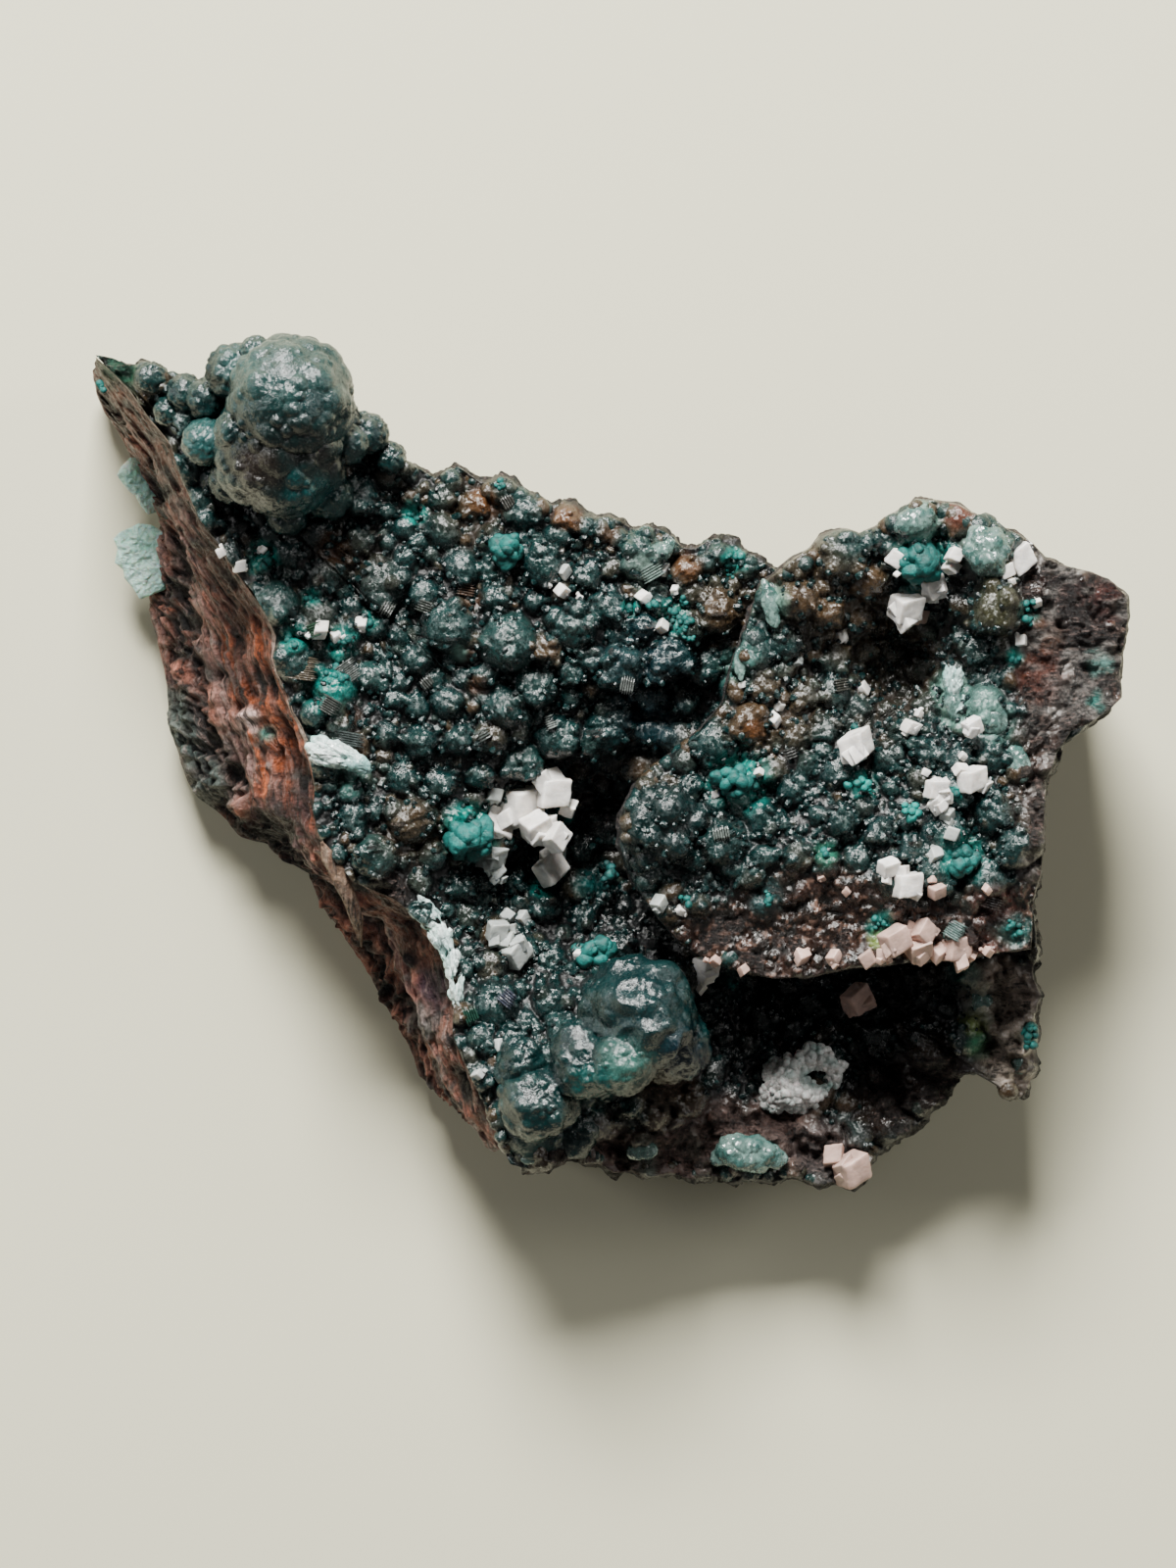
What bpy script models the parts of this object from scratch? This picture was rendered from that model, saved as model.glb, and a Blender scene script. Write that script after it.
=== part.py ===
"""Willemite specimen: a botryoidal crust on brown matrix, with dolomite and rosasite crystals.

The piece lies on its broken back with the crystal side up. X runs to the right and Y up across
the crystal side, Z is height above the surface it lies on. Sizes below are in millimetres, and
the meshes are made in metres.
"""
import math
import random

import bmesh
import bpy
import numpy as np
from mathutils import Euler, Matrix, Vector, noise
from mathutils.geometry import delaunay_2d_cdt

MM = 0.001
GAP = 0.3
SEED = 11

WHITE = (0.78, 0.73, 0.66)
PINK = (0.62, 0.47, 0.41)
TEAL = (0.01, 0.42, 0.36)
AQUA = (0.30, 0.52, 0.45)
PALE = (0.62, 0.72, 0.68)
TAN = (0.50, 0.34, 0.22)
CRUST_COLOUR = (0.05, 0.10, 0.10)
ROCK_COLOUR = (0.20, 0.09, 0.05)

# Rock body. Its walls go down in steps: (share of the way out, share of the height)
BACK_EDGE_Z = 3.2
BASE_INSET = 2.6
BACK_MIDDLE = (0.0, -2.0)
ROCK_SPACING = 3.8
ROCK_ROUGHNESS = 0.5
ROCK_GRAIN = 3.4
RELIEF_SPREAD = 2.7
WALL_STEPS = ((0.12, 0.84), (0.38, 0.66), (0.5, 0.44), (0.82, 0.26), (1.0, 0.0))
WALL_ROUGHNESS = 0.7
WALL_GRAIN = 2.6
# Spare room round the scattered points, as shares of their spacing or of a botryoid's radius
POINT_SHIFT = 0.2
POINT_EDGE_ROOM = 0.4
LUMP_ROOM = 1.05
FILL_ROOM = 0.92
FILL_EDGE_ROOM = 0.8
POINT_EDGE_GAP = 0.25

# Each station is the crystal side's edge and, outside or under it, the back edge: (x, y, x, y)
STATIONS = (
    (-34.3, 27.9, -36.0, 27.4), (-32.2, 25.9, -35.4, 25.1), (-30.2, 23.2, -33.9, 22.9),
    (-28.7, 19.6, -33.0, 19.8), (-27.3, 16.8, -31.8, 17.0), (-25.4, 14.0, -32.4, 14.0),
    (-23.4, 10.8, -32.0, 10.9), (-22.4, 7.0, -31.0, 7.6), (-21.0, 3.4, -30.5, 3.4),
    (-20.0, 0.3, -29.7, 0.0), (-19.7, -2.8, -27.6, -3.0), (-19.0, -5.6, -23.6, -5.9),
    (-16.8, -8.0, -20.4, -8.2), (-13.6, -9.4, -18.9, -11.0), (-11.8, -11.8, -17.3, -13.4),
    (-10.8, -14.2, -15.6, -16.2), (-10.3, -17.4, -13.8, -19.0), (-9.6, -20.4, -12.0, -21.6),
    (-8.4, -23.2, -10.0, -24.0), (-6.8, -26.2, -8.0, -25.9), (-4.6, -27.3, -4.9, -26.6),
    (-1.8, -27.0, -1.8, -26.0), (1.4, -27.9, 1.4, -26.6), (5.0, -28.2, 5.0, -26.6),
    (8.6, -28.5, 8.4, -26.8), (12.2, -28.8, 11.9, -27.0), (15.6, -29.2, 15.2, -27.2),
    (18.4, -29.2, 17.6, -27.2), (20.4, -26.2, 19.2, -24.8), (22.6, -24.8, 21.4, -23.6),
    (24.4, -22.4, 23.2, -21.2), (26.4, -21.2, 25.0, -20.0), (29.6, -23.0, 28.2, -20.6),
    (30.4, -19.8, 29.2, -17.6), (30.2, -16.4, 29.0, -14.8), (30.3, -12.8, 29.0, -11.8),
    (29.9, -9.2, 28.8, -8.6), (30.2, -5.4, 29.0, -5.2), (30.4, -1.6, 29.2, -1.8),
    (31.6, 1.4, 30.2, 1.2), (34.6, 3.6, 32.8, 3.9), (35.8, 6.2, 34.2, 6.4),
    (36.1, 10.2, 34.4, 9.8), (34.6, 12.6, 33.0, 11.6), (31.0, 13.6, 29.8, 12.4),
    (27.6, 15.8, 26.8, 14.4), (23.4, 17.2, 22.8, 15.8), (19.6, 16.2, 19.2, 14.8),
    (16.2, 15.2, 15.8, 13.8), (12.6, 13.0, 12.2, 11.6), (9.0, 14.4, 8.6, 12.8),
    (5.0, 14.8, 4.8, 13.2), (1.0, 15.8, 1.0, 14.2), (-3.0, 17.2, -2.8, 15.6),
    (-7.0, 18.8, -6.8, 17.2), (-11.0, 19.3, -10.8, 17.7), (-14.4, 20.6, -14.6, 19.2),
    (-17.0, 23.0, -17.6, 21.8), (-20.4, 26.2, -20.8, 24.6), (-24.4, 26.9, -24.8, 25.4),
    (-28.4, 25.8, -29.0, 24.6), (-31.6, 27.0, -32.4, 26.0),
)

# Height of the rock's crystal side at chosen spots: (x, y, z)
ROCK_SPOTS = (
    (-34, 27.4, 17.0), (-31, 24.6, 18.0), (-28.4, 20.4, 18.0), (-26, 16, 17.6),
    (-23.6, 12, 17.2), (-21.6, 8, 17.0), (-20.2, 3.4, 16.6), (-19.2, -2, 16.2),
    (-18, -6.4, 15.6), (-14, -9.4, 15.0), (-11.4, -13, 14.4), (-9.8, -17.4, 15.0),
    (-9, -21.4, 15.4), (-7, -25.4, 14.0), (-21.6, 23.2, 22.6), (-18, 19, 18.0),
    (-26.4, 23.4, 18.6), (-15, 15, 16.6), (-10, 17.6, 17.0), (-4, 16.2, 17.0),
    (1, 14.6, 16.4), (5, 13.6, 16.4), (9, 13, 16.6), (-14, 9, 16.0), (-8, 9, 17.0),
    (-2, 8, 16.6), (4, 8, 16.0), (8, 8, 15.0), (8, 4.4, 12.6), (-14, 3, 15.2),
    (-8, 3.4, 15.8), (-2, 3, 14.4), (2.4, 2.4, 12.0), (6, 1, 12.0), (-15, -2.4, 15.4),
    (-10.6, -3, 14.2), (-7, 0, 14.2), (-9.2, -6.6, 12.0), (-13, -6, 14.6),
    (-4, -3.4, 8.0), (-1, -7.6, 5.6), (-4.6, -8, 6.6), (0, -3, 6.2), (-6.8, -11.4, 9.0),
    (-2.4, -11.6, 7.6), (2, -11.2, 5.6), (-8.6, -13.6, 12.4), (-6.8, -16.8, 14.6),
    (-3, -16.6, 14.0), (2.4, -17.6, 16.6), (-0.8, -21, 16.2), (-4.8, -23.4, 15.0),
    (4, -21, 14.6), (5.4, -17, 12.4), (9, -17, 5.6), (13, -15.4, 5.0), (18, -15.6, 5.0),
    (22.4, -16, 5.6), (12, -20, 6.0), (17, -21, 6.2), (21.4, -20, 7.2), (8, -22, 7.6),
    (13, -25.4, 8.0), (17.4, -26.4, 8.4), (9, -27.4, 9.2), (2.4, -26.4, 11.2),
    (-1, -26, 12.0), (26.4, -17.4, 12.4), (25.4, -20.4, 10.6), (29.6, -16, 12.8),
    (29.8, -22, 9.2), (27.4, -13.6, 11.0), (10, -10, 5.6), (15, -10, 5.6), (20.6, -10, 5.8),
    (26, -10, 9.0), (8, -4, 10.0), (15, -4, 12.0), (22, -4, 13.0), (15, 4, 13.0),
    (22, 6, 12.0), (14, 13, 17.4), (20, 15.4, 18.8), (27, 14.8, 19.0), (32, 12.4, 18.6),
    (35.4, 9, 17.2), (34, 5, 17.4), (30.4, 0, 18.0), (30, -5, 18.2), (29.8, -9.4, 17.2),
    (29.8, -12.8, 14.4),
)

# Shelf: the thick ledge that stands over the lower part of the crystal side
SHELF_CENTRE = (19.0, 1.5)
SHELF_SPACING = 2.6
SHELF_STEPS = ((19.0, 0.0), (14.0, 0.6), (7.0, 1.0))
SHELF_OUTLINE = (
    (11.6, 12.0), (10.4, 9.8), (9.4, 7.6), (9.0, 5.2), (7.4, 2.4), (4.6, 0.2),
    (2.6, -2.4), (2.4, -6.0), (3.8, -9.2), (6.2, -11.8), (9.2, -13.4), (12.4, -14.0),
    (15.6, -13.6), (19.0, -13.0), (22.6, -12.6), (26.0, -12.4), (30.0, -12.2),
    (30.1, -8.6), (30.3, -4.6), (30.5, -1.2), (31.7, 1.2), (34.8, 3.4), (36.0, 6.2),
    (36.2, 10.3), (34.6, 12.8), (30.8, 13.8), (27.4, 14.6), (25.0, 15.2), (21.6, 15.6),
    (18.4, 14.4), (14.8, 13.6),
)
SHELF_SPOTS = (
    (11.4, 9, 19.6), (14.4, 12.6, 20.2), (20, 14.4, 21.0), (26, 13.8, 21.4), (31, 11.6, 21.2),
    (34, 8, 19.6), (31, 5.4, 20.6), (27.6, 8.6, 21.4), (20, 6.4, 14.6), (23, 8.4, 16.6),
    (17.4, 6.8, 17.2), (14, 7, 19.4), (12, 1.4, 19.6), (18, 0.8, 20.0), (25, 2.6, 20.8),
    (9, -1, 18.6), (4.6, -3.6, 17.4), (8, -6, 18.8), (14, -5, 20.2), (20, -4, 20.8),
    (27, -4, 21.2), (8, -11, 17.6), (14, -11.6, 19.4), (20, -10.8, 20.4), (27.4, -10, 20.4),
)
# How far the shelf is hollowed out below its edge: over the cave to the south, west, elsewhere
CAVE_UNDERCUT = 5.0
WEST_UNDERCUT = 1.6
OUTER_UNDERCUT = 2.2
CAVE_SOUTH = -7.0
WEST_SIDE = 11.0

# Willemite crust
CRUST = 1.2
CRUST_SINK = 1.0
CRUST_ROUGHNESS = 0.2
CRUST_GRAIN = 1.6
LUMP_STAND = 0.72
LUMP_RING = 0.66
LUMP_RING_POINTS = 5
FILL_RING_POINTS = 3
FILL_RADII = (1.6, 2.3)
FILL_TRIES = 5000
CRUST_SPACING = 3.2
BROKEN_EDGE = ((-2.5, 8.8), -25.8)
CRUST_EAST = 29.2
SHELF_CRUST_OUTLINE = (
    (11.4, 11.8), (10.2, 9.6), (9.2, 7.4), (8.8, 5.2), (7.2, 2.4), (4.6, 0.4),
    (2.8, -2.4), (2.6, -6.0), (4.2, -8.4), (7.4, -9.6), (10.4, -9.2), (13.2, -7.4),
    (16.4, -6.6), (19.4, -8.2), (23.6, -9.0), (28.4, -9.0), (28.6, -4.4), (28.6, 0.0),
    (28.4, 4.0), (28.6, 8.0), (29.6, 11.4), (28.2, 13.2), (25.0, 14.8), (21.6, 15.4),
    (18.4, 14.2), (14.8, 13.4),
)
# Botryoids that stand out of the field: (x, y, radius)
FIELD_LUMPS = (
    (-22.0, 11.2, 1.6), (-18.9, 13.2, 1.3), (-15.0, 12.8, 1.9), (-17.3, 17.0, 1.5),
    (-24.6, 16.0, 1.4), (-10.6, 18.4, 1.4), (-8.2, 17.8, 1.2), (-5.1, 17.4, 1.5),
    (-1.8, 16.4, 1.3), (1.2, 14.8, 1.3), (-10.8, 15.6, 1.5), (-13.6, 18.0, 1.3),
    (-3.9, 13.9, 1.5), (3.6, 13.6, 1.8), (6.9, 13.2, 1.4), (-9.5, 13.0, 1.4),
    (-10.4, 9.6, 1.8), (-6.2, 8.6, 2.2), (-1.8, 9.7, 1.9), (1.0, 11.3, 1.5),
    (1.5, 7.0, 1.9), (4.9, 7.6, 1.9), (7.4, 10.8, 1.7), (-12.6, 7.4, 1.4), (-15.6, 6.3, 1.5),
    (-4.6, 5.3, 1.6), (-7.2, 3.9, 1.7), (-2.6, 2.4, 1.9), (0.8, 3.2, 2.0), (-10.4, 3.6, 1.5),
    (-13.6, 3.2, 1.4), (-5.6, 0.3, 1.7), (-15.5, -6.0, 1.5), (-12.6, -3.4, 1.6),
    (-10.4, -6.4, 1.5), (-8.8, -9.4, 1.5), (-3.9, -9.8, 1.5), (0.4, -8.6, 1.3),
    (-3.4, -14.2, 1.4), (-7.4, -16.6, 1.8), (6.0, -23.4, 1.8), (12.6, -17.4, 1.3),
    (22.2, -22.2, 1.4), (-27.0, 20.6, 1.1),
)
# Botryoids of the shelf: (x, y, radius)
SHELF_LUMPS = (
    (12.6, 10.8, 1.5), (16.4, 12.4, 1.9), (20.6, 13.6, 1.5), (26.2, 13.0, 1.8),
    (26.6, 9.4, 2.0), (15.6, 8.8, 1.5), (12.8, 7.6, 1.4), (4.9, -2.9, 2.5),
    (8.6, -5.2, 1.8), (12.0, 3.6, 1.6), (14.6, 0.4, 1.5), (20.4, 0.6, 1.5),
    (24.6, 4.4, 1.6), (26.6, -2.6, 1.7), (14.8, -3.6, 1.5), (22.0, -6.0, 1.6),
    (10.2, -7.6, 1.5),
)
# Large botryoids: (x, y, z, radius)
BALL_LUMPS = (
    (-21.0, 24.9, 24.6, 4.4), (-21.8, 21.6, 22.6, 4.5), (-25.0, 27.0, 22.0, 1.9),
    (-23.4, 28.2, 23.4, 1.2), (-27.0, 22.2, 21.0, 1.7), (-24.7, 22.8, 24.6, 1.5),
    (-17.3, 22.1, 22.2, 1.5), (-15.8, 22.8, 20.6, 1.3), (-18.6, 18.6, 20.0, 1.6),
    (-30.8, 26.7, 19.0, 1.2), (-28.4, 25.6, 19.6, 1.3),
)
LOBE_LUMPS = (
    (2.8, -17.2, 16.6, 4.2), (-0.9, -20.4, 17.0, 2.8), (-4.2, -23.2, 15.6, 2.9),
    (-4.4, -25.0, 13.4, 2.6), (1.4, -20.2, 18.2, 2.6),
)
# Lumps that stand at the silhouette, past the rock's edge: (x, y, z, radius)
EDGE_LUMPS = (
    (-13.8, 20.8, 18.4, 1.3), (-11.4, 19.6, 18.6, 1.3), (-8.4, 19.0, 18.4, 1.2),
    (-5.4, 18.4, 18.2, 1.3), (-1.4, 16.8, 18.0, 1.2), (3.0, 15.4, 17.8, 1.5),
    (7.6, 14.6, 17.8, 1.4), (19.4, 16.0, 21.4, 1.3), (24.6, 16.6, 21.2, 1.5),
    (16.0, 14.6, 20.4, 1.5),
)
# Upright lumps on the shelf's west face, which join its crust to the field's
BRIDGE_LUMPS = (
    (10.2, 12.0, 18.0), (9.4, 9.6, 18.0), (8.4, 7.0, 17.6), (8.0, 4.4, 17.2), (3.4, -4.4, 15.2),
)
BRIDGE_RADII = (1.7, 1.9, 4.0)
LARGE_RADIUS = 2.5
LARGEST_RADIUS = 4.3
FLAT_ANGLE = 5.0
SLIVER = 0.001
DOME_SIDES = 6
DOME_LIFTS = (1.0, 0.35, -0.6)
BALL_UNEVENNESS = 0.07
DOME_GRAIN = 0.5
BALL_GRAIN = 0.8
RHOMB_WIDTH = 0.94
RHOMB_PULL = 0.24
PLATE_TOP = 0.82
PLATE_FOOT = 0.8

# Dolomite rhombs that are grown together: (x, y, height above the seat, edge, turn in degrees)
MAIN_CLUSTER = (
    (-5.3, -2.6, 1.5, 2.6, (20, 35, 10)), (-3.0, -1.8, 2.8, 2.1, (8, 12, 0)),
    (-6.9, -4.1, 1.2, 2.1, (15, 25, 80)), (-4.2, -4.2, 2.9, 1.9, (40, 10, 30)),
    (-2.8, -4.9, 3.4, 1.6, (30, 20, 60)), (-3.2, -0.8, 2.6, 1.3, (70, 30, 20)),
)
WEST_RHOMBS = ((-7.4, -6.4, 1.0, 1.5, (25, 50, 10)), (-7.2, -7.3, 0.6, 1.2, (10, 20, 40)))
HOLLOW_RHOMB = ((-3.4, -6.7, 2.2, 1.9, (18, 22, 45)),)
SOUTH_RHOMBS = ((-7.1, -11.4, 0.9, 1.4, (20, 10, 0)), (-5.9, -12.9, 0.7, 1.8, (35, 20, 50)))
SHELF_RHOMB = ((17.5, 1.4, 0.8, 1.9, (20, 60, 35)),)
TWIN_RHOMBS = ((23.0, -1.4, 0.8, 1.3, (10, 20, 0)), (23.2, -2.3, 0.7, 1.2, (25, 40, 60)))
EAST_RHOMB = ((25.4, -0.8, 0.8, 1.6, (20, 30, 20)),)
BAND_RHOMB = ((25.4, 2.7, 0.9, 1.2, (25, 10, 30)),)
LOW_SHELF_RHOMBS = ((19.7, -7.0, 0.7, 1.2, (35, 20, 15)), (21.0, -8.2, 0.7, 1.7, (10, 15, 5)))
LIP_RHOMBS = ((20.3, -12.0, 0.6, 1.8, (20, 15, 30)), (22.2, -11.5, 0.4, 1.5, (30, 20, 60)),
              (21.9, -12.5, 0.0, 1.6, (45, 10, 20)))
EAST_LIP_RHOMB = ((24.4, -12.4, -0.5, 1.7, (15, 30, 10)),)
CAVE_RHOMB = ((18.2, -16.4, 1.6, 1.8, (25, 15, 40)),)
LOBE_RHOMB = ((7.4, -14.6, 2.2, 1.5, (20, 40, 5)),)
TEAL_PATCH_RHOMBS = ((22.8, 11.9, 0.9, 1.5, (15, 25, 30)), (21.0, 10.6, 0.8, 1.9, (30, 20, 10)))
NORTH_SLAB = ((28.6, 14.2, 0.8, 1.8, (15, 10, 35)),)
LOWER_EDGE_RHOMB = ((17.4, -28.0, 0.4, 2.1, (25, 20, 30)),)

# Small rhombs fused to the crust that they grew on
FUSED_RHOMBS = (
    (-5.2, -8.3, 0.8, 1.3, (40, 15, 10)), (-2.5, 13.2, 1.4, 0.9, (30, 20, 40)),
    (3.9, -9.6, 0.6, 1.3, (15, 25, 30)), (18.1, 5.3, 0.8, 1.2, (15, 25, 10)),
    (21.4, 2.6, 0.7, 1.2, (30, 15, 30)),
)

# Rosasite and other rounded crystals: (x, y, height above the seat, radii, turn in degrees)
BIG_ROSASITE = ((22.2, 14.6, 0.7, (1.3, 0.9, 0.8), 20), (21.4, 13.6, 0.7, (1.1, 1.2, 0.8), 60))
SHELF_ROSASITE = ((8.6, -0.7, 0.7, (1.1, 0.7, 0.7), 10), (10.1, -1.2, 0.6, (1.1, 0.8, 0.7), 160))
MIDDLE_ROSASITE = ((17.7, -1.3, 0.6, (1.3, 0.6, 0.6), 10),)
PALE_ROSASITE = ((21.2, -3.1, 0.6, (1.0, 0.6, 0.6), 150),)
EAST_ROSASITE = ((24.7, -6.4, 0.7, (1.5, 1.2, 0.6), 40),)
WEST_ROSASITE = ((-9.2, -4.7, 0.9, (1.4, 1.3, 1.2), 0), (-8.2, -5.6, 0.8, (0.9, 1.0, 0.9), 30))
SOUTH_ROSASITE = ((-0.4, -13.1, 0.9, (1.7, 1.0, 0.8), 155),)
HOLLOW_ROSASITE = ((0.4, -7.8, 1.2, (1.0, 1.5, 1.3), 10),)
NORTH_ROSASITE = ((-6.4, 14.9, 0.9, (1.3, 1.2, 1.1), 0),)
EDGE_ROSASITE = ((30.0, -18.8, 0.5, (0.8, 1.3, 1.0), 0),)
PALE_BAND = ((24.0, 5.9, 0.8, (0.9, 1.6, 1.0), 10), (24.8, 4.4, -0.1, (1.1, 1.4, 1.0), 30))
WEST_SLAB = ((-18.5, 0.8, 0.6, (1.7, 1.15, 0.9), 155), (-16.9, 0.2, 0.6, (1.4, 0.7, 0.8), 165))
SOUTH_SLAB = (
    (-11.9, -10.4, 0.3, (1.9, 1.1, 0.9), 145), (-10.7, -12.2, 0.9, (1.2, 2.2, 1.0), 15),
    (-9.9, -14.9, 0.4, (0.9, 2.0, 0.9), 8),
)
ROSETTE = (
    (12.5, -22.5, 0.9, (1.6, 1.4, 1.1), 30), (13.9, -20.7, 1.0, (1.5, 1.1, 1.1), 40),
    (16.2, -20.7, 0.9, (1.3, 1.1, 1.0), 150), (16.4, -22.4, 0.8, (1.4, 1.0, 0.9), 60),
    (14.4, -23.4, 0.9, (1.8, 1.1, 1.0), 20),
)
PALE_LOBE = ((10.4, -27.2, 0.4, (2.6, 1.5, 1.3), 175),)

# Flakes of pale willemite on the back edge: (outline, low side, high side)
NORTH_FLAKE = ((((-33.2, 22.0), (-34.2, 20.9), (-33.9, 19.9), (-33.0, 19.0), (-32.0, 17.9),
                 (-30.4, 18.4), (-30.9, 20.4), (-31.6, 21.8)), 4.2, 5.2),)
SOUTH_FLAKE = ((((-31.8, 17.2), (-33.3, 17.1), (-34.5, 16.2), (-34.4, 14.4), (-33.7, 13.4),
                 (-32.6, 11.9), (-30.8, 12.6), (-30.6, 14.6), (-30.4, 16.4)), 3.6, 4.8),)
SPLINTER = ((((-19.4, -5.2, 16.4), (-18.6, -6.6, 15.2), (-17.7, -8.4, 13.6),
              (-17.2, -10.4, 11.6), (-16.9, -12.6, 9.0)), 1.2),)


def relief(spots, x, y):
    """Height at (x, y): the spots' heights, averaged by a bell curve of their distance."""
    table = np.array(spots)
    square = (table[:, 0] - x) ** 2 + (table[:, 1] - y) ** 2
    weight = np.exp(-square / (2.0 * RELIEF_SPREAD ** 2)) + 1e-9
    return float(np.sum(weight * table[:, 2]) / np.sum(weight))


def rough(x, y, z, size, amount):
    """Smooth seeded noise of about the given size and amount at a point."""
    return amount * noise.noise(Vector((x / size + SEED, y / size, z / size)))


def rock_height(x, y):
    """Crystal side of the rock body."""
    return relief(ROCK_SPOTS, x, y) + rough(x, y, 0.0, ROCK_GRAIN, ROCK_ROUGHNESS)


def shelf_height(x, y):
    """Top of the shelf."""
    return relief(SHELF_SPOTS, x, y) + rough(x, y, ROCK_GRAIN, ROCK_GRAIN, ROCK_ROUGHNESS)


def is_inside(outline, x, y):
    """Whether a point lies inside a closed outline, by counting crossings."""
    crossings = 0
    for (ax, ay), (bx, by) in zip(outline, outline[1:] + outline[:1]):
        if (ay > y) != (by > y) and x < ax + (y - ay) * (bx - ax) / (by - ay):
            crossings += 1
    return crossings % 2 == 1


def edge_distance(outline, x, y):
    """Distance from a point to the nearest side of a closed outline."""
    nearest = math.inf
    point = Vector((x, y))
    for start, end in zip(outline, outline[1:] + outline[:1]):
        side = Vector(end) - Vector(start)
        along = max(0.0, min(1.0, (point - Vector(start)).dot(side) / side.length_squared))
        nearest = min(nearest, (point - Vector(start) - side * along).length)
    return nearest


def between(start, end, share):
    """Point a share of the way from start to end."""
    return start[0] + share * (end[0] - start[0]), start[1] + share * (end[1] - start[1])


def grid_points(outline, spacing, lumps=()):
    """Staggered, slightly shifted points inside an outline, clear of its sides and the lumps."""
    chance = random.Random(SEED)
    xs = [x for x, _ in outline]
    ys = [y for _, y in outline]
    points = []
    for row in range(int((max(ys) - min(ys)) / spacing) + 1):
        for column in range(int((max(xs) - min(xs)) / spacing) + 1):
            shift_x = chance.uniform(-POINT_SHIFT, POINT_SHIFT) + 0.5 * (row % 2)
            x = min(xs) + (column + shift_x) * spacing
            y = min(ys) + (row + chance.uniform(-POINT_SHIFT, POINT_SHIFT)) * spacing
            clear = all(math.hypot(x - lx, y - ly) > LUMP_ROOM * r for lx, ly, r in lumps)
            room = POINT_EDGE_ROOM * spacing
            if clear and is_inside(outline, x, y) and edge_distance(outline, x, y) > room:
                points.append((x, y))
    return points


def scattered_lumps(outline, lumps, seed):
    """Small botryoids that fill an outline between those that are given."""
    chance = random.Random(seed)
    xs = [x for x, _ in outline]
    ys = [y for _, y in outline]
    found = list(lumps)
    for _ in range(FILL_TRIES):
        x = chance.uniform(min(xs), max(xs))
        y = chance.uniform(min(ys), max(ys))
        radius = chance.uniform(*FILL_RADII)
        free = all(math.hypot(x - lx, y - ly) > FILL_ROOM * (radius + r)
                   for lx, ly, r in found)
        room = FILL_EDGE_ROOM * radius
        if free and is_inside(outline, x, y) and edge_distance(outline, x, y) > room:
            found.append((x, y, radius))
    return found[len(lumps):]


def lump_points(lumps, ring_points):
    """Points that carry each botryoid: its top and a ring round it."""
    points = []
    for x, y, radius in lumps:
        points.append((x, y))
        for step in range(ring_points):
            angle = x + 2.0 * math.pi * step / ring_points
            ring = LUMP_RING * radius
            points.append((x + ring * math.cos(angle), y + ring * math.sin(angle)))
    return points


def lumpy(height, lumps):
    """Outer face of the crust: the height below it, its thickness, and the highest lump."""
    table = np.array(lumps)

    def surface(x, y):
        square = (table[:, 0] - x) ** 2 + (table[:, 1] - y) ** 2
        dome = np.sqrt(np.maximum(table[:, 2] ** 2 - square, 0.0))
        rise = float(np.max(dome - (1.0 - LUMP_STAND) * table[:, 2]))
        layer = CRUST + rough(x, y, 0.0, CRUST_GRAIN, CRUST_ROUGHNESS)
        return height(x, y) + layer + max(rise, 0.0)
    return surface


def cap(mesh, outline, ring, inside, height):
    """Fill a ring of points with triangles that also pass through the points inside it."""
    count = len(outline)
    flat = [Vector(point) for point in list(outline) + list(inside)]
    sides = [(index, (index + 1) % count) for index in range(count)]
    places, _, faces, origins, _, _ = delaunay_2d_cdt(flat, sides, [], 1, 1e-5)
    verts = []
    for place, origin in zip(places, origins):
        if origin and origin[0] < count:
            verts.append(ring[origin[0]])
        else:
            verts.append(mesh.verts.new(Vector((*place, height(*place))) * MM))
    for face in faces:
        mesh.faces.new([verts[index] for index in face])


def block(outline, inside, height, lower_rings, under_inside=(), under_height=None):
    """Closed solid: a top over an outline, walls through lower rings, and a closed underside."""
    mesh = bmesh.new()
    rings = [[(x, y, height(x, y)) for x, y in outline]] + lower_rings
    rows = [[mesh.verts.new(Vector(point) * MM) for point in ring] for ring in rings]
    count = len(outline)
    for upper, lower in zip(rows, rows[1:]):
        for index in range(count):
            after = (index + 1) % count
            mesh.faces.new((upper[index], lower[index], lower[after], upper[after]))
    cap(mesh, outline, rows[0], inside, height)
    foot = [point[:2] for point in rings[-1]]
    cap(mesh, foot, rows[-1], under_inside, under_height)
    bmesh.ops.recalc_face_normals(mesh, faces=mesh.faces)
    bmesh.ops.triangulate(mesh, faces=mesh.faces)
    return mesh


def loft(rings, top, bottom):
    """Closed mesh through rings of equal length, with a point at each end."""
    mesh = bmesh.new()
    rows = [[mesh.verts.new(Vector(point) * MM) for point in ring] for ring in rings]
    first = mesh.verts.new(Vector(top) * MM)
    last = mesh.verts.new(Vector(bottom) * MM)
    count = len(rings[0])
    for index in range(count):
        after = (index + 1) % count
        mesh.faces.new((first, rows[0][index], rows[0][after]))
        mesh.faces.new((last, rows[-1][after], rows[-1][index]))
        for row, lower in zip(rows, rows[1:]):
            mesh.faces.new((row[index], lower[index], lower[after], row[after]))
    bmesh.ops.recalc_face_normals(mesh, faces=mesh.faces)
    bmesh.ops.triangulate(mesh, faces=mesh.faces)
    return mesh


def grow(mesh, distance):
    """Move every point outwards along its normal."""
    mesh.normal_update()
    moves = [vert.normal * distance * MM for vert in mesh.verts]
    for vert, move in zip(mesh.verts, moves):
        vert.co += move
    return mesh


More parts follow.
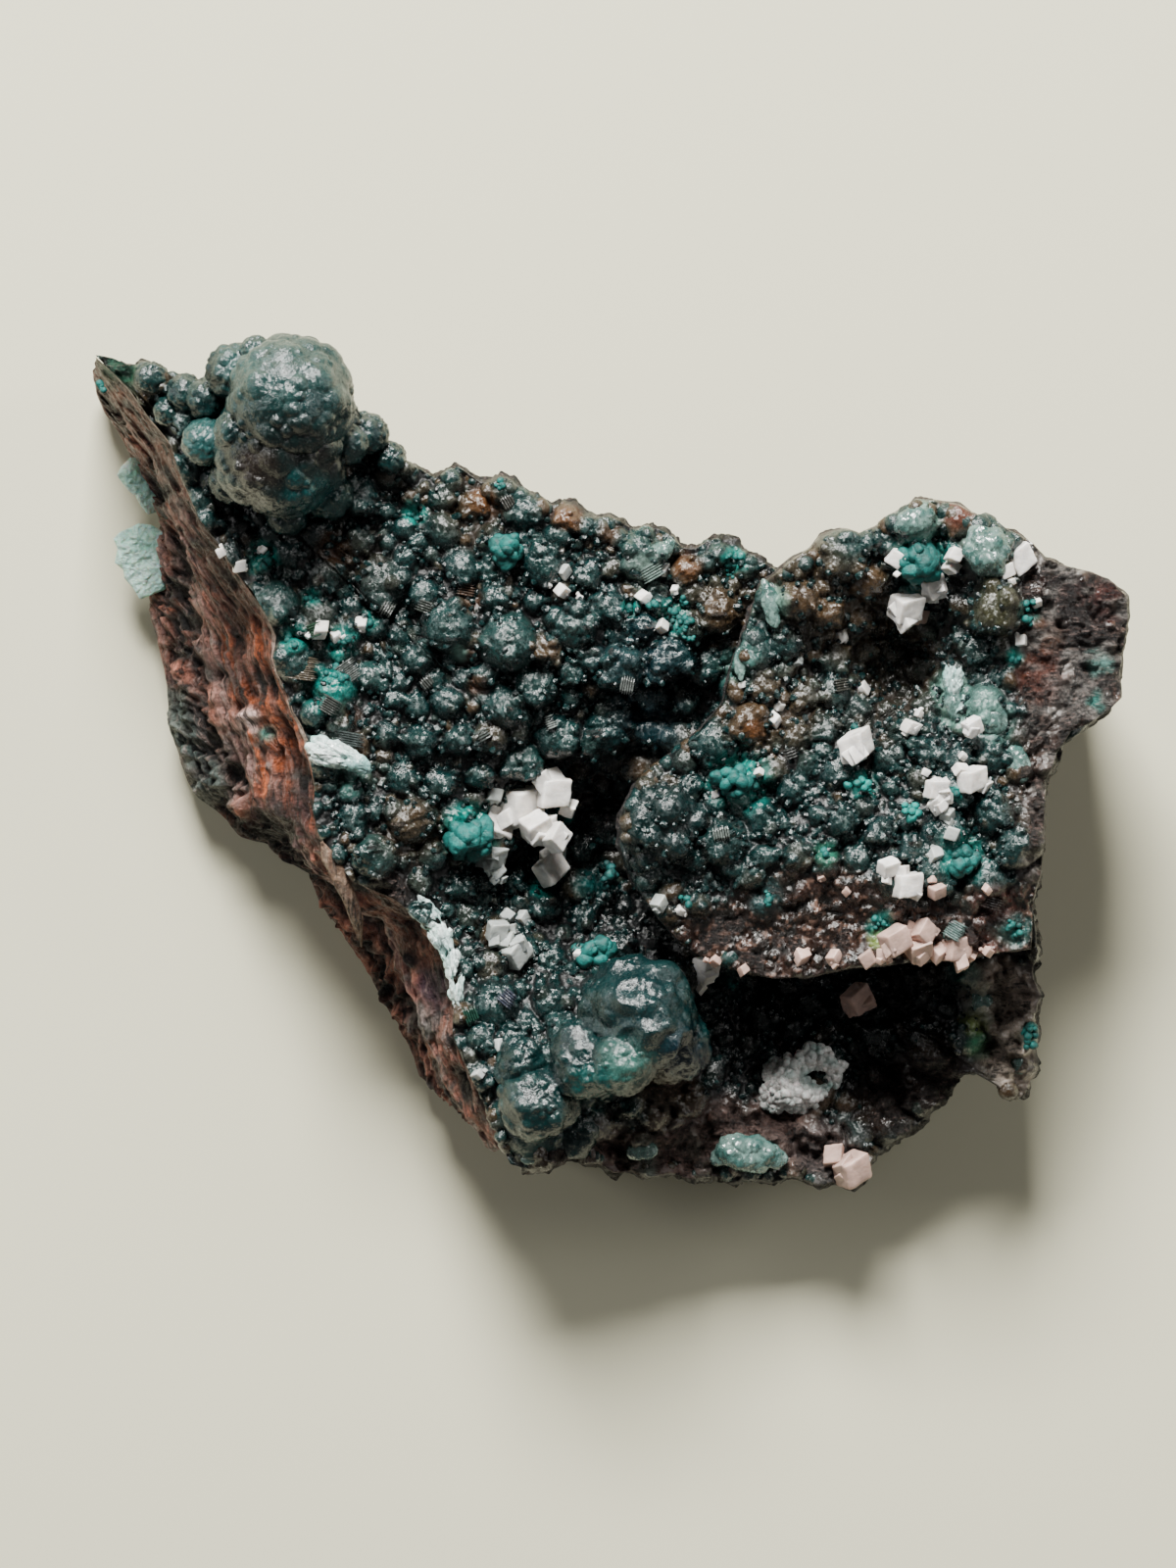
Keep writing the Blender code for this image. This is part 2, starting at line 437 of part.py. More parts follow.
def body_mesh():
    """Rock body: its crystal side, the broken walls down to the back edge, and the flat back."""
    outline = [station[:2] for station in STATIONS]
    rings = []
    for across, share in WALL_STEPS:
        ring = []
        for fx, fy, bx, by in STATIONS:
            x, y = between((fx, fy), (bx, by), across)
            z = BACK_EDGE_Z + share * (rock_height(fx, fy) - BACK_EDGE_Z)
            outward = Vector((bx - fx, by - fy)).normalized()
            push = rough(x, y, z, WALL_GRAIN, WALL_ROUGHNESS)
            ring.append((x + outward.x * push, y + outward.y * push, z + push))
        rings.append(ring)
    foot = []
    for _, _, bx, by in STATIONS:
        inward = (Vector(BACK_MIDDLE) - Vector((bx, by))).normalized() * BASE_INSET
        foot.append((bx + inward.x, by + inward.y, 0.0))
    rings.append(foot)
    return block(outline, grid_points(outline, ROCK_SPACING), rock_height, rings)


def undercut(x, y):
    """How far the shelf's foot lies inside its edge: deepest over the cave, to the south."""
    if y < CAVE_SOUTH:
        return CAVE_UNDERCUT
    if x < WEST_SIDE:
        return WEST_UNDERCUT
    return OUTER_UNDERCUT


def shelf_mesh():
    """Shelf block: its top, an edge, and sides that are hollowed out towards its foot."""
    rings = []
    for z, share in SHELF_STEPS:
        ring = []
        for x, y in SHELF_OUTLINE:
            inward = (Vector(SHELF_CENTRE) - Vector((x, y))).normalized()
            inward *= undercut(x, y) * share + rough(x, y, z, WALL_GRAIN, WALL_ROUGHNESS)
            ring.append((x + inward.x, y + inward.y, min(z, shelf_height(x, y) - CRUST)))
        rings.append(ring)
    inside = grid_points(SHELF_OUTLINE, SHELF_SPACING)
    return block(SHELF_OUTLINE, inside, shelf_height, rings)


def crust_sheet(outline, lumps, seed, height):
    """Layer of botryoids over an area, sunk into the rock that it will be cut from."""
    fill = scattered_lumps(outline, lumps, seed)
    every_lump = list(lumps) + fill
    surface = lumpy(height, every_lump)
    inside = lump_points(lumps, LUMP_RING_POINTS) + lump_points(fill, FILL_RING_POINTS)
    inside = [point for point in inside if is_inside(outline, *point)
              and edge_distance(outline, *point) > POINT_EDGE_GAP]
    inside += grid_points(outline, CRUST_SPACING, every_lump)
    low = [(x, y, height(x, y) - CRUST_SINK) for x, y in outline]
    return block(outline, inside, surface, [low], grid_points(outline, ROCK_SPACING),
                 lambda x, y: height(x, y) - CRUST_SINK)


def ball_mesh(centre, radius, detail):
    """Large botryoid with flat facets: an icosphere that is made a little uneven."""
    mesh = bmesh.new()
    bmesh.ops.create_icosphere(mesh, subdivisions=detail, radius=1.0)
    for vert in mesh.verts:
        swell = 1.0 + rough(*(vert.co + Vector(centre)), BALL_GRAIN, BALL_UNEVENNESS)
        vert.co = (vert.co * radius * swell + Vector(centre)) * MM
    return mesh


def dome_mesh(centre, radii, larger=0.0, turn=0.0):
    """Small rounded lump: a six-sided ball of few faces, stretched and then turned."""
    spin = Matrix.Rotation(turn, 3, "Z")
    place = Vector(centre)
    size = Vector([radius + larger for radius in radii])
    rings = []
    for lift in DOME_LIFTS:
        ring = []
        for side in range(DOME_SIDES):
            angle = 2.0 * math.pi * (side + 0.5 * lift) / DOME_SIDES
            swell = 1.0 + rough(place.x + angle, place.y, lift, DOME_GRAIN, BALL_UNEVENNESS)
            across = math.cos(lift)
            point = Vector((across * math.cos(angle), across * math.sin(angle), math.sin(lift)))
            ring.append(spin @ (point * size * swell) + place)
        rings.append(ring)
    return loft(rings, place + Vector((0, 0, size.z)), place - Vector((0, 0, size.z)))


def rhomb_mesh(centre, edge, turn, larger=0.0):
    """Rhombohedron: a cube pulled along one of its diagonals, then turned."""
    mesh = bmesh.new()
    bmesh.ops.create_cube(mesh, size=1.0)
    diagonal = Vector((1.0, 1.0, 1.0)).normalized()
    spin = Euler([math.radians(angle) for angle in turn]).to_matrix()
    for vert in mesh.verts:
        stretched = vert.co * RHOMB_WIDTH + diagonal * vert.co.dot(diagonal) * RHOMB_PULL
        vert.co = (spin @ stretched * (edge + 2.0 * larger) + Vector(centre)) * MM
    return mesh


def plate_mesh(outline, low, high, larger=0.0):
    """Thin flake: a flat outline with a slanted rim, from its low to its high side."""
    count = len(outline)
    middle = (sum(x for x, _ in outline) / count, sum(y for _, y in outline) / count)
    rings = []
    edges = ((high + larger, PLATE_TOP), ((low + high) / 2, 1.0), (low - larger, PLATE_FOOT))
    for z, share in edges:
        ring = []
        for point in outline:
            x, y = between(middle, point, share)
            away = Vector((x - middle[0], y - middle[1])).normalized() * larger
            ring.append((x + away.x, y + away.y, z))
        rings.append(ring)
    return loft(rings, (*middle, high + larger), (*middle, low - larger))


def splinter_mesh(path, width, larger=0.0):
    """Long four-sided splinter along a path, thin at both ends."""
    rings = []
    for index, (x, y, z) in enumerate(path):
        bulge = math.sin(math.pi * (index + 0.5) / len(path))
        half = 0.5 * width * (0.25 + bulge) + larger
        rings.append([(x - half, y, z), (x, y, z - half), (x + half, y, z), (x, y, z + half)])
    first, last = Vector(path[0]), Vector(path[-1])
    run = (last - first).normalized() * (0.3 * width + larger)
    return loft(rings, first - run, last + run)


def new_object(name, mesh):
    """Object in the scene from a bmesh, which is freed."""
    data = bpy.data.meshes.new(name)
    mesh.to_mesh(data)
    mesh.free()
    thing = bpy.data.objects.new(name, data)
    bpy.context.scene.collection.objects.link(thing)
    return thing


def combine(target, others, operation):
    """Apply one exact Boolean of the others to the target, and remove them."""
    group = bpy.data.collections.new("operands")
    bpy.context.scene.collection.children.link(group)
    for thing in others:
        bpy.context.scene.collection.objects.unlink(thing)
        group.objects.link(thing)
        thing.hide_render = True
        thing.display_type = "WIRE"
    step = target.modifiers.new("combine", "BOOLEAN")
    step.operation = operation
    step.solver = "EXACT"
    step.operand_type = "COLLECTION"
    step.collection = group
    graph = bpy.context.evaluated_depsgraph_get()
    data = bpy.data.meshes.new_from_object(target.evaluated_get(graph))
    target.modifiers.clear()
    target.data = data
    for thing in others:
        bpy.data.objects.remove(thing)
    bpy.data.collections.remove(group)
    return target


def largest_body(thing):
    """Keep only the largest connected body of an object's mesh."""
    mesh = bmesh.new()
    mesh.from_mesh(thing.data)
    waiting = set(mesh.verts)
    bodies = []
    while waiting:
        body = {waiting.pop()}
        reached = list(body)
        while reached:
            vert = reached.pop()
            found = {side.other_vert(vert) for side in vert.link_edges} - body
            body |= found
            reached.extend(found)
        waiting -= body
        bodies.append(body)
    bodies.sort(key=len)
    for body in bodies[:-1]:
        bmesh.ops.delete(mesh, geom=list(body), context="VERTS")
    mesh.to_mesh(thing.data)
    mesh.free()
    return thing


def simplify(thing):
    """Join neighbouring faces that lie in almost one plane, and drop the slivers between them."""
    mesh = bmesh.new()
    mesh.from_mesh(thing.data)
    bmesh.ops.dissolve_degenerate(mesh, edges=mesh.edges, dist=SLIVER * MM)
    bmesh.ops.dissolve_limit(mesh, angle_limit=math.radians(FLAT_ANGLE), verts=mesh.verts,
                             edges=mesh.edges)
    bmesh.ops.triangulate(mesh, faces=mesh.faces)
    mesh.to_mesh(thing.data)
    mesh.free()
    return thing


def finish(thing, colour, roughness, metallic=0.0):
    """Give an object its own material."""
    material = bpy.data.materials.new(thing.name)
    material.use_nodes = True
    shader = material.node_tree.nodes["Principled BSDF"]
    shader.inputs["Base Color"].default_value = (*colour, 1.0)
    shader.inputs["Roughness"].default_value = roughness
    shader.inputs["Metallic"].default_value = metallic
    thing.data.materials.clear()
    thing.data.materials.append(material)


def rock(larger=0.0):
    """Rock body and shelf as one solid, grown outwards by a distance."""
    body = new_object("matrix", grow(body_mesh(), larger))
    shelf = new_object("shelf", grow(shelf_mesh(), larger))
    return combine(body, [shelf], "UNION")


def crust_outline():
    """Edge of the field's crust: the rock's edge, set back on the east and the broken south."""
    (west, east), north = BROKEN_EDGE
    outline = []
    for x, y, _, _ in STATIONS:
        outline.append((min(x, CRUST_EAST), max(y, north) if west < x < east else y))
    return outline


def crust():
    """Willemite crust: the layer on the field and the shelf, joined with its botryoids."""
    outline = crust_outline()
    sheet = new_object("willemite_crust", crust_sheet(outline, FIELD_LUMPS, SEED, rock_height))
    lumps = [new_object("lump", crust_sheet(SHELF_CRUST_OUTLINE, SHELF_LUMPS, SEED + 1,
                                            shelf_height))]
    for x, y, z, radius in BALL_LUMPS + LOBE_LUMPS + EDGE_LUMPS:
        if radius > LARGE_RADIUS:
            detail = 3 if radius > LARGEST_RADIUS else 2
            lumps.append(new_object("lump", ball_mesh((x, y, z), radius, detail)))
        else:
            lumps.append(new_object("lump", dome_mesh((x, y, z), (radius,) * 3, 0.0, x)))
    for place in BRIDGE_LUMPS:
        lumps.append(new_object("lump", dome_mesh(place, BRIDGE_RADII, 0.0, place[0])))
    lumps += rhomb_group(FUSED_RHOMBS, 0.0)
    combine(sheet, lumps, "UNION")
    combine(sheet, [rock(GAP)], "DIFFERENCE")
    return sheet


def seat(x, y):
    """Height of the face that a crystal at (x, y) sits on, shelf or field."""
    if is_inside(SHELF_OUTLINE, x, y):
        return shelf_height(x, y) + (CRUST if is_inside(SHELF_CRUST_OUTLINE, x, y) else 0.0)
    return rock_height(x, y) + CRUST


def rhomb_group(rhombs, larger):
    """Dolomite rhombs grown together: (x, y, height above the seat, edge, turn)."""
    parts = []
    for x, y, lift, edge, turn in rhombs:
        centre = (x, y, seat(x, y) + lift)
        parts.append(new_object("rhomb", rhomb_mesh(centre, edge, turn, larger)))
    return parts


def ball_group(balls, larger):
    """Rounded crystals grown together: (x, y, height above the seat, radii, turn)."""
    parts = []
    for x, y, lift, radii, turn in balls:
        centre = (x, y, seat(x, y) + lift)
        parts.append(new_object("ball", dome_mesh(centre, radii, larger, math.radians(turn))))
    return parts


def flake_group(flakes, larger):
    """Thin flakes on the back edge: (outline, low side, high side)."""
    return [new_object("flake", plate_mesh(outline, low, high, larger))
            for outline, low, high in flakes]


def splinter_group(splinters, larger):
    """Splinters that lie on the wall: (path, width)."""
    return [new_object("splinter", splinter_mesh(path, width, larger))
            for path, width in splinters]


def grown_together(name, maker, rows, larger=0.0):
    """One solid from a group of crystals, with every row joined to the first."""
    parts = maker(rows, larger)
    whole = parts[0]
    whole.name = name
    if parts[1:]:
        combine(whole, parts[1:], "UNION")
    return whole


def clear_scene():
    """Start from an empty scene."""
    for thing in list(bpy.data.objects):
        bpy.data.objects.remove(thing)


def build():
    """Make every crystal, then the crust and the rock with a pocket for each of them."""
    made = []
    for name, maker, rows, colour, roughness in CRYSTALS:
        crystal = grown_together(name, maker, rows)
        earlier = [grown_together("cutter", *entry[1:3], GAP) for entry in made]
        if earlier:
            combine(crystal, earlier, "DIFFERENCE")
        finish(crystal, colour, roughness)
        made.append((name, maker, rows))
    for solid, colour, roughness in ((crust(), CRUST_COLOUR, 0.35), (rock(), ROCK_COLOUR, 0.8)):
        pockets = [grown_together("cutter", maker, rows, GAP) for _, maker, rows in made]
        combine(solid, pockets, "DIFFERENCE")
        simplify(largest_body(solid))
        finish(solid, colour, roughness)


# Crystals in the order they grew: (name, maker, rows, colour, roughness)
CRYSTALS = (
    ("dolomite_cluster", rhomb_group, MAIN_CLUSTER, WHITE, 0.4),
    ("dolomite_west", rhomb_group, WEST_RHOMBS, WHITE, 0.4),
    ("dolomite_hollow", rhomb_group, HOLLOW_RHOMB, WHITE, 0.4),
    ("dolomite_south", rhomb_group, SOUTH_RHOMBS, WHITE, 0.4),
    ("dolomite_shelf", rhomb_group, SHELF_RHOMB, WHITE, 0.4),
    ("dolomite_twins", rhomb_group, TWIN_RHOMBS, WHITE, 0.4),
    ("dolomite_east", rhomb_group, EAST_RHOMB, WHITE, 0.4),
    ("dolomite_band", rhomb_group, BAND_RHOMB, WHITE, 0.4),
    ("dolomite_low_shelf", rhomb_group, LOW_SHELF_RHOMBS, WHITE, 0.4),
    ("dolomite_lip", rhomb_group, LIP_RHOMBS, PINK, 0.4),
    ("dolomite_east_lip", rhomb_group, EAST_LIP_RHOMB, PINK, 0.4),
    ("dolomite_cave", rhomb_group, CAVE_RHOMB, PINK, 0.4),
    ("dolomite_lobe", rhomb_group, LOBE_RHOMB, WHITE, 0.4),
    ("dolomite_teal_patch", rhomb_group, TEAL_PATCH_RHOMBS, WHITE, 0.4),
    ("dolomite_north_slab", rhomb_group, NORTH_SLAB, WHITE, 0.4),
    ("dolomite_lower_edge", rhomb_group, LOWER_EDGE_RHOMB, PINK, 0.4),
    ("rosasite_big", ball_group, BIG_ROSASITE, TEAL, 0.6),
    ("rosasite_shelf", ball_group, SHELF_ROSASITE, TEAL, 0.6),
    ("rosasite_middle", ball_group, MIDDLE_ROSASITE, TEAL, 0.6),
    ("rosasite_pale", ball_group, PALE_ROSASITE, AQUA, 0.6),
    ("rosasite_east", ball_group, EAST_ROSASITE, TEAL, 0.6),
    ("rosasite_west", ball_group, WEST_ROSASITE, TEAL, 0.6),
    ("rosasite_south", ball_group, SOUTH_ROSASITE, TEAL, 0.6),
    ("rosasite_hollow", ball_group, HOLLOW_ROSASITE, TEAL, 0.6),
    ("rosasite_north", ball_group, NORTH_ROSASITE, TEAL, 0.6),
    ("rosasite_edge", ball_group, EDGE_ROSASITE, TEAL, 0.6),
    ("pale_willemite_band", ball_group, PALE_BAND, AQUA, 0.4),
    ("pale_willemite_west", ball_group, WEST_SLAB, PALE, 0.4),
    ("pale_willemite_south", ball_group, SOUTH_SLAB, PALE, 0.4),
    ("pale_willemite_lobe", ball_group, PALE_LOBE, AQUA, 0.4),
    ("white_rosette", ball_group, ROSETTE, PALE, 0.6),
    ("flake_north", flake_group, NORTH_FLAKE, PALE, 0.5),
    ("flake_south", flake_group, SOUTH_FLAKE, PALE, 0.5),
    ("splinter", splinter_group, SPLINTER, TAN, 0.7),
)


clear_scene()
build()
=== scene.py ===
"""Looks of a willemite specimen that lies on its back with the crystal side up.

Sizes and places are in millimetres in the part's own frame: X to the right and Y up across the
crystal side, Z the height above the floor. They become metres when a mesh is made.
"""
import math

import bpy
import numpy as np
from mathutils import Euler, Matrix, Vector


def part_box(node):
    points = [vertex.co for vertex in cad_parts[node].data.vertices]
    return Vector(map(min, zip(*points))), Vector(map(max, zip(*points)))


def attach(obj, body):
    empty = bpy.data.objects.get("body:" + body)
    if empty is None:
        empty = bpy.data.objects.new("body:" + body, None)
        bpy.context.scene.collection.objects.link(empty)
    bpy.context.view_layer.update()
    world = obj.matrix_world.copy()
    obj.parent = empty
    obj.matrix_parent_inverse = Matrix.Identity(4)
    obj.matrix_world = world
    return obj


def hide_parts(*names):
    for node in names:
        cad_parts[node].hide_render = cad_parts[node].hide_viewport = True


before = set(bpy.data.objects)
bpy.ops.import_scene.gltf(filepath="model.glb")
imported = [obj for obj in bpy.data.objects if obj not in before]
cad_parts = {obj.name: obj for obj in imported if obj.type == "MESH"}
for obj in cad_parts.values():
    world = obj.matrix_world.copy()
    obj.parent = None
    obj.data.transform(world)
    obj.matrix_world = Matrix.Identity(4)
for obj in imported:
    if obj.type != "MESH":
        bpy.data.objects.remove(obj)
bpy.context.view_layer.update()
MM = 0.001


# ---- Floor, light and camera -------------------------------------------------
# The specimen lies on a wide pale sheet of card. One soft lamp stands past its upper edge, as the
# window does in a room. The pale room fills the shadows, darker overhead where the viewer stands.
FLOOR_WIDTH = 3000.0
LENS = 150.0
CAMERA_AT = (-0.8, -1.2, 468.0)


def aimed(thing, target):
    """Turn a lamp so that it shines at a point."""
    way = np.array(target) - np.array(thing.location)
    thing.rotation_euler = (
        math.atan2(math.hypot(way[0], way[1]), -way[2]), 0.0, math.atan2(-way[0], way[1]))


def lamp(name, place, target, width, power, colour):
    """Square soft lamp at a place in millimetres."""
    light = bpy.data.lights.new(name, "AREA")
    light.shape = "SQUARE"
    light.size = width * MM
    light.energy = power
    light.color = colour
    thing = bpy.data.objects.new(name, light)
    bpy.context.scene.collection.objects.link(thing)
    thing.location = np.array(place) * MM
    aimed(thing, np.array(target) * MM)


def node(tree, kind, inputs=None, **settings):
    """One shader node: its settings, and its inputs as values or as sockets that feed them."""
    made = tree.nodes.new(kind)
    for name, value in settings.items():
        setattr(made, name, value)
    for socket, value in (inputs or {}).items():
        if isinstance(value, bpy.types.NodeSocket):
            tree.links.new(value, made.inputs[socket])
        else:
            made.inputs[socket].default_value = value
    return made


def plain_material(name):
    """Empty material with a Principled shader: returns its tree and the shader."""
    material = bpy.data.materials.new(name)
    material.use_nodes = True
    return material, material.node_tree, material.node_tree.nodes["Principled BSDF"]


camera = bpy.data.objects.new("camera", bpy.data.cameras.new("camera"))
camera.data.lens = LENS
camera.data.clip_start = 0.01
camera.location = np.array(CAMERA_AT) * MM
bpy.context.scene.collection.objects.link(camera)
bpy.context.scene.camera = camera

half = 0.5 * FLOOR_WIDTH * MM
card = bpy.data.meshes.new("floor")
card.from_pydata([(-half, -half, 0), (half, -half, 0), (half, half, 0), (-half, half, 0)], [],
                 [(0, 1, 2, 3)])
floor = bpy.data.objects.new("floor", card)
bpy.context.scene.collection.objects.link(floor)
card_finish, tree, shader = plain_material("card")
shader.inputs["Base Color"].default_value = (0.63, 0.61, 0.45, 1.0)
shader.inputs["Roughness"].default_value = 0.9
card.materials.append(card_finish)

room = bpy.data.worlds.new("room")
room.use_nodes = True
sky = node(room.node_tree, "ShaderNodeTexCoord")
up = node(room.node_tree, "ShaderNodeSeparateXYZ", {0: sky.outputs["Generated"]})
glow = node(room.node_tree, "ShaderNodeMapRange", {
    "Value": up.outputs["Z"], "From Min": 0.25, "From Max": 0.92, "To Min": 0.22, "To Max": 0.03})
room.node_tree.links.new(glow.outputs[0], room.node_tree.nodes["Background"].inputs["Strength"])
room.node_tree.nodes["Background"].inputs["Color"].default_value = (1.0, 0.99, 0.96, 1.0)
bpy.context.scene.world = room
lamp("window", (-60, 430, 400), (0, 0, 10), 200, 13.3, (1.0, 0.985, 0.95))
lamp("left wall", (-520, 120, 300), (0, 0, 10), 220, 0.9, (1.0, 1.0, 1.0))
lamp("right wall", (500, 160, 340), (0, 0, 10), 220, 0.9, (1.0, 0.99, 0.97))


# ---- Rock --------------------------------------------------------------------
# The matrix is red-brown gossan: layered iron oxides with grey-pink fibrous streaks. It broke
# along its layers at the back and on the left, where the walls slope down to the back edge.
# Each station is the rim of the crystal side and the back edge below it: (x, y, x, y)
STATIONS = (
    (-34.8, 28.3, -36.0, 27.9), (-33.6, 27.2, -35.8, 26.6), (-32.4, 26.0, -35.2, 25.2),
    (-31.0, 24.0, -34.2, 23.8), (-29.5, 22.2, -33.3, 21.9), (-28.6, 19.5, -32.2, 19.6),
    (-27.5, 17.0, -31.3, 17.2), (-26.0, 15.0, -31.4, 15.2), (-25.0, 13.3, -31.9, 13.4),
    (-23.0, 10.5, -32.1, 11.2), (-22.3, 9.0, -31.5, 9.2), (-22.4, 7.5, -31.2, 7.9),
    (-22.2, 6.2, -30.9, 6.2), (-21.6, 5.0, -30.7, 4.4), (-21.2, 3.8, -30.6, 2.9),
    (-20.6, 2.8, -30.3, 1.8), (-20.1, 1.6, -29.9, 0.6), (-19.9, 0.3, -29.4, -0.8),
    (-19.6, -1.5, -28.6, -2.2), (-19.6, -3.0, -27.0, -3.4), (-19.5, -4.5, -25.6, -5.0),
    (-19.0, -5.8, -23.6, -5.9), (-17.0, -8.0, -20.7, -7.6), (-14.4, -9.2, -19.9, -9.8),
    (-12.0, -11.0, -18.4, -11.6), (-10.8, -13.5, -16.6, -14.4), (-10.1, -16.4, -15.0, -17.4),
    (-10.1, -18.5, -13.6, -19.8), (-9.4, -20.5, -12.8, -22.0), (-8.4, -22.7, -10.8, -23.9),
    (-7.3, -25.0, -8.6, -25.6), (-6.0, -27.2, -6.0, -27.0),
    (-2.3, -27.1, -2.4, -26.2), (1.4, -28.0, 1.4, -26.6), (5.0, -28.3, 5.0, -26.6),
    (8.4, -28.6, 8.4, -26.8), (12.2, -29.1, 11.9, -27.0), (15.6, -29.2, 15.2, -27.2),
    (17.6, -29.5, 17.2, -27.4), (18.8, -28.6, 17.9, -26.7), (20.4, -26.3, 19.2, -24.8),
    (22.6, -24.9, 21.4, -23.6), (24.4, -22.4, 23.2, -21.2), (26.4, -21.3, 25.0, -20.0),
    (29.6, -23.1, 28.2, -20.6), (30.5, -21.0, 29.2, -18.6), (30.5, -18.6, 29.2, -17.0),
    (30.3, -16.0, 29.0, -14.8), (30.3, -12.8, 29.0, -11.8), (29.9, -9.2, 28.8, -8.6),
    (30.2, -5.4, 29.0, -5.2), (30.4, -1.6, 29.2, -1.8), (31.6, 1.4, 30.2, 1.2),
    (34.6, 3.6, 32.8, 3.9), (35.8, 6.2, 34.2, 6.4), (36.0, 10.2, 34.4, 9.8),
    (34.6, 12.6, 33.0, 11.6), (31.0, 13.6, 29.8, 12.4), (27.6, 15.8, 26.8, 14.4),
    (23.4, 17.2, 22.8, 15.8), (19.6, 16.2, 19.2, 14.8), (16.2, 15.2, 15.8, 13.8),
    (12.6, 13.0, 12.2, 11.6), (10.8, 14.3, 10.2, 12.4), (9.0, 15.2, 8.6, 13.0),
    (7.2, 15.2, 6.8, 13.2), (5.0, 15.6, 4.8, 13.4), (3.0, 16.4, 2.8, 14.2),
    (0.8, 16.9, 0.8, 14.8), (-1.6, 17.6, -1.6, 15.6), (-4.2, 18.3, -4.0, 16.2),
    (-6.4, 19.4, -6.2, 17.2), (-9.0, 19.7, -8.8, 17.6), (-11.4, 19.8, -11.2, 17.9),
    (-13.6, 20.8, -13.6, 18.9), (-15.2, 22.4, -15.6, 20.6), (-17.0, 24.6, -17.6, 22.6),
    (-20.4, 26.2, -20.8, 24.6), (-24.4, 26.9, -24.8, 25.4), (-28.6, 26.3, -29.0, 24.6),
    (-31.2, 27.4, -32.2, 26.0),
)
WEST_STATIONS = 32

# Height of the rock's crystal side at chosen spots: (x, y, z)
ROCK_SPOTS = (
    (-34, 27.4, 17.0), (-31, 24.6, 18.0), (-28.4, 20.4, 18.0), (-26, 16, 17.6),
    (-23.6, 12, 17.2), (-21.6, 8, 17.0), (-20.2, 3.4, 16.6), (-19.2, -2, 16.2),
    (-18, -6.4, 15.6), (-14, -9.4, 15.0), (-11.4, -13, 14.4), (-9.8, -17.4, 15.0),
    (-9, -21.4, 15.4), (-7, -25.4, 14.0), (-21.6, 23.2, 22.6), (-18, 19, 18.0),
    (-26.4, 23.4, 18.6), (-15, 15, 16.6), (-10, 17.6, 17.0), (-4, 16.2, 17.0),
    (1, 14.6, 16.4), (5, 13.6, 16.4), (9, 13, 16.6), (-14, 9, 16.0), (-8, 9, 17.0),
    (-2, 8, 16.6), (4, 8, 16.0), (8, 8, 15.0), (8, 4.4, 12.6), (-14, 3, 15.2),
    (-8, 3.4, 15.8), (-2, 3, 14.4), (2.4, 2.4, 12.0), (6, 1, 12.0), (-15, -2.4, 15.4),
    (-10.6, -3, 14.2), (-7, 0, 14.2), (-9.2, -6.6, 12.0), (-13, -6, 14.6),
    (-4, -3.4, 8.0), (-1, -7.6, 5.6), (-4.6, -8, 6.6), (0, -3, 6.2), (-6.8, -11.4, 9.0),
    (-2.4, -11.6, 7.6), (2, -11.2, 5.6), (-8.6, -13.6, 12.4), (-6.8, -16.8, 14.6),
    (-3, -16.6, 14.0), (2.4, -17.6, 16.6), (-0.8, -21, 16.2), (-4.8, -23.4, 15.0),
    (4, -21, 14.6), (5.4, -17, 12.4), (9, -17, 5.6), (13, -15.4, 5.0), (18, -15.6, 5.0),
    (22.4, -16, 5.6), (12, -20, 6.0), (17, -21, 6.2), (21.4, -20, 7.2), (8, -22, 7.6),
    (13, -25.4, 8.0), (17.4, -26.4, 8.4), (9, -27.4, 9.2), (2.4, -26.4, 11.2),
    (-1, -26, 12.0), (26.4, -17.4, 12.4), (25.4, -20.4, 10.6), (29.6, -16, 12.8),
    (29.8, -22, 9.2), (27.4, -13.6, 11.0), (10, -10, 5.6), (15, -10, 5.6), (20.6, -10, 5.8),
    (26, -10, 9.0), (8, -4, 10.0), (15, -4, 12.0), (22, -4, 13.0), (15, 4, 13.0),
    (22, 6, 12.0), (14, 13, 17.4), (20, 15.4, 18.8), (27, 14.8, 19.0), (32, 12.4, 18.6),
    (35.4, 9, 17.2), (34, 5, 17.4), (30.4, 0, 18.0), (30, -5, 18.2), (29.8, -9.4, 17.2),
    (29.8, -12.8, 14.4),
)
RELIEF_SPREAD = 2.7
BACK_EDGE_Z = 3.2
BASE_INSET = 2.4
# Slope of a wall from the rim to the back edge: (share of the way down, share of the way out)
WEST_SLOPE = ((0.0, 0.0), (0.06, 0.05), (0.16, 0.12), (0.34, 0.38), (0.56, 0.5), (0.74, 0.82),
              (1.0, 1.0))
WALL_ROWS = 110
WEST_COLUMNS = 760
ROUND_COLUMNS = 600
# Broken pits in the left wall: (x, y, radius, depth)
WALL_PITS = (
    (-31.0, 21.3, 0.8, 0.5), (-30.5, 19.0, 0.8, 0.8), (-29.7, 12.3, 0.8, 0.7),
    (-28.1, 10.0, 0.7, 0.8), (-26.6, 6.4, 0.6, 0.6), (-25.0, 4.3, 0.7, 0.7),
    (-22.8, -4.6, 1.5, 0.8), (-24.3, -5.4, 0.9, 0.6), (-14.6, -13.0, 0.9, 0.7),
    (-13.4, -16.0, 0.7, 0.6), (-15.4, -10.8, 0.8, 0.6), (-27.6, 14.6, 0.5, 0.5),
)


def relief(spots, x, y, spread=RELIEF_SPREAD):
    """Height at each (x, y): the spots' heights, averaged by a bell curve of their distance."""
    total = np.full(np.shape(x), 1e-9)
    height = np.zeros(np.shape(x))
    for spot_x, spot_y, spot_z in spots:
        weight = np.exp(-((x - spot_x) ** 2 + (y - spot_y) ** 2) / (2.0 * spread ** 2))
        total += weight
        height += weight * spot_z
    return height / total


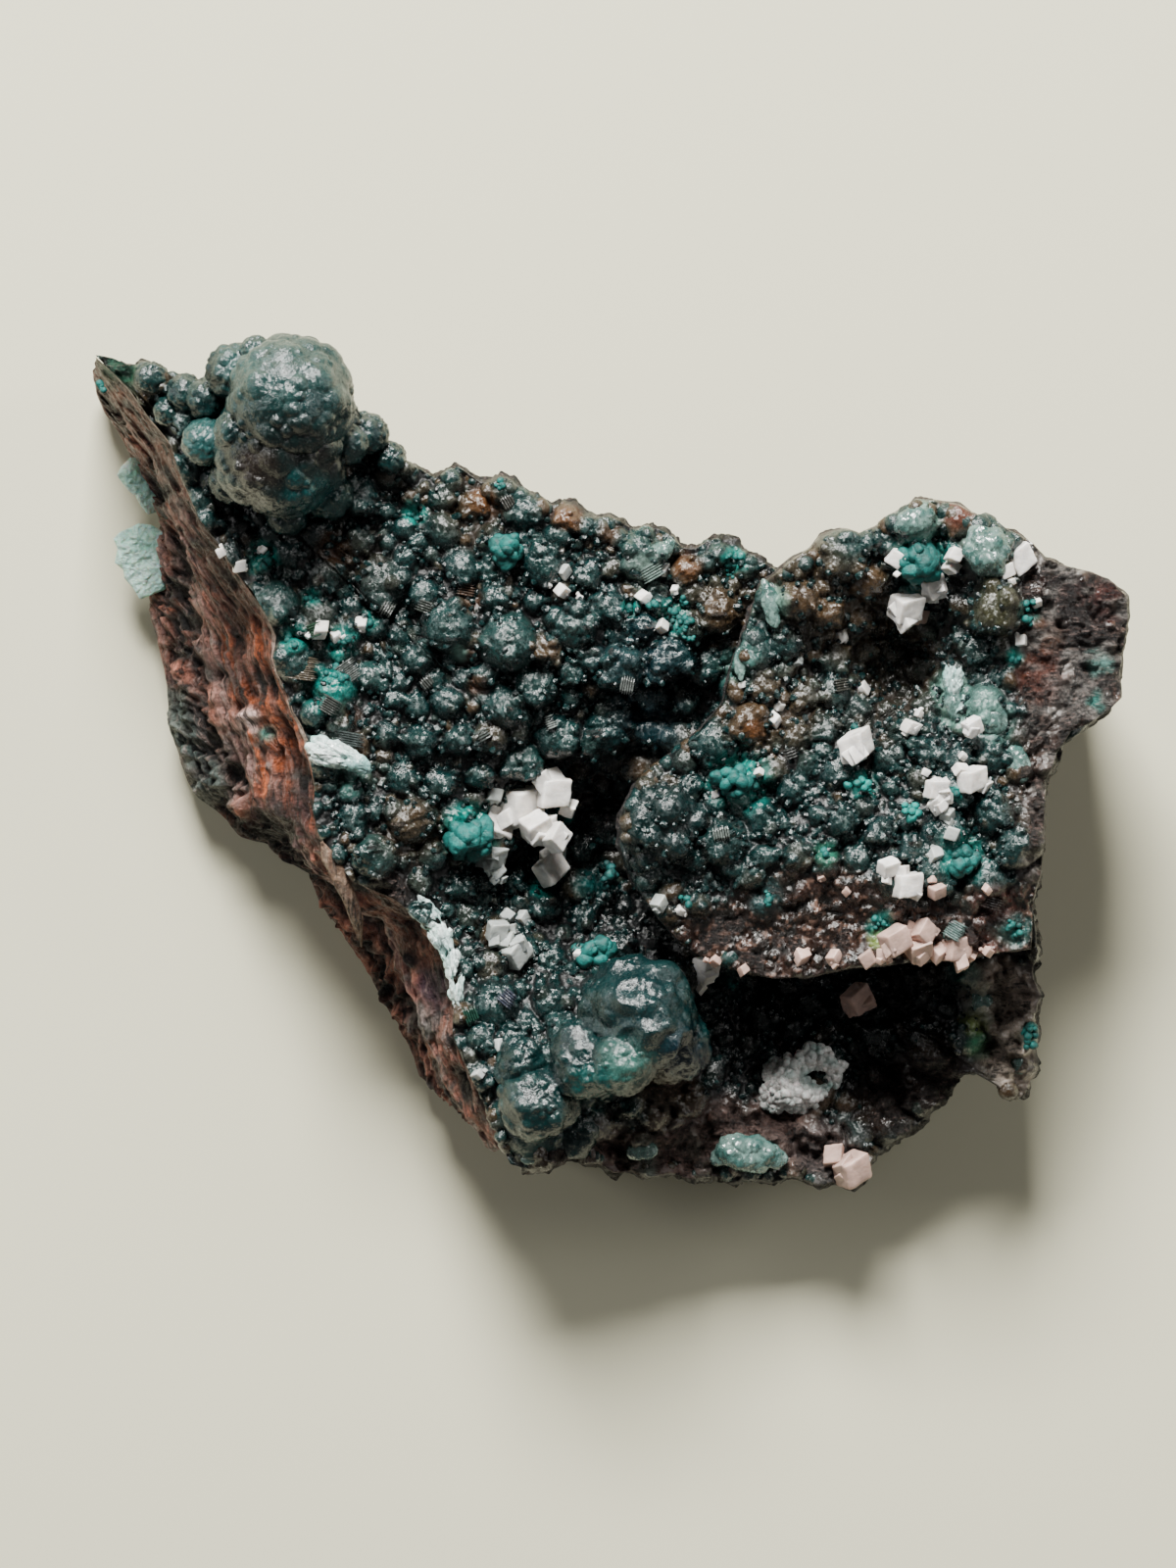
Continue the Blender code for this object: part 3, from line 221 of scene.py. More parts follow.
def grain(x, y, z, size, seed=0):
    """Smooth noise from -1 to 1: random numbers on a cubic lattice, blended by a smooth step."""
    place = np.stack(np.broadcast_arrays(x, y, z)).astype(float) / size
    low = np.floor(place).astype(np.int64)
    part = place - low
    part = part * part * (3.0 - 2.0 * part)
    total = np.zeros(part.shape[1:])
    for corner in np.ndindex(2, 2, 2):
        key = ((low[0] + corner[0]) * 73856093 ^ (low[1] + corner[1]) * 19349663
               ^ (low[2] + corner[2]) * 83492791 ^ (seed + 1) * 40503)
        key = ((key ^ (key >> 13)) * 1274126177) & 0x7FFFFFFF
        key = ((key ^ (key >> 15)) * 668265263) & 0x7FFFFFFF
        weight = np.ones(part.shape[1:])
        for axis in range(3):
            weight = weight * (part[axis] if corner[axis] else 1.0 - part[axis])
        total += weight * (key / 0x3FFFFFFF - 1.0)
    return total


def grid_faces(rows, columns, closed=False):
    """Quads over a grid of points, four point numbers each, joined round the rows if closed."""
    row = np.arange(rows - 1)[:, None]
    column = np.arange(columns if closed else columns - 1)[None, :]
    after = (column + 1) % columns
    corners = (row * columns + column, row * columns + after,
               (row + 1) * columns + after, (row + 1) * columns + column)
    return np.stack(corners, -1).reshape(-1, 4)


def piece(name, points, faces, material, tint=None, smooth=True, weave=None, rocky=None):
    """Mesh object from points in mm and arrays of faces, with its colours on the points (a fourth
    value of a colour is its gloss). Rocky faces get the rock's finish, not the piece's own."""
    points = np.asarray(points, float).reshape(-1, 3)
    groups = faces if isinstance(faces, list) else [faces]
    loops = np.concatenate([group.reshape(-1) for group in groups]).astype(np.int32)
    sizes = np.concatenate([np.full(len(group), group.shape[1]) for group in groups])
    mesh = bpy.data.meshes.new(name)
    mesh.vertices.add(len(points))
    mesh.vertices.foreach_set("co", (points * MM).ravel())
    mesh.loops.add(len(loops))
    mesh.loops.foreach_set("vertex_index", loops)
    mesh.polygons.add(len(sizes))
    starts = np.concatenate(([0], np.cumsum(sizes)[:-1])).astype(np.int32)
    mesh.polygons.foreach_set("loop_start", starts)
    mesh.polygons.foreach_set("use_smooth", np.full(len(sizes), smooth))
    mesh.update(calc_edges=True)
    mesh.validate()
    if tint is not None:
        tint = np.asarray(tint)
        colours = np.ones((len(points), 4))
        colours[:, :tint.shape[-1]] = tint.reshape(-1, tint.shape[-1])
        layer = mesh.attributes.new("tint", "FLOAT_COLOR", "POINT")
        layer.data.foreach_set("color", colours.ravel())
    if weave is not None:
        layer = mesh.attributes.new("weave", "FLOAT_VECTOR", "POINT")
        layer.data.foreach_set("vector", np.asarray(weave, float).ravel())
    thing = bpy.data.objects.new(name, mesh)
    bpy.context.scene.collection.objects.link(thing)
    mesh.materials.append(material)
    if rocky is not None:
        mesh.materials.append(ROCK)
        mesh.polygons.foreach_set("material_index", np.asarray(rocky).astype(np.int32))
    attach(thing, "root")
    return thing


def blend(first, second, share):
    """Colours between two colours (or arrays of colours) by a share for each point."""
    share = np.clip(share, 0.0, 1.0)[..., None]
    first, second = np.asarray(first), np.asarray(second)
    mixed = first[..., :3] * (1.0 - share) + second[..., :3] * share
    return np.concatenate((mixed, first[..., 3:]), -1) if first.shape[-1] == 4 else mixed


def stained(colours, x, y, stains):
    """Lay soft round stains of colour over the points: (x, y, radius, colour, strength)."""
    for stain_x, stain_y, radius, colour, strength in stains:
        away = np.hypot(x - stain_x, y - stain_y) / radius
        away = away + 0.25 * grain(x, y, 0.0, 0.5 * radius + 0.2, 5)
        colours = blend(colours, colour, strength * np.clip(1.6 - 1.2 * away, 0.0, 1.0))
    return colours


def facet_group():
    """Shader group: a normal that is tilted by a random amount in each crystal-sized cell."""
    group = bpy.data.node_groups.new("crystal facets", "ShaderNodeTree")
    face = group.interface
    face.new_socket("Size", in_out="INPUT", socket_type="NodeSocketFloat").default_value = 4000.0
    face.new_socket("Tilt", in_out="INPUT", socket_type="NodeSocketFloat").default_value = 0.3
    face.new_socket("Normal", in_out="INPUT", socket_type="NodeSocketVector").hide_value = True
    face.new_socket("Normal", in_out="OUTPUT", socket_type="NodeSocketVector")
    face.new_socket("Chance", in_out="OUTPUT", socket_type="NodeSocketFloat")
    given = group.nodes.new("NodeGroupInput")
    place = node(group, "ShaderNodeTexCoord")
    cells = node(group, "ShaderNodeTexVoronoi",
                 {"Vector": place.outputs["Object"], "Scale": given.outputs["Size"]})
    centred = node(group, "ShaderNodeVectorMath",
                   {0: cells.outputs["Color"], 1: (0.5, 0.5, 0.5)}, operation="SUBTRACT")
    tilted = node(group, "ShaderNodeVectorMath",
                  {0: centred.outputs[0], "Scale": given.outputs["Tilt"]}, operation="SCALE")
    added = node(group, "ShaderNodeVectorMath",
                 {0: tilted.outputs[0], 1: given.outputs["Normal"]}, operation="ADD")
    unit = node(group, "ShaderNodeVectorMath", {0: added.outputs[0]}, operation="NORMALIZE")
    split = node(group, "ShaderNodeSeparateColor", {0: cells.outputs["Color"]})
    out = group.nodes.new("NodeGroupOutput")
    group.links.new(unit.outputs[0], out.inputs["Normal"])
    group.links.new(split.outputs[1], out.inputs["Chance"])
    return group


FACETS = facet_group()


def mottle_group():
    """Shader group: a colour made lighter and darker by noise of two sizes."""
    group = bpy.data.node_groups.new("mottle", "ShaderNodeTree")
    face = group.interface
    face.new_socket("Color", in_out="INPUT", socket_type="NodeSocketColor")
    face.new_socket("Size", in_out="INPUT", socket_type="NodeSocketFloat").default_value = 900.0
    face.new_socket("Depth", in_out="INPUT", socket_type="NodeSocketFloat").default_value = 0.5
    face.new_socket("Color", in_out="OUTPUT", socket_type="NodeSocketColor")
    face.new_socket("Value", in_out="OUTPUT", socket_type="NodeSocketFloat")
    given = group.nodes.new("NodeGroupInput")
    place = node(group, "ShaderNodeTexCoord")
    clouds = node(group, "ShaderNodeTexNoise", {
        "Vector": place.outputs["Object"], "Scale": given.outputs["Size"], "Detail": 5.0,
        "Roughness": 0.65})
    spread = node(group, "ShaderNodeMapRange", {
        "Value": clouds.outputs[0], "From Min": 0.3, "From Max": 0.7, "To Min": -1.0,
        "To Max": 1.0})
    depth = node(group, "ShaderNodeMath", {0: spread.outputs[0], 1: given.outputs["Depth"]},
                 operation="MULTIPLY")
    factor = node(group, "ShaderNodeMath", {0: depth.outputs[0], 1: 1.0}, operation="ADD")
    scaled = node(group, "ShaderNodeVectorMath",
                  {0: given.outputs["Color"], "Scale": factor.outputs[0]}, operation="SCALE")
    out = group.nodes.new("NodeGroupOutput")
    group.links.new(scaled.outputs[0], out.inputs["Color"])
    group.links.new(clouds.outputs[0], out.inputs["Value"])
    return group


MOTTLE = mottle_group()


def use_group(tree, group, inputs):
    """Place a shader group in a material, with values or sockets for its inputs."""
    made = tree.nodes.new("ShaderNodeGroup")
    made.node_tree = group
    for socket, value in inputs.items():
        if isinstance(value, bpy.types.NodeSocket):
            tree.links.new(value, made.inputs[socket])
        else:
            made.inputs[socket].default_value = value
    return made


def rock_finish():
    """Dull broken rock: point colours under grey-pink threads that follow the layers, dark holes,
    a thready and grainy bump, and a few glossy grains."""
    material, tree, shader = plain_material("gossan")
    tint = node(tree, "ShaderNodeAttribute", attribute_name="tint")
    weave = node(tree, "ShaderNodeAttribute", attribute_name="weave")
    place = node(tree, "ShaderNodeTexCoord")
    mottle = use_group(tree, MOTTLE, {"Color": tint.outputs["Color"], "Size": 1500.0,
                                      "Depth": 0.6})
    threads = node(tree, "ShaderNodeTexNoise", {"Vector": weave.outputs["Vector"], "Scale": 3.4,
                                                "Detail": 6.0, "Roughness": 0.75})
    gaps = node(tree, "ShaderNodeMapRange", {"Value": threads.outputs[0], "From Min": 0.40,
                                             "From Max": 0.50, "To Min": 0.13})
    layered = node(tree, "ShaderNodeVectorMath", {0: mottle.outputs["Color"],
                                                  "Scale": gaps.outputs[0]}, operation="SCALE")
    share = node(tree, "ShaderNodeMapRange", {"Value": threads.outputs[0], "From Min": 0.55,
                                              "From Max": 0.66, "To Max": 0.7})
    woven = node(tree, "ShaderNodeMix", {0: share.outputs[0], 6: layered.outputs[0],
                                         7: (0.34, 0.235, 0.205, 1.0)}, data_type="RGBA")
    lumps = node(tree, "ShaderNodeTexNoise", {"Vector": place.outputs["Object"], "Scale": 700.0,
                                              "Detail": 4.0, "Roughness": 0.6})
    holes = node(tree, "ShaderNodeMapRange", {"Value": lumps.outputs[0], "From Min": 0.40,
                                              "From Max": 0.33, "To Max": 0.92})
    dark = node(tree, "ShaderNodeMix", {0: holes.outputs[0], 6: woven.outputs[2],
                                        7: (0.004, 0.0025, 0.002, 1.0)}, data_type="RGBA")
    crumbs = node(tree, "ShaderNodeTexNoise", {"Vector": place.outputs["Object"],
                                               "Scale": 4600.0, "Detail": 6.0, "Roughness": 0.7})
    relief_sum = node(tree, "ShaderNodeMath", {0: threads.outputs[0], 1: crumbs.outputs[0]},
                      operation="ADD")
    bump = node(tree, "ShaderNodeBump", {"Height": relief_sum.outputs[0], "Strength": 1.0,
                                         "Distance": 0.0005})
    facets = use_group(tree, FACETS, {"Size": 5200.0, "Tilt": 0.45,
                                      "Normal": bump.outputs["Normal"]})
    rough = node(tree, "ShaderNodeMapRange", {"Value": facets.outputs["Chance"], "To Min": 0.26,
                                              "To Max": 0.95})
    tree.links.new(dark.outputs[2], shader.inputs["Base Color"])
    tree.links.new(rough.outputs[0], shader.inputs["Roughness"])
    tree.links.new(facets.outputs["Normal"], shader.inputs["Normal"])
    return material


ROCK = rock_finish()
RED = (0.072, 0.014, 0.0065)
ORANGE = (0.25, 0.058, 0.018)
RED_BROWN = (0.19, 0.070, 0.046)
DARK_BROWN = (0.008, 0.004, 0.0035)
GREY_PINK = (0.15, 0.085, 0.072)
SPECKLED_GREY = (0.08, 0.075, 0.07)
GREY_GREEN = (0.05, 0.075, 0.066)
MALACHITE = (0.01, 0.11, 0.06)
TURQUOISE = (0.0005, 0.20, 0.165)
WALL_STAINS = (
    (-33.6, 27.8, 1.3, MALACHITE, 0.8), (-34.3, 26.3, 0.5, TURQUOISE, 1.0),
    (-31.0, 21.3, 0.8, (0.05, 0.008, 0.006), 0.8), (-30.5, 19.0, 0.8, DARK_BROWN, 1.0),
    (-29.9, 11.3, 0.6, ORANGE, 1.0), (-24.4, 3.3, 0.8, (0.5, 0.36, 0.33), 0.9),
    (-23.1, 2.3, 0.6, TURQUOISE, 0.7), (-30.6, 4.4, 1.7, GREY_GREEN, 0.9),
    (-29.4, 2.4, 1.6, GREY_GREEN, 0.9), (-28.2, 0.4, 1.7, GREY_GREEN, 0.9),
    (-27.3, -1.6, 1.5, GREY_GREEN, 0.9), (-28.4, -2.4, 1.2, GREY_GREEN, 0.8),
    (-21.0, -3.5, 1.5, (0.05, 0.012, 0.01), 0.8), (-23.2, -4.6, 2.2, DARK_BROWN, 0.9),
    (-33.0, 12.9, 0.5, (0.35, 0.25, 0.04), 0.8), (-11.5, -15.5, 1.5, (0.02, 0.01, 0.02), 0.9),
    (-12.5, -17.8, 1.2, (0.09, 0.09, 0.085), 0.7),
    (35.0, 12.0, 1.6, (0.045, 0.01, 0.008), 0.8), (32.6, 5.0, 1.6, (0.22, 0.22, 0.21), 0.8),
    (34.0, 7.2, 0.8, (0.16, 0.34, 0.30), 0.8), (34.0, 4.4, 0.6, TURQUOISE, 0.8),
    (30.2, -18.8, 0.9, TURQUOISE, 0.8), (29.6, -21.3, 0.7, (0.2, 0.36, 0.33), 0.8),
)


def wall_lines(stations, columns):
    """Rim and back edge with even steps along them: straight between the stations."""
    table = np.array(stations)
    middle = 0.5 * (table[:, :2] + table[:, 2:])
    along = np.concatenate(([0.0], np.cumsum(np.hypot(*np.diff(middle, axis=0).T))))
    step = np.linspace(0.0, along[-1], columns)
    return np.stack([np.interp(step, along, table[:, axis]) for axis in range(4)], -1), step


def rock_wall(name, stations, columns, slope, rise, tuck, west):
    """Wall from the back up to the rim. Across: the slope's curve between the back edge and the
    rim. Along: the stations. Pushed out and in by long fibres, lumps, grains and pits."""
    lines, along = wall_lines(stations, columns)
    rim, back = lines[:, :2], lines[:, 2:]
    rim_z = relief(ROCK_SPOTS, rim[:, 0], rim[:, 1]) + rise
    inside_way = np.array([0.0, -2.0]) - rim
    rim = rim + inside_way / np.linalg.norm(inside_way, axis=1)[:, None] * tuck
    foot_rows = 10
    down = np.concatenate((np.full(foot_rows, 1.0), np.linspace(1.0, 0.0, WALL_ROWS)))
    under = np.concatenate((np.linspace(1.0, 0.12, foot_rows), np.zeros(WALL_ROWS)))
    out = np.interp(down, *np.array(slope).T)[:, None, None]
    place = rim[None] * (1.0 - out) + back[None] * out
    ring = np.hypot(*(rim - back).T)[None] + 6.0
    height = BACK_EDGE_Z + (rim_z[None] - BACK_EDGE_Z) * (1.0 - down[:, None])
    outward = back - np.array([0.0, -2.0])
    outward = outward / np.linalg.norm(outward, axis=1)[:, None]
    place = place - outward[None] * (BASE_INSET * under ** 2)[:, None, None]
    height = height * (1.0 - under[:, None])
    across = down[:, None] * ring
    run = along[None] + 0.0 * across
    fibre = grain(run / 6.0, across, 0.0, 0.55, 2) * 0.28 + grain(run / 3.0, across, 9.0, 0.3, 3) * 0.14
    lump = grain(run, across, 3.0, 2.4, 4) * 0.55 + grain(run, across, 5.0, 1.1, 6) * 0.22
    crumb = grain(run, across, 0.0, 0.42, 7) * 0.12
    share = down[:, None] + 0.07 * grain(run, 0.0, 0.0, 5.0, 17)
    low_half = np.clip((share - 0.58) / 0.08, 0.0, 1.0)
    ridge = np.exp(-((share - 0.48) / 0.13) ** 2)
    if west:
        crumb = crumb * (1.0 + 2.6 * low_half)
        lump = lump * (1.0 + 0.5 * low_half) + 0.6 * ridge - 0.25 * low_half
    else:
        fibre = 1.7 * fibre + 0.4 * grain(run / 9.0, across, 4.0, 1.1, 18)
        crumb = 1.6 * crumb
    ends = np.clip(np.minimum(run, along[-1] - run) / 1.5, 0.0, 1.0)
    rims = np.clip((1.0 - abs(2.0 * np.clip(down, 0.0, 1.0)[:, None] - 1.0)) * 6.0, 0.12, 1.0)
    push = (fibre + lump + crumb) * ends * rims * (1.0 - under[:, None])
    pits = np.random.default_rng(int(columns))
    for _ in range(70):
        middle_run, middle_across = pits.uniform(0, along[-1]), pits.uniform(1.0, 14.0)
        long_reach, reach = pits.uniform(0.5, 1.8), pits.uniform(0.2, 0.6)
        away = ((run - middle_run) / long_reach) ** 2 + ((across - middle_across) / reach) ** 2
        push = push - pits.uniform(0.3, 1.0) * reach * np.exp(-1.5 * away)
    for x, y, radius, depth in WALL_PITS:
        away = np.hypot(place[..., 0] - x, place[..., 1] - y) / radius
        push = push - depth * np.exp(-2.0 * away ** 2)
    place = place + outward[None] * push[..., None]
    height = height + push * 0.7 * (1.0 - under[:, None])
    points = np.concatenate((place, np.maximum(height, 0.0)[..., None]), -1)
    x, y = points[..., 0], points[..., 1]
    streak = grain(run / 7.0, across, 1.0, 0.42, 8)
    warm = RED_BROWN if west else RED
    colours = blend(warm, DARK_BROWN, 0.42 + 1.3 * grain(run, across, 2.0, 1.3, 9))
    if west:
        pink = 1.1 * np.maximum(ridge, 0.8 * np.clip((y - 10.0) / 4.0, 0.0, 1.0)) - 0.35
        band = np.clip((0.46 - share) / 0.1, 0.0, 1.0) * np.clip((8.0 - abs(y - 2.5)) / 3.0, 0.0, 1.0)
        band = 1.5 * band * (0.5 + 1.3 * grain(run / 5.0, across, 2.0, 0.5, 12))
        kept = np.clip(1.2 - 2.5 * down[:, None], 0.0, 1.0) ** (y > 25.0)
    else:
        colours = 0.7 * colours
        pink, band, kept = -0.45, 0.0 * run, np.clip(1.2 - 4.0 * down[:, None], 0.0, 1.0)
    colours = blend(colours, GREY_PINK, 1.3 * streak + pink + 0.4 * grain(run, across, 2.0, 3.0, 11))
    colours = blend(colours, ORANGE, band)
    if west:
        colours = colours * (1.0 + 0.45 * low_half)[..., None]
    colours = blend(colours, SPECKLED_GREY, 1.2 * grain(run, across, 7.0, 0.5, 13) - 0.35)
    colours = blend(colours, stained(colours, x, y, WALL_STAINS), kept)
    # Painted shade and light: the colour darkens in pits and hollows pushed into the wall and brightens on the
    # parts that stand out
    colours = colours * np.clip(1.15 + 2.0 * (push + 0.05), 0.06, 2.3)[..., None]
    rim_line = (down[:, None] < 0.035) * (lines[None, :, 1] > -6.5) * (lines[None, :, 0] < -15.0)
    colours = blend(colours, (0.60, 0.45, 0.38), 0.8 * rim_line * (1.0 + grain(run, across, 0.0, 1.5, 14)))
    faces = grid_faces(*points.shape[:2])
    weave = np.stack((run / 11.0, across, 0.0 * run), -1)
    wall = piece(name, points, faces, ROCK, colours, weave=weave)
    return wall


west_wall = rock_wall("west_wall", STATIONS[:WEST_STATIONS], WEST_COLUMNS, WEST_SLOPE, 0.5, 0.1, True)
ROUND_SLOPE = ((0.0, 0.0), (0.2, 0.25), (0.5, 0.45), (0.8, 0.85), (1.0, 1.0))
round_wall = rock_wall("outer_wall", STATIONS[WEST_STATIONS - 1:] + STATIONS[:1], ROUND_COLUMNS,
                       ROUND_SLOPE, -0.4, 0.7, False)


def sheet_places(outline, centre, count):
    """Places over an outline: the rings of a square grid, each laid on the outline drawn in
    towards its centre by the ring's share. Returns x, y and that share."""
    side = np.linspace(-1.0, 1.0, count)
    across, up = np.meshgrid(side, side)
    share = np.maximum(abs(across), abs(up))
    table = np.array(outline + outline[:1], float) - centre
    fine = np.linspace(0, len(table) - 1, 40 * len(table))
    line_x = np.interp(fine, np.arange(len(table)), table[:, 0])
    line_y = np.interp(fine, np.arange(len(table)), table[:, 1])
    turns = np.arctan2(line_y, line_x)
    order = np.argsort(turns)
    turn = np.arctan2(up, across)
    reach = np.interp(turn, turns[order], np.hypot(line_x, line_y)[order], period=2.0 * np.pi)
    x = centre[0] + share * reach * np.cos(turn)
    y = centre[1] + share * reach * np.sin(turn)
    return x, y, share


foot = np.array([station[2:] for station in STATIONS])
inward = np.array([0.0, -2.0]) - foot
foot = foot + inward / np.linalg.norm(inward, axis=1)[:, None] * BASE_INSET
back_x, back_y, _ = sheet_places([tuple(spot) for spot in foot], (-3.0, 0.0), 90)
back_points = np.stack((back_x, back_y, 0.02 * (1.0 + grain(back_x, back_y, 0.0, 1.0))), -1)
back_colours = blend(RED, DARK_BROWN, 0.5 + 0.8 * grain(back_x, back_y, 0.0, 2.0, 21))
back_colours = blend(back_colours, GREY_PINK, grain(back_x / 4.0, back_y, 0.0, 0.8, 22) - 0.2)
back = piece("back", back_points, grid_faces(90, 90)[:, ::-1], ROCK, back_colours,
             weave=back_points * (0.16, 1.0, 1.0))
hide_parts("matrix")
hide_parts("matrix")
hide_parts("matrix")


# ---- Willemite crust of the field --------------------------------------------
# A layer of willemite grew over the rock as crowded botryoids: balls of radiating needles, dark
# teal inside, each coated with tiny glassy crystals that turn its crown silvery grey. The silvery
# grey on the crowns is partly painted sheen, and the gaps and hollows carry near black painted
# shade.
MAP_STEP = 0.1
MAP_WEST, MAP_SOUTH = -38.0, -31.0
MAP_COLUMNS, MAP_ROWS = 761, 621
CRUST = 1.2
FIELD_CENTRE = (-3.0, 0.0)
FIELD_COUNT = 520
FIELD_TOP_SHARE = 0.965
map_x = MAP_WEST + MAP_STEP * np.arange(MAP_COLUMNS)
map_y = MAP_SOUTH + MAP_STEP * np.arange(MAP_ROWS)
MAP_X, MAP_Y = np.meshgrid(map_x, map_y)

# Botryoids read one by one: (x, y, radius, tone), tone -1 brown, 0 plain, 1 pale and frosted
FIELD_LUMPS = (
    (-22.3, 11.2, 1.6, 0.8), (-18.9, 13.2, 1.3, 0), (-15.0, 12.8, 1.9, -0.1), (-17.3, 11.0, 0.9, 0),
    (-10.2, 19.6, 0.9, 0), (-10.8, 18.6, 1.1, 0), (-8.6, 18.0, 1.1, -0.8), (-6.8, 19.0, 1.0, 0.3),
    (-5.1, 17.5, 1.4, 0), (-2.3, 17.0, 1.1, -0.9), (-1.0, 16.6, 0.9, 0), (0.2, 16.2, 0.9, 0),
    (1.3, 15.8, 0.8, 0.2), (-10.8, 16.3, 1.4, 0.1), (-13.5, 16.5, 0.9, 0), (-3.9, 13.9, 1.5, 0.1),
    (-2.9, 15.9, 1.0, 0), (2.9, 14.6, 1.9, 0.7), (-9.5, 13.8, 1.4, 0.2), (-10.4, 9.7, 1.8, 0.5),
    (-6.3, 8.6, 2.1, 0.6), (-1.8, 9.8, 1.8, 0.4), (0.4, 11.1, 1.4, 0.1), (-0.6, 7.6, 1.2, 0),
    (1.5, 7.0, 1.8, 0.6), (4.8, 7.6, 1.8, 0.1), (7.3, 7.0, 1.5, 0), (3.0, 9.8, 1.0, 0),
    (6.0, 13.4, 1.1, -0.8), (7.2, 14.0, 0.9, 0), (6.5, 12.0, 1.1, 0), (8.2, 14.7, 0.9, 0.6),
    (10.3, 13.6, 0.9, 0), (8.4, 10.8, 1.7, -0.5), (-12.5, 7.6, 1.3, 0.2), (-13.9, 6.0, 0.8, 0),
    (-15.7, 6.3, 1.3, 0.8), (-9.5, 6.0, 0.8, 0), (-4.5, 5.7, 1.7, 0.5), (-2.0, 4.9, 0.9, 0),
    (0.9, 4.3, 1.1, 0), (0.4, 2.6, 1.9, 0.1), (-6.5, 4.2, 1.5, 0.4), (-2.9, 2.2, 1.8, 0.2),
    (-5.5, 0.4, 1.5, 0.6), (-15.5, -6.2, 1.6, 0.7), (-13.0, -3.8, 1.7, -0.3),
    (-12.2, 12.0, 1.2, 0), (-7.3, 11.6, 1.2, 0), (-4.6, 11.4, 0.9, 0.2), (-13.8, 9.4, 1.1, 0),
    (-16.6, 15.6, 1.2, 0), (-19.6, 16.2, 1.1, 0), (-21.6, 14.6, 1.0, 0.2), (-13.4, 14.4, 0.9, 0),
    (-7.6, 15.6, 1.2, 0.1), (-5.4, 15.4, 0.8, 0), (-0.8, 13.3, 1.2, 0), (0.9, 13.6, 0.9, -0.3),
    (-12.4, 1.8, 1.4, 0.1), (-9.6, 2.0, 1.3, 0.2), (-14.8, 2.2, 1.0, 0), (-7.8, 6.4, 1.0, 0),
    (-10.6, 4.4, 1.2, 0.1), (-12.7, 4.3, 1.0, 0), (-13.8, -0.8, 1.3, 0), (-11.0, -1.2, 1.2, 0),
    (-8.4, -0.6, 1.1, 0.1), (-11.6, -6.2, 1.2, 0), (-9.8, -8.4, 1.1, 0), (-12.4, -8.0, 1.0, -0.2),
    (-17.0, -3.6, 1.2, 0), (-17.4, -1.9, 0.9, 0), (3.6, 2.6, 1.2, 0), (3.4, 5.0, 1.2, 0),
    (6.0, 4.6, 1.1, 0), (4.0, 11.6, 1.1, 0), (-25.0, 16.6, 1.0, 0), (-23.4, 17.2, 0.9, 0.2),
    (-26.6, 19.6, 1.0, 0.3), (-27.5, 18.4, 0.9, 0.6), (-17.9, 3.0, 1.1, 0),
    (-4.0, -9.6, 1.4, 0), (-1.2, -10.6, 1.1, 0), (-3.5, -13.4, 1.1, 0.2), (-7.3, -16.6, 1.9, 0),
    (-3.4, -16.4, 1.4, 0), (-5.6, -9.4, 0.8, 0), (1.6, -9.9, 0.9, 0), (-1.4, -5.6, 1.2, 0),
    (-6.0, -18.8, 1.1, 0), (6.2, -23.2, 1.5, -0.6), (-0.4, -24.8, 1.4, 0.2), (3.8, -24.2, 1.2, -0.4),
)
# Random botryoids between them: (how many tries, smallest and largest radius)
FILL_ROUNDS = ((1600, 1.0, 1.7), (3000, 0.55, 1.0), (6000, 0.28, 0.55))


WARP_X = MAP_X + 0.24 * grain(MAP_X, MAP_Y, 1.0, 1.2, 25) + 0.07 * grain(MAP_X, MAP_Y, 2.0, 0.4, 26)
WARP_Y = MAP_Y + 0.24 * grain(MAP_X, MAP_Y, 3.0, 1.2, 27) + 0.07 * grain(MAP_X, MAP_Y, 4.0, 0.4, 28)


def stand_botryoids(height, crown, tone, lumps, stand=0.95):
    """Raise balls out of a height map. Each is a sphere, a little out of true, whose centre lies
    (1 - stand) radii under the map at its middle, and the map keeps the higher of the two."""
    base = height.copy()
    for x, y, radius, lump_tone in lumps:
        column = int((x - MAP_WEST) / MAP_STEP)
        row = int((y - MAP_SOUTH) / MAP_STEP)
        reach = int(radius / MAP_STEP) + 1
        if not (reach < column < MAP_COLUMNS - reach and reach < row < MAP_ROWS - reach):
            continue
        window = (slice(row - reach, row + reach + 1), slice(column - reach, column + reach + 1))
        square = ((WARP_X[window] - x) ** 2 + (WARP_Y[window] - y) ** 2) / radius ** 2
        dome = np.sqrt(np.maximum(1.0 - square, 0.0))
        level = base[row, column] + radius * (dome - 1.0 + stand)
        wins = (square < 1.0) & (level > height[window])
        height[window] = np.where(wins, level, height[window])
        crown[window] = np.where(wins, dome ** 2, crown[window])
        tone[window] = np.where(wins, lump_tone, tone[window])


def inside(outline, x, y):
    """Whether each point lies inside a closed outline, by counting the sides it passes."""
    crossed = np.zeros(np.shape(x), bool)
    for (from_x, from_y), (to_x, to_y) in zip(outline, outline[1:] + outline[:1]):
        passes = (from_y > y) != (to_y > y)
        run = (to_y - from_y) or 1e-9
        crossed ^= passes & (x < from_x + (y - from_y) * (to_x - from_x) / run)
    return crossed


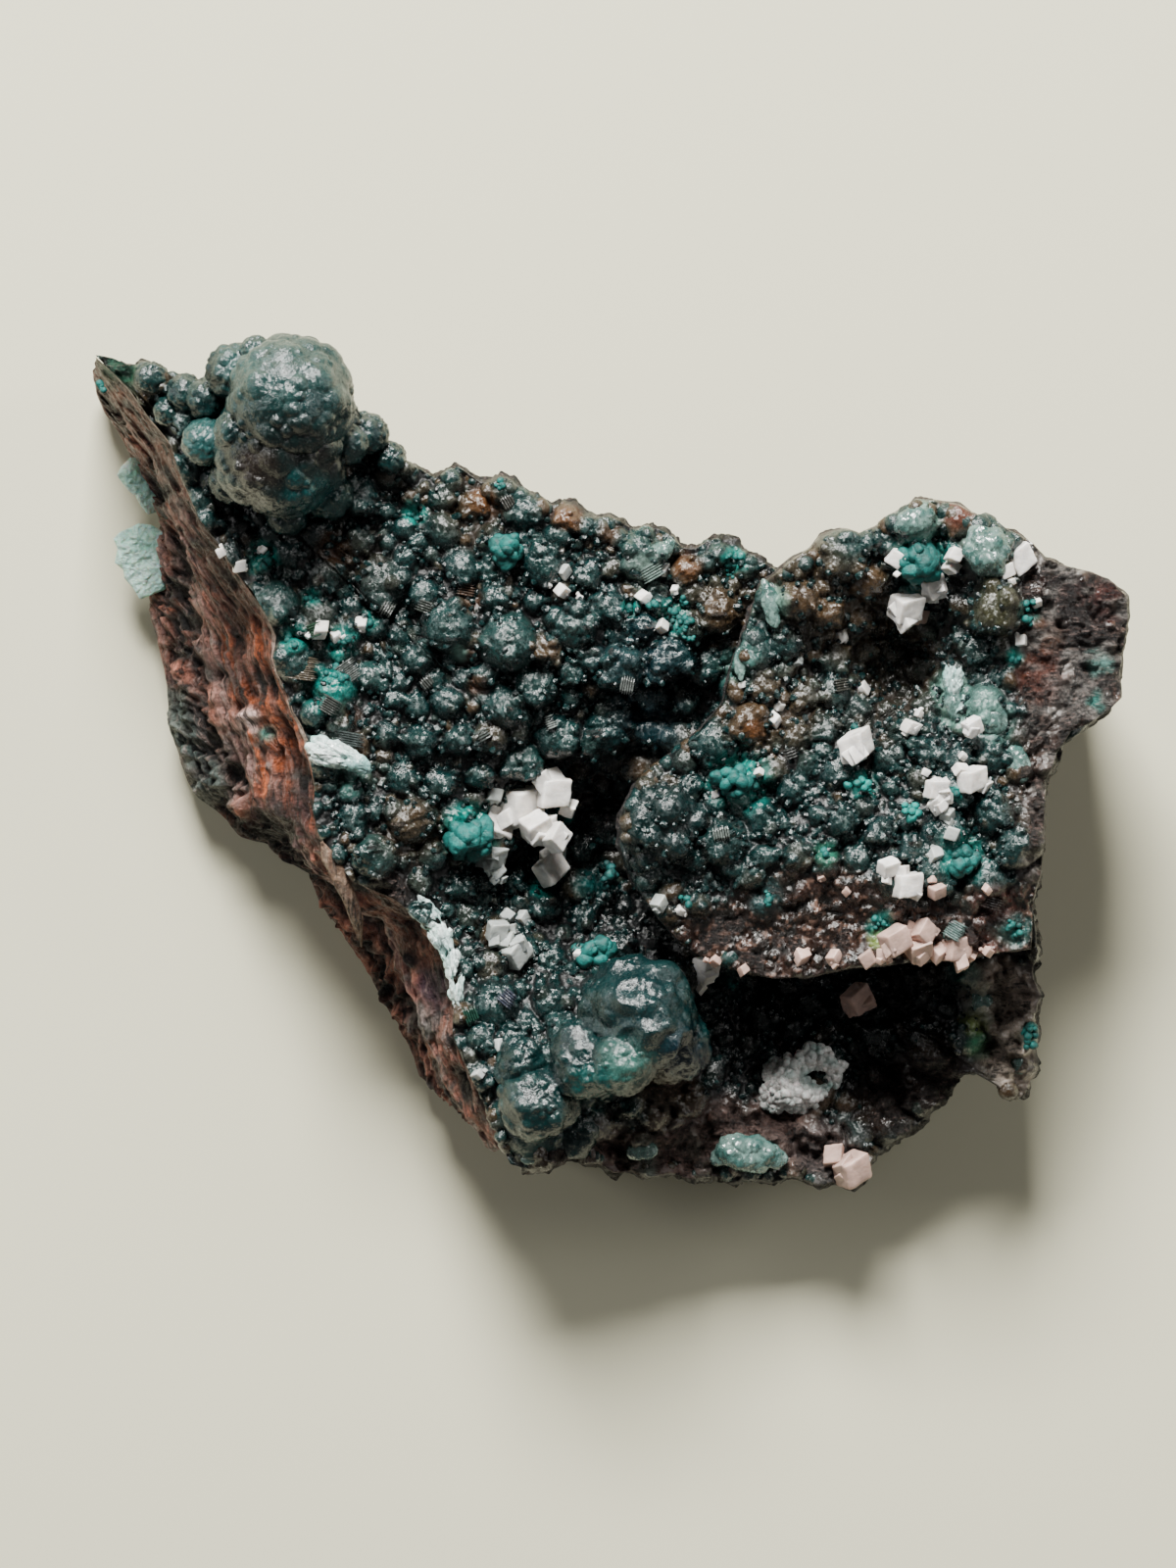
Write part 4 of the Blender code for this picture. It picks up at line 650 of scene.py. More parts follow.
def scatter_botryoids(chance, allowed, taken, rounds, room=0.76):
    """Throw random balls where a map allows them and none that is taken lies too close."""
    held = np.array([entry[:3] for entry in taken] or [(999.0, 999.0, 0.1)])
    found = []
    for tries, smallest, largest in rounds:
        throws = chance.random((tries, 4))
        for across, up, share, tone in throws:
            x = MAP_WEST + across * MAP_STEP * (MAP_COLUMNS - 1)
            y = MAP_SOUTH + up * MAP_STEP * (MAP_ROWS - 1)
            if not allowed[int((y - MAP_SOUTH) / MAP_STEP), int((x - MAP_WEST) / MAP_STEP)]:
                continue
            radius = smallest + share * (largest - smallest)
            away = np.hypot(held[:, 0] - x, held[:, 1] - y)
            if np.all(away > room * (held[:, 2] + radius)):
                held = np.vstack((held, (x, y, radius)))
                found.append((x, y, radius, 1.3 * tone - 0.7))
    return found


def buds(chance, lumps):
    """Smaller balls on the shoulders of the larger ones, at random turns about their middles."""
    found = []
    for x, y, radius, tone in lumps:
        for _ in range(int(chance.integers(2, 6)) if radius > 1.0 else 0):
            turn, away = chance.uniform(0, 2 * math.pi), radius * chance.uniform(0.35, 0.85)
            found.append((x + away * math.cos(turn), y + away * math.sin(turn),
                          radius * chance.uniform(0.22, 0.48), tone + chance.uniform(-0.3, 0.4)))
    return found


def low_beads(chance, crown, limits, count):
    """Tiny balls for the gaps: random places where no larger ball stands high."""
    west, east, south, north = limits
    x, y = chance.uniform(west, east, count), chance.uniform(south, north, count)
    radius, tone = chance.uniform(0.14, 0.36, count), chance.uniform(-0.3, 0.6, count)
    low = read_map(crown, x, y) < 0.35
    return list(zip(x[low], y[low], radius[low], tone[low]))


def read_map(values, x, y):
    """Values of a map at points, by blending its four nearest cells."""
    column = np.clip((x - MAP_WEST) / MAP_STEP, 0, MAP_COLUMNS - 1.001)
    row = np.clip((y - MAP_SOUTH) / MAP_STEP, 0, MAP_ROWS - 1.001)
    left, low = column.astype(int), row.astype(int)
    right, up = column - left, row - low
    lower = values[low, left] * (1 - right) + values[low, left + 1] * right
    upper = values[low + 1, left] * (1 - right) + values[low + 1, left + 1] * right
    return lower * (1 - up) + upper * up


RIM_OUTLINE = (
    (-34.8, 28.4), (-33.6, 27.2), (-32.4, 26.0), (-31.0, 24.0), (-29.5, 22.2), (-28.6, 19.5),
    (-27.5, 17.0), (-26.0, 15.0), (-25.0, 13.3), (-23.9, 12.1), (-23.0, 10.5), (-22.3, 9.0),
    (-22.5, 7.5), (-22.2, 6.3), (-21.6, 5.0), (-21.3, 3.8), (-20.6, 2.8), (-20.2, 1.6),
    (-19.9, 0.3), (-19.7, -1.5), (-19.8, -3.0), (-19.5, -4.5), (-19.0, -5.7), (-17.0, -8.0),
    (-14.2, -9.1), (-12.2, -11.0), (-10.9, -13.5), (-10.1, -16.5), (-10.2, -18.5), (-9.4, -20.5),
    (-8.4, -22.5), (-7.3, -25.0), (-6.2, -27.6), (-4.8, -28.0), (-3.4, -27.6), (-2.3, -27.2),
    (-1.2, -27.6), (0.0, -27.7), (1.0, -28.3), (2.4, -28.2), (3.6, -28.6), (5.0, -28.4),
    (6.4, -28.9), (8.0, -28.7), (9.4, -29.1), (10.8, -28.9), (12.2, -29.2), (13.6, -28.8),
    (15.2, -29.3), (16.4, -29.1), (17.7, -29.6), (18.7, -28.8), (19.2, -27.4), (20.5, -26.4),
    (21.5, -25.8), (22.5, -25.1), (23.3, -24.0), (24.5, -22.4), (25.3, -21.5), (26.2, -21.3),
    (27.0, -21.8), (28.3, -22.6), (29.5, -23.2), (30.0, -22.4), (30.5, -21.2), (30.3, -19.6),
    (30.6, -18.4), (30.3, -17.4), (30.6, -15.8), (30.1, -14.4), (30.4, -12.8), (29.9, -9.2),
    (30.2, -5.4), (30.4, -1.6), (31.6, 1.4), (34.6, 3.6), (35.6, 6.2), (35.8, 10.2),
    (34.4, 12.4), (31.0, 13.4), (27.6, 15.6), (23.4, 17.0), (19.6, 16.0), (16.2, 15.0),
    (12.6, 13.2), (11.6, 13.9), (10.7, 14.6), (9.8, 14.9), (9.1, 15.5), (8.2, 15.8),
    (7.4, 15.5), (6.6, 15.0), (5.6, 15.1), (5.0, 15.9), (4.1, 16.4), (3.1, 16.6), (2.4, 16.3),
    (1.6, 16.8), (0.7, 17.2), (-0.1, 17.1), (-0.9, 17.2), (-1.6, 17.9), (-2.5, 18.2),
    (-3.3, 18.0), (-4.2, 18.6), (-5.2, 18.8), (-5.8, 19.6), (-6.6, 19.9), (-7.4, 19.7),
    (-8.2, 19.6), (-8.9, 20.1), (-9.8, 20.7), (-10.6, 20.4), (-11.4, 19.9), (-12.2, 20.4),
    (-13.6, 21.0), (-15.0, 22.6), (-17.0, 24.8), (-20.4, 26.4), (-24.4, 27.0), (-26.6, 26.6),
    (-27.4, 26.0), (-28.4, 26.6), (-29.4, 26.8), (-30.2, 27.4), (-31.2, 27.8), (-32.4, 27.6),
    (-33.6, 28.2),
)
field_outline = list(RIM_OUTLINE)
SHELF_OUTLINE = (
    (12.4, 13.4), (11.0, 12.4), (10.4, 10.6), (9.9, 8.8), (9.1, 7.0), (8.9, 5.8), (8.6, 4.4),
    (6.8, 2.2), (4.4, 0.4), (2.6, -1.2), (1.5, -3.2), (1.4, -5.4), (2.4, -8.0), (4.0, -10.4),
    (6.0, -12.6), (9.0, -13.9), (12.0, -14.6), (14.6, -14.4), (17.4, -13.8), (20.4, -13.6),
    (23.5, -13.1), (26.6, -12.9), (29.6, -12.5), (29.7, -9.4), (30.2, -7.0), (30.4, -3.0),
    (30.5, -1.0), (31.3, 1.0), (32.2, 2.4), (33.4, 2.9), (34.9, 3.9), (35.7, 4.7), (35.6, 6.5),
    (35.9, 8.2), (36.2, 10.2), (36.1, 11.6), (34.8, 12.8), (33.6, 13.3), (32.0, 13.6),
    (30.4, 14.2), (29.6, 15.2), (27.8, 16.2), (26.7, 17.1), (25.9, 17.0), (24.5, 17.8),
    (23.0, 18.1), (21.6, 18.2), (20.7, 17.6), (19.7, 17.0), (18.9, 16.4), (17.8, 15.9),
    (16.6, 16.2), (15.2, 15.8), (14.4, 14.9), (13.4, 14.2),
)
SHELF_CENTRE = (19.0, 1.5)
under_shelf = inside([(x + 0.12 * (SHELF_CENTRE[0] - x), y + 0.12 * (SHELF_CENTRE[1] - y))
                      for x, y in SHELF_OUTLINE], MAP_X, MAP_Y)
# Near black for painted shade: the gaps between balls, the hollow, the cave and shadowed sides
PAINTED_SHADE_BLACK = (0.0003, 0.0012, 0.0014)
TEAL_BODY = (0.0014, 0.0180, 0.0180)
# Silvery grey of the crowns: partly the real frosting of tiny crystals, partly painted sheen
FROST_AND_PAINTED_SHEEN = (0.019, 0.036, 0.031)
AQUA = (0.05, 0.14, 0.12)
OLIVE_BROWN = (0.045, 0.027, 0.013)
BROWN_DRUSE = (0.022, 0.012, 0.009)
PALE_AQUA = (0.20, 0.38, 0.32)
ORANGE_BROWN = (0.09, 0.035, 0.012)
# Stains on the field, with painted shading: the two near black patches just below the ball cluster are painted
# shadow, and the pale green patch at (27, -16.5) by the pillar is made paler as painted light.
FIELD_STAINS_AND_PAINTED_SHADING = (
    (8.4, 11.4, 2.6, OLIVE_BROWN, 0.6), (-9.0, 17.6, 2.4, OLIVE_BROWN, 0.45),
    (-17.4, 14.6, 2.2, OLIVE_BROWN, 0.35), (-13.0, -4.4, 2.4, OLIVE_BROWN, 0.5),
    (3.2, 7.4, 3.2, (0.002, 0.010, 0.018), 0.45), (-24.6, 16.8, 1.6, PAINTED_SHADE_BLACK, 0.9),
    (-20.0, 16.2, 2.2, PAINTED_SHADE_BLACK, 0.6), (-16.8, 1.0, 2.2, OLIVE_BROWN, 0.35),
    (-18.3, 15.0, 1.0, ORANGE_BROWN, 0.5), (-8.9, 11.5, 0.8, ORANGE_BROWN, 0.5),
    (-17.5, 3.8, 0.8, ORANGE_BROWN, 0.5), (-8.4, 5.6, 0.7, ORANGE_BROWN, 0.5),
    (-9.2, 7.8, 0.6, ORANGE_BROWN, 0.6), (-8.0, 18.3, 1.0, ORANGE_BROWN, 0.7),
    (-2.3, 17.2, 1.0, ORANGE_BROWN, 0.7), (0.6, 16.0, 0.8, ORANGE_BROWN, 0.5),
    (6.0, 13.8, 1.0, ORANGE_BROWN, 0.6), (-12.8, 17.5, 0.7, TURQUOISE, 0.95),
    (-23.3, 14.3, 1.0, TURQUOISE, 0.8), (-19.8, 11.6, 0.7, TURQUOISE, 0.7),
    (-21.0, 8.8, 0.9, TURQUOISE, 0.6), (-17.8, 8.5, 1.0, TURQUOISE, 0.85),
    (-18.6, 5.4, 1.7, TURQUOISE, 0.5), (-16.0, 10.0, 0.6, TURQUOISE, 0.7),
    (-17.0, -0.9, 1.2, AQUA, 0.7), (-9.6, 7.8, 0.5, PALE_AQUA, 0.8),
    (-8.8, -4.6, 1.8, TURQUOISE, 0.8), (-2.6, -3.8, 1.2, (0.004, 0.10, 0.09), 0.8),
    (-3.9, -8.0, 0.9, TURQUOISE, 0.8), (-0.2, -8.0, 1.4, (0.003, 0.09, 0.085), 0.8),
    (3.4, 3.0, 2.4, (0.006, 0.035, 0.05), 0.5), (2.2, 11.0, 0.6, TURQUOISE, 0.8),
    (5.0, 10.3, 1.1, TURQUOISE, 0.6), (9.3, 14.2, 0.8, TURQUOISE, 0.9),
    (3.3, 13.4, 1.4, (0.14, 0.2, 0.17), 0.6), (9.3, 7.0, 1.3, AQUA, 0.7),
    (9.3, -15.3, 1.4, TURQUOISE, 0.5), (-0.5, -22.0, 1.6, (0.02, 0.12, 0.10), 0.5),
    (1.3, -25.4, 1.0, (0.03, 0.14, 0.10), 0.5), (6.3, -26.5, 1.0, (0.05, 0.16, 0.10), 0.6),
    (3.0, -27.0, 1.3, PALE_AQUA, 0.6), (25.5, -14.6, 1.2, TURQUOISE, 0.5),
    (27.0, -16.5, 1.2, (0.30, 0.42, 0.34), 0.7), (26.2, -18.0, 0.9, (0.20, 0.27, 0.08), 0.7),
    (26.5, -19.5, 0.9, (0.06, 0.30, 0.15), 0.7), (30.0, -18.8, 0.8, TURQUOISE, 0.9),
)
# Painted shade: black patches laid over the hollow and the cave, where shadow falls
HOLLOW_PAINTED_SHADE = ((0.4, -3.0, 2.6, PAINTED_SHADE_BLACK, 0.9), (-0.6, -5.6, 2.4, PAINTED_SHADE_BLACK, 0.8), (2.2, -10.0, 2.6, PAINTED_SHADE_BLACK, 0.9),
          (4.6, -12.6, 2.6, PAINTED_SHADE_BLACK, 0.9), (9.5, -17.5, 3.4, PAINTED_SHADE_BLACK, 0.8), (14.0, -16.4, 3.8, PAINTED_SHADE_BLACK, 0.7),
          (19.5, -16.8, 3.8, PAINTED_SHADE_BLACK, 0.7), (23.6, -16.4, 3.2, PAINTED_SHADE_BLACK, 0.7), (9.5, -22.0, 2.6, PAINTED_SHADE_BLACK, 0.8),
          (19.5, -21.0, 2.6, PAINTED_SHADE_BLACK, 0.7), (15.5, -26.2, 1.6, PAINTED_SHADE_BLACK, 0.7))
# Where brown rock shows instead of the crust: (x, y, radius, colour, strength). The two pale
# patches on the pillar by the cave are painted light, paler than the rock where the shelf
# casts its shadow.
BARE_ROCK_AND_PAINTED_LIGHT = (
    (-2.0, -26.6, 2.2, BROWN_DRUSE, 0.8), (1.5, -26.8, 2.2, (0.11, 0.064, 0.052), 0.8),
    (5.0, -26.8, 2.4, (0.11, 0.064, 0.052), 0.8), (4.4, -22.4, 2.2, OLIVE_BROWN, 0.8),
    (8.6, -26.2, 2.6, (0.10, 0.060, 0.050), 0.8), (12.4, -25.4, 2.4, (0.12, 0.070, 0.058), 0.7),
    (16.0, -27.4, 2.6, (0.10, 0.075, 0.07), 0.7), (20.6, -23.4, 2.8, BROWN_DRUSE, 0.9),
    (24.0, -22.0, 2.4, BROWN_DRUSE, 0.9), (28.6, -20.6, 2.2, (0.36, 0.29, 0.235), 0.75),
    (28.4, -16.0, 2.4, (0.36, 0.28, 0.225), 0.7), (-33.4, 27.2, 1.8, MALACHITE, 0.6),
    (-14.6, -8.6, 1.4, BROWN_DRUSE, 0.7),
)

field_chance = np.random.default_rng(7)
field_height = relief(ROCK_SPOTS, MAP_X, MAP_Y) + CRUST
field_height += 0.45 * grain(MAP_X, MAP_Y, 0.0, 3.4, 31) + 0.3 * grain(MAP_X, MAP_Y, 0.0, 1.3, 32) - 0.8
field_crown = np.zeros(field_height.shape)
field_tone = np.zeros(field_height.shape)
bare_map = np.zeros(MAP_X.shape)
for spot_x, spot_y, radius, _, _ in BARE_ROCK_AND_PAINTED_LIGHT:
    bare_map = np.maximum(bare_map, 1.0 - np.hypot(MAP_X - spot_x, MAP_Y - spot_y) / radius)
bare_map = bare_map + 0.35 * grain(MAP_X, MAP_Y, 0.0, 0.8, 35)
bare_share = np.clip(3.0 * bare_map - 0.3, 0.0, 1.0)
allowed = inside(field_outline, MAP_X, MAP_Y) & ~under_shelf & (bare_map < 0.3)
field_fill = scatter_botryoids(field_chance, allowed, FIELD_LUMPS, FILL_ROUNDS)
field_lumps = list(FIELD_LUMPS) + field_fill
stand_botryoids(field_height, field_crown, field_tone, field_lumps)
# Smaller balls grow on the larger ones, and beads fill the gaps
stand_botryoids(field_height, field_crown, field_tone, buds(field_chance, field_lumps), 0.6)
beads = low_beads(field_chance, np.maximum(field_crown, bare_share), (-36, 30, -29, 28), 9000)
stand_botryoids(field_height, field_crown, field_tone, beads, 0.45)
broken = 0.6 * grain(MAP_X * 0.4, MAP_Y * 1.5, 0.0, 1.0, 37) + 0.3 * grain(MAP_X, MAP_Y, 0.0, 0.45, 38)
field_height += bare_share * (broken + 0.14 * grain(MAP_X, MAP_Y, 0.0, 0.22, 39))
field_height += 0.06 * grain(MAP_X, MAP_Y, field_height, 0.3, 33) * (0.4 + field_crown)

def crust_colours(x, y, height, crown, tone, stains):
    """Colour of the crust: painted shade, nearly black, in the gaps, teal on the flanks, silvery on
    the crowns, partly real frosting and partly painted sheen, with pale painted glints there,
    turned brown or paler by each ball's own tone, then stained."""
    crown = np.clip(crown, 0.0, 1.0)
    # Painted shade: the gaps between the balls fade to near black, the flanks to teal
    colours = blend(PAINTED_SHADE_BLACK, TEAL_BODY, 1.8 * crown)
    # Crowns turn silvery grey: real frosting and painted sheen, more so on pale balls
    colours = blend(colours, FROST_AND_PAINTED_SHEEN, 0.85 * np.clip(crown - 0.35, 0, 1) ** 1.4 * (0.75 + 0.5 * tone))
    colours = blend(colours, OLIVE_BROWN, np.clip(-1.6 * tone, 0, 0.9) * np.clip(crown * 1.5, 0, 1))
    colours = blend(colours, AQUA, np.clip(tone - 0.3, 0, 1) * 0.55 * (1.0 - crown))
    # Painted glints: pale specks scattered over the crowns
    painted_glint = np.clip(grain(x, y, height, 0.24, 41) - 0.35, 0.0, 1.0) * crown
    colours = blend(colours, (0.15, 0.21, 0.19), 0.5 * painted_glint)
    colours = stained(colours, x, y, stains)
    return np.concatenate((colours, crown[..., None]), -1)


def willemite_finish(name, broad_tilt, fine_tilt, smoothest, dullest):
    """Glassy druse: point colours, mottled, under facets that glint one by one. Where the point
    colour says so, as in the gaps between the balls, the skin is dull."""
    material, tree, shader = plain_material(name)
    tint = node(tree, "ShaderNodeAttribute", attribute_name="tint")
    mottle = use_group(tree, MOTTLE, {"Color": tint.outputs["Color"], "Size": 2600.0,
                                      "Depth": 0.4})
    place = node(tree, "ShaderNodeTexCoord")
    fine = node(tree, "ShaderNodeTexNoise", {"Vector": place.outputs["Object"], "Scale": 7000.0,
                                             "Detail": 4.0, "Roughness": 0.6})
    bump = node(tree, "ShaderNodeBump", {"Height": fine.outputs[0], "Strength": 0.45,
                                         "Distance": 0.00012})
    broad = use_group(tree, FACETS, {"Size": 5200.0, "Tilt": broad_tilt,
                                     "Normal": bump.outputs["Normal"]})
    facets = use_group(tree, FACETS, {"Size": 14000.0, "Tilt": fine_tilt,
                                      "Normal": broad.outputs["Normal"]})
    rough = node(tree, "ShaderNodeMapRange", {"Value": broad.outputs["Chance"],
                                              "To Min": smoothest, "To Max": dullest})
    dull = node(tree, "ShaderNodeMapRange", {"Value": tint.outputs["Alpha"], "From Min": 0.05,
                                             "From Max": 0.4, "To Min": 0.45, "To Max": 0.0})
    skin = node(tree, "ShaderNodeMath", {0: rough.outputs[0], 1: dull.outputs[0]},
                operation="MAXIMUM")
    tree.links.new(mottle.outputs["Color"], shader.inputs["Base Color"])
    tree.links.new(skin.outputs[0], shader.inputs["Roughness"])
    tree.links.new(facets.outputs["Normal"], shader.inputs["Normal"])
    shader.inputs["IOR"].default_value = 1.6
    return material


WILLEMITE = willemite_finish("willemite", 0.44, 0.26, 0.08, 0.38)
GLASSY_WILLEMITE = willemite_finish("glassy willemite", 0.26, 0.20, 0.08, 0.28)

x, y, share = sheet_places(field_outline, FIELD_CENTRE, FIELD_COUNT)
# The grid's last rings turn down over the edge, and swell out a little where no wall meets them
top = np.clip(share / FIELD_TOP_SHARE, 0.0, 1.0)
down = np.clip((share - FIELD_TOP_SHARE) / (1.0 - FIELD_TOP_SHARE), 0.0, 1.0)
away_x, away_y = x - FIELD_CENTRE[0], y - FIELD_CENTRE[1]
stretch = top / np.maximum(share, 1e-6)
heading = np.degrees(np.arctan2(away_y, away_x)) % 360.0
free = (heading < 137.0) | (heading > 265.0)
reach = np.maximum(np.hypot(away_x, away_y), 1e-6)
swell = free * np.clip(4.0 * down, 0.0, 1.0) * (0.3 * np.sin(np.pi * down)
                                              + 0.35 * grain(x, y, 3.0 * down, 0.9, 36)
                                              + 0.22 * grain(x, y, 9.0 * down, 0.35, 38))
x = FIELD_CENTRE[0] + away_x * (stretch + swell / reach)
y = FIELD_CENTRE[1] + away_y * (stretch + swell / reach)
height = read_map(field_height, x, y) - 2.4 * down ** 1.4
crown = read_map(field_crown, x, y) * (1.0 - down)
tone = read_map(field_tone, x, y)
colours = crust_colours(x, y, height, crown, tone, FIELD_STAINS_AND_PAINTED_SHADING + HOLLOW_PAINTED_SHADE + BARE_ROCK_AND_PAINTED_LIGHT)
rind = blend((0.016, 0.009, 0.006), (0.003, 0.004, 0.004), 0.5 + 1.4 * grain(x, y, 6.0 * down, 0.7, 37))
colours = blend(colours, rind, np.clip(5.0 * down, 0.0, 0.85))
bare = np.maximum(read_map(bare_map, x, y), 1.5 * down)
hidden = inside([(px + 0.3 * (SHELF_CENTRE[0] - px), py + 0.3 * (SHELF_CENTRE[1] - py))
                 for px, py in SHELF_OUTLINE], x, y) & (y > -8.0)
points = np.stack((x, y, height), -1)
third = FIELD_COUNT // 4 + 1
crust_parts = []
for number, low in enumerate(range(0, FIELD_COUNT - 1, third)):
    rows = slice(low, min(low + third + 1, FIELD_COUNT))
    faces = grid_faces(*x[rows].shape)
    faces = faces[~hidden[rows].reshape(-1)[faces].all(axis=1)]
    rocky = bare[rows].reshape(-1)[faces].mean(axis=1) > 0.3
    part = piece(f"willemite_field_{number + 1}", points[rows], faces, WILLEMITE,
                 colours[rows], weave=points[rows] * (0.4, 1.2, 1.2), rocky=rocky)
    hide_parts("willemite_crust")
    crust_parts.append(part)


# ---- Shelf -------------------------------------------------------------------
# A thick ledge of the same crust stands over the lower half. Its top is botryoids with brown and
# olive patches, its lip is a rind of brown druse, and its sides are hollowed out over the cave.
SHELF_SPOTS = (
    (11.4, 9, 19.6), (14.4, 12.6, 20.2), (20, 14.4, 21.0), (26, 13.8, 21.4), (31, 11.6, 21.2),
    (34, 8, 19.6), (31, 5.4, 20.6), (27.6, 8.6, 21.4), (20, 6.4, 14.6), (23, 8.4, 16.6),
    (17.4, 6.8, 17.2), (14, 7, 19.4), (12, 1.4, 19.6), (18, 0.8, 20.0), (25, 2.6, 20.8),
    (9, -1, 18.6), (4.6, -3.6, 17.4), (8, -6, 18.8), (14, -5, 20.2), (20, -4, 20.8),
    (27, -4, 21.2), (8, -11, 17.6), (14, -11.6, 19.4), (20, -10.8, 20.4), (27.4, -10, 20.4),
)
SHELF_LUMPS = (
    (11.8, 11.3, 1.1, 0.9), (16.6, 14.4, 1.9, 0.5), (19.6, 15.4, 1.2, 0.1), (21.6, 16.4, 1.5, 0.7),
    (24.4, 16.8, 1.3, -0.9), (26.4, 14.6, 1.7, 0.9), (27.0, 10.8, 1.9, -0.4), (25.9, 8.0, 1.3, 0),
    (16.2, 7.4, 1.3, 0.5), (12.8, 8.4, 1.2, 0.1), (13.5, 11.5, 1.5, -0.5), (4.2, -4.0, 2.8, 0.1),
    (8.5, -5.3, 1.5, 0.7), (8.0, -2.6, 0.9, 0), (15.5, 10.6, 1.2, -0.8), (18.3, 12.7, 1.3, -0.8),
    (10.4, 3.0, 1.5, -0.9), (11.2, 5.6, 1.2, -0.2), (14.0, 4.9, 1.2, 0), (13.6, 2.0, 1.3, -0.2),
    (16.2, -0.2, 1.2, 0), (15.4, 2.6, 1.1, 0.1), (19.8, 0.6, 1.3, 0.1), (13.4, -1.6, 1.3, 0),
    (16.6, -3.6, 1.3, 0), (11.2, -3.4, 1.3, 0.1), (19.4, -4.4, 1.2, 0), (22.6, 1.0, 1.2, 0),
    (26.8, 0.6, 1.3, 0.1), (27.0, -3.2, 1.5, 0), (21.6, -5.6, 1.1, 0), (13.6, -6.0, 1.2, -0.2),
    (6.2, -1.4, 1.1, 0), (2.9, -2.2, 1.1, 0.1), (6.4, -6.4, 1.2, 0), (3.6, -7.0, 1.1, 0),
    (26.2, 4.2, 1.5, 0.5), (21.4, 12.0, 1.2, 0), (17.8, 10.2, 1.1, -0.3), (22.6, 9.6, 1.0, 0),
    (20.4, 8.0, 1.1, 0), (18.2, 8.2, 1.0, -0.2), (17.6, 4.0, 1.1, 0), (12.0, -0.2, 1.1, -0.3),
)
# Balls that grew on the large lobe at the left
LOBE_BUDS = ((4.7, -2.9, 1.45, 0.2), (5.2, -5.3, 1.0, 0.1), (2.9, -4.4, 0.9, 0.0),
             (3.3, -6.2, 0.8, 0.1), (6.6, -3.8, 0.7, 0.0), (2.6, -2.6, 0.6, 0.1))
# Broad swells and dips under the balls: (x, y, reach, rise)
SHELF_SWELLS = ((14.6, 12.0, 3.4, 1.3), (27.0, 10.9, 2.4, 1.0), (26.4, 14.8, 2.0, 0.8),
                (21.8, 17.0, 1.8, 0.5), (21.0, 6.6, 3.4, -1.8), (23.8, 11.8, 1.6, -1.2),
                (4.4, -4.0, 3.0, 0.9), (8.8, -5.4, 1.8, 0.8), (24.6, 4.6, 1.8, 0.8),
                (12.4, -2.2, 2.0, -0.9), (17.6, -5.6, 2.2, -0.7), (14.4, 5.8, 2.0, -0.6))
SHELF_TOP_SHARE = 0.80
SHELF_COUNT = 390
SHELF_FOOT_Z = 7.0
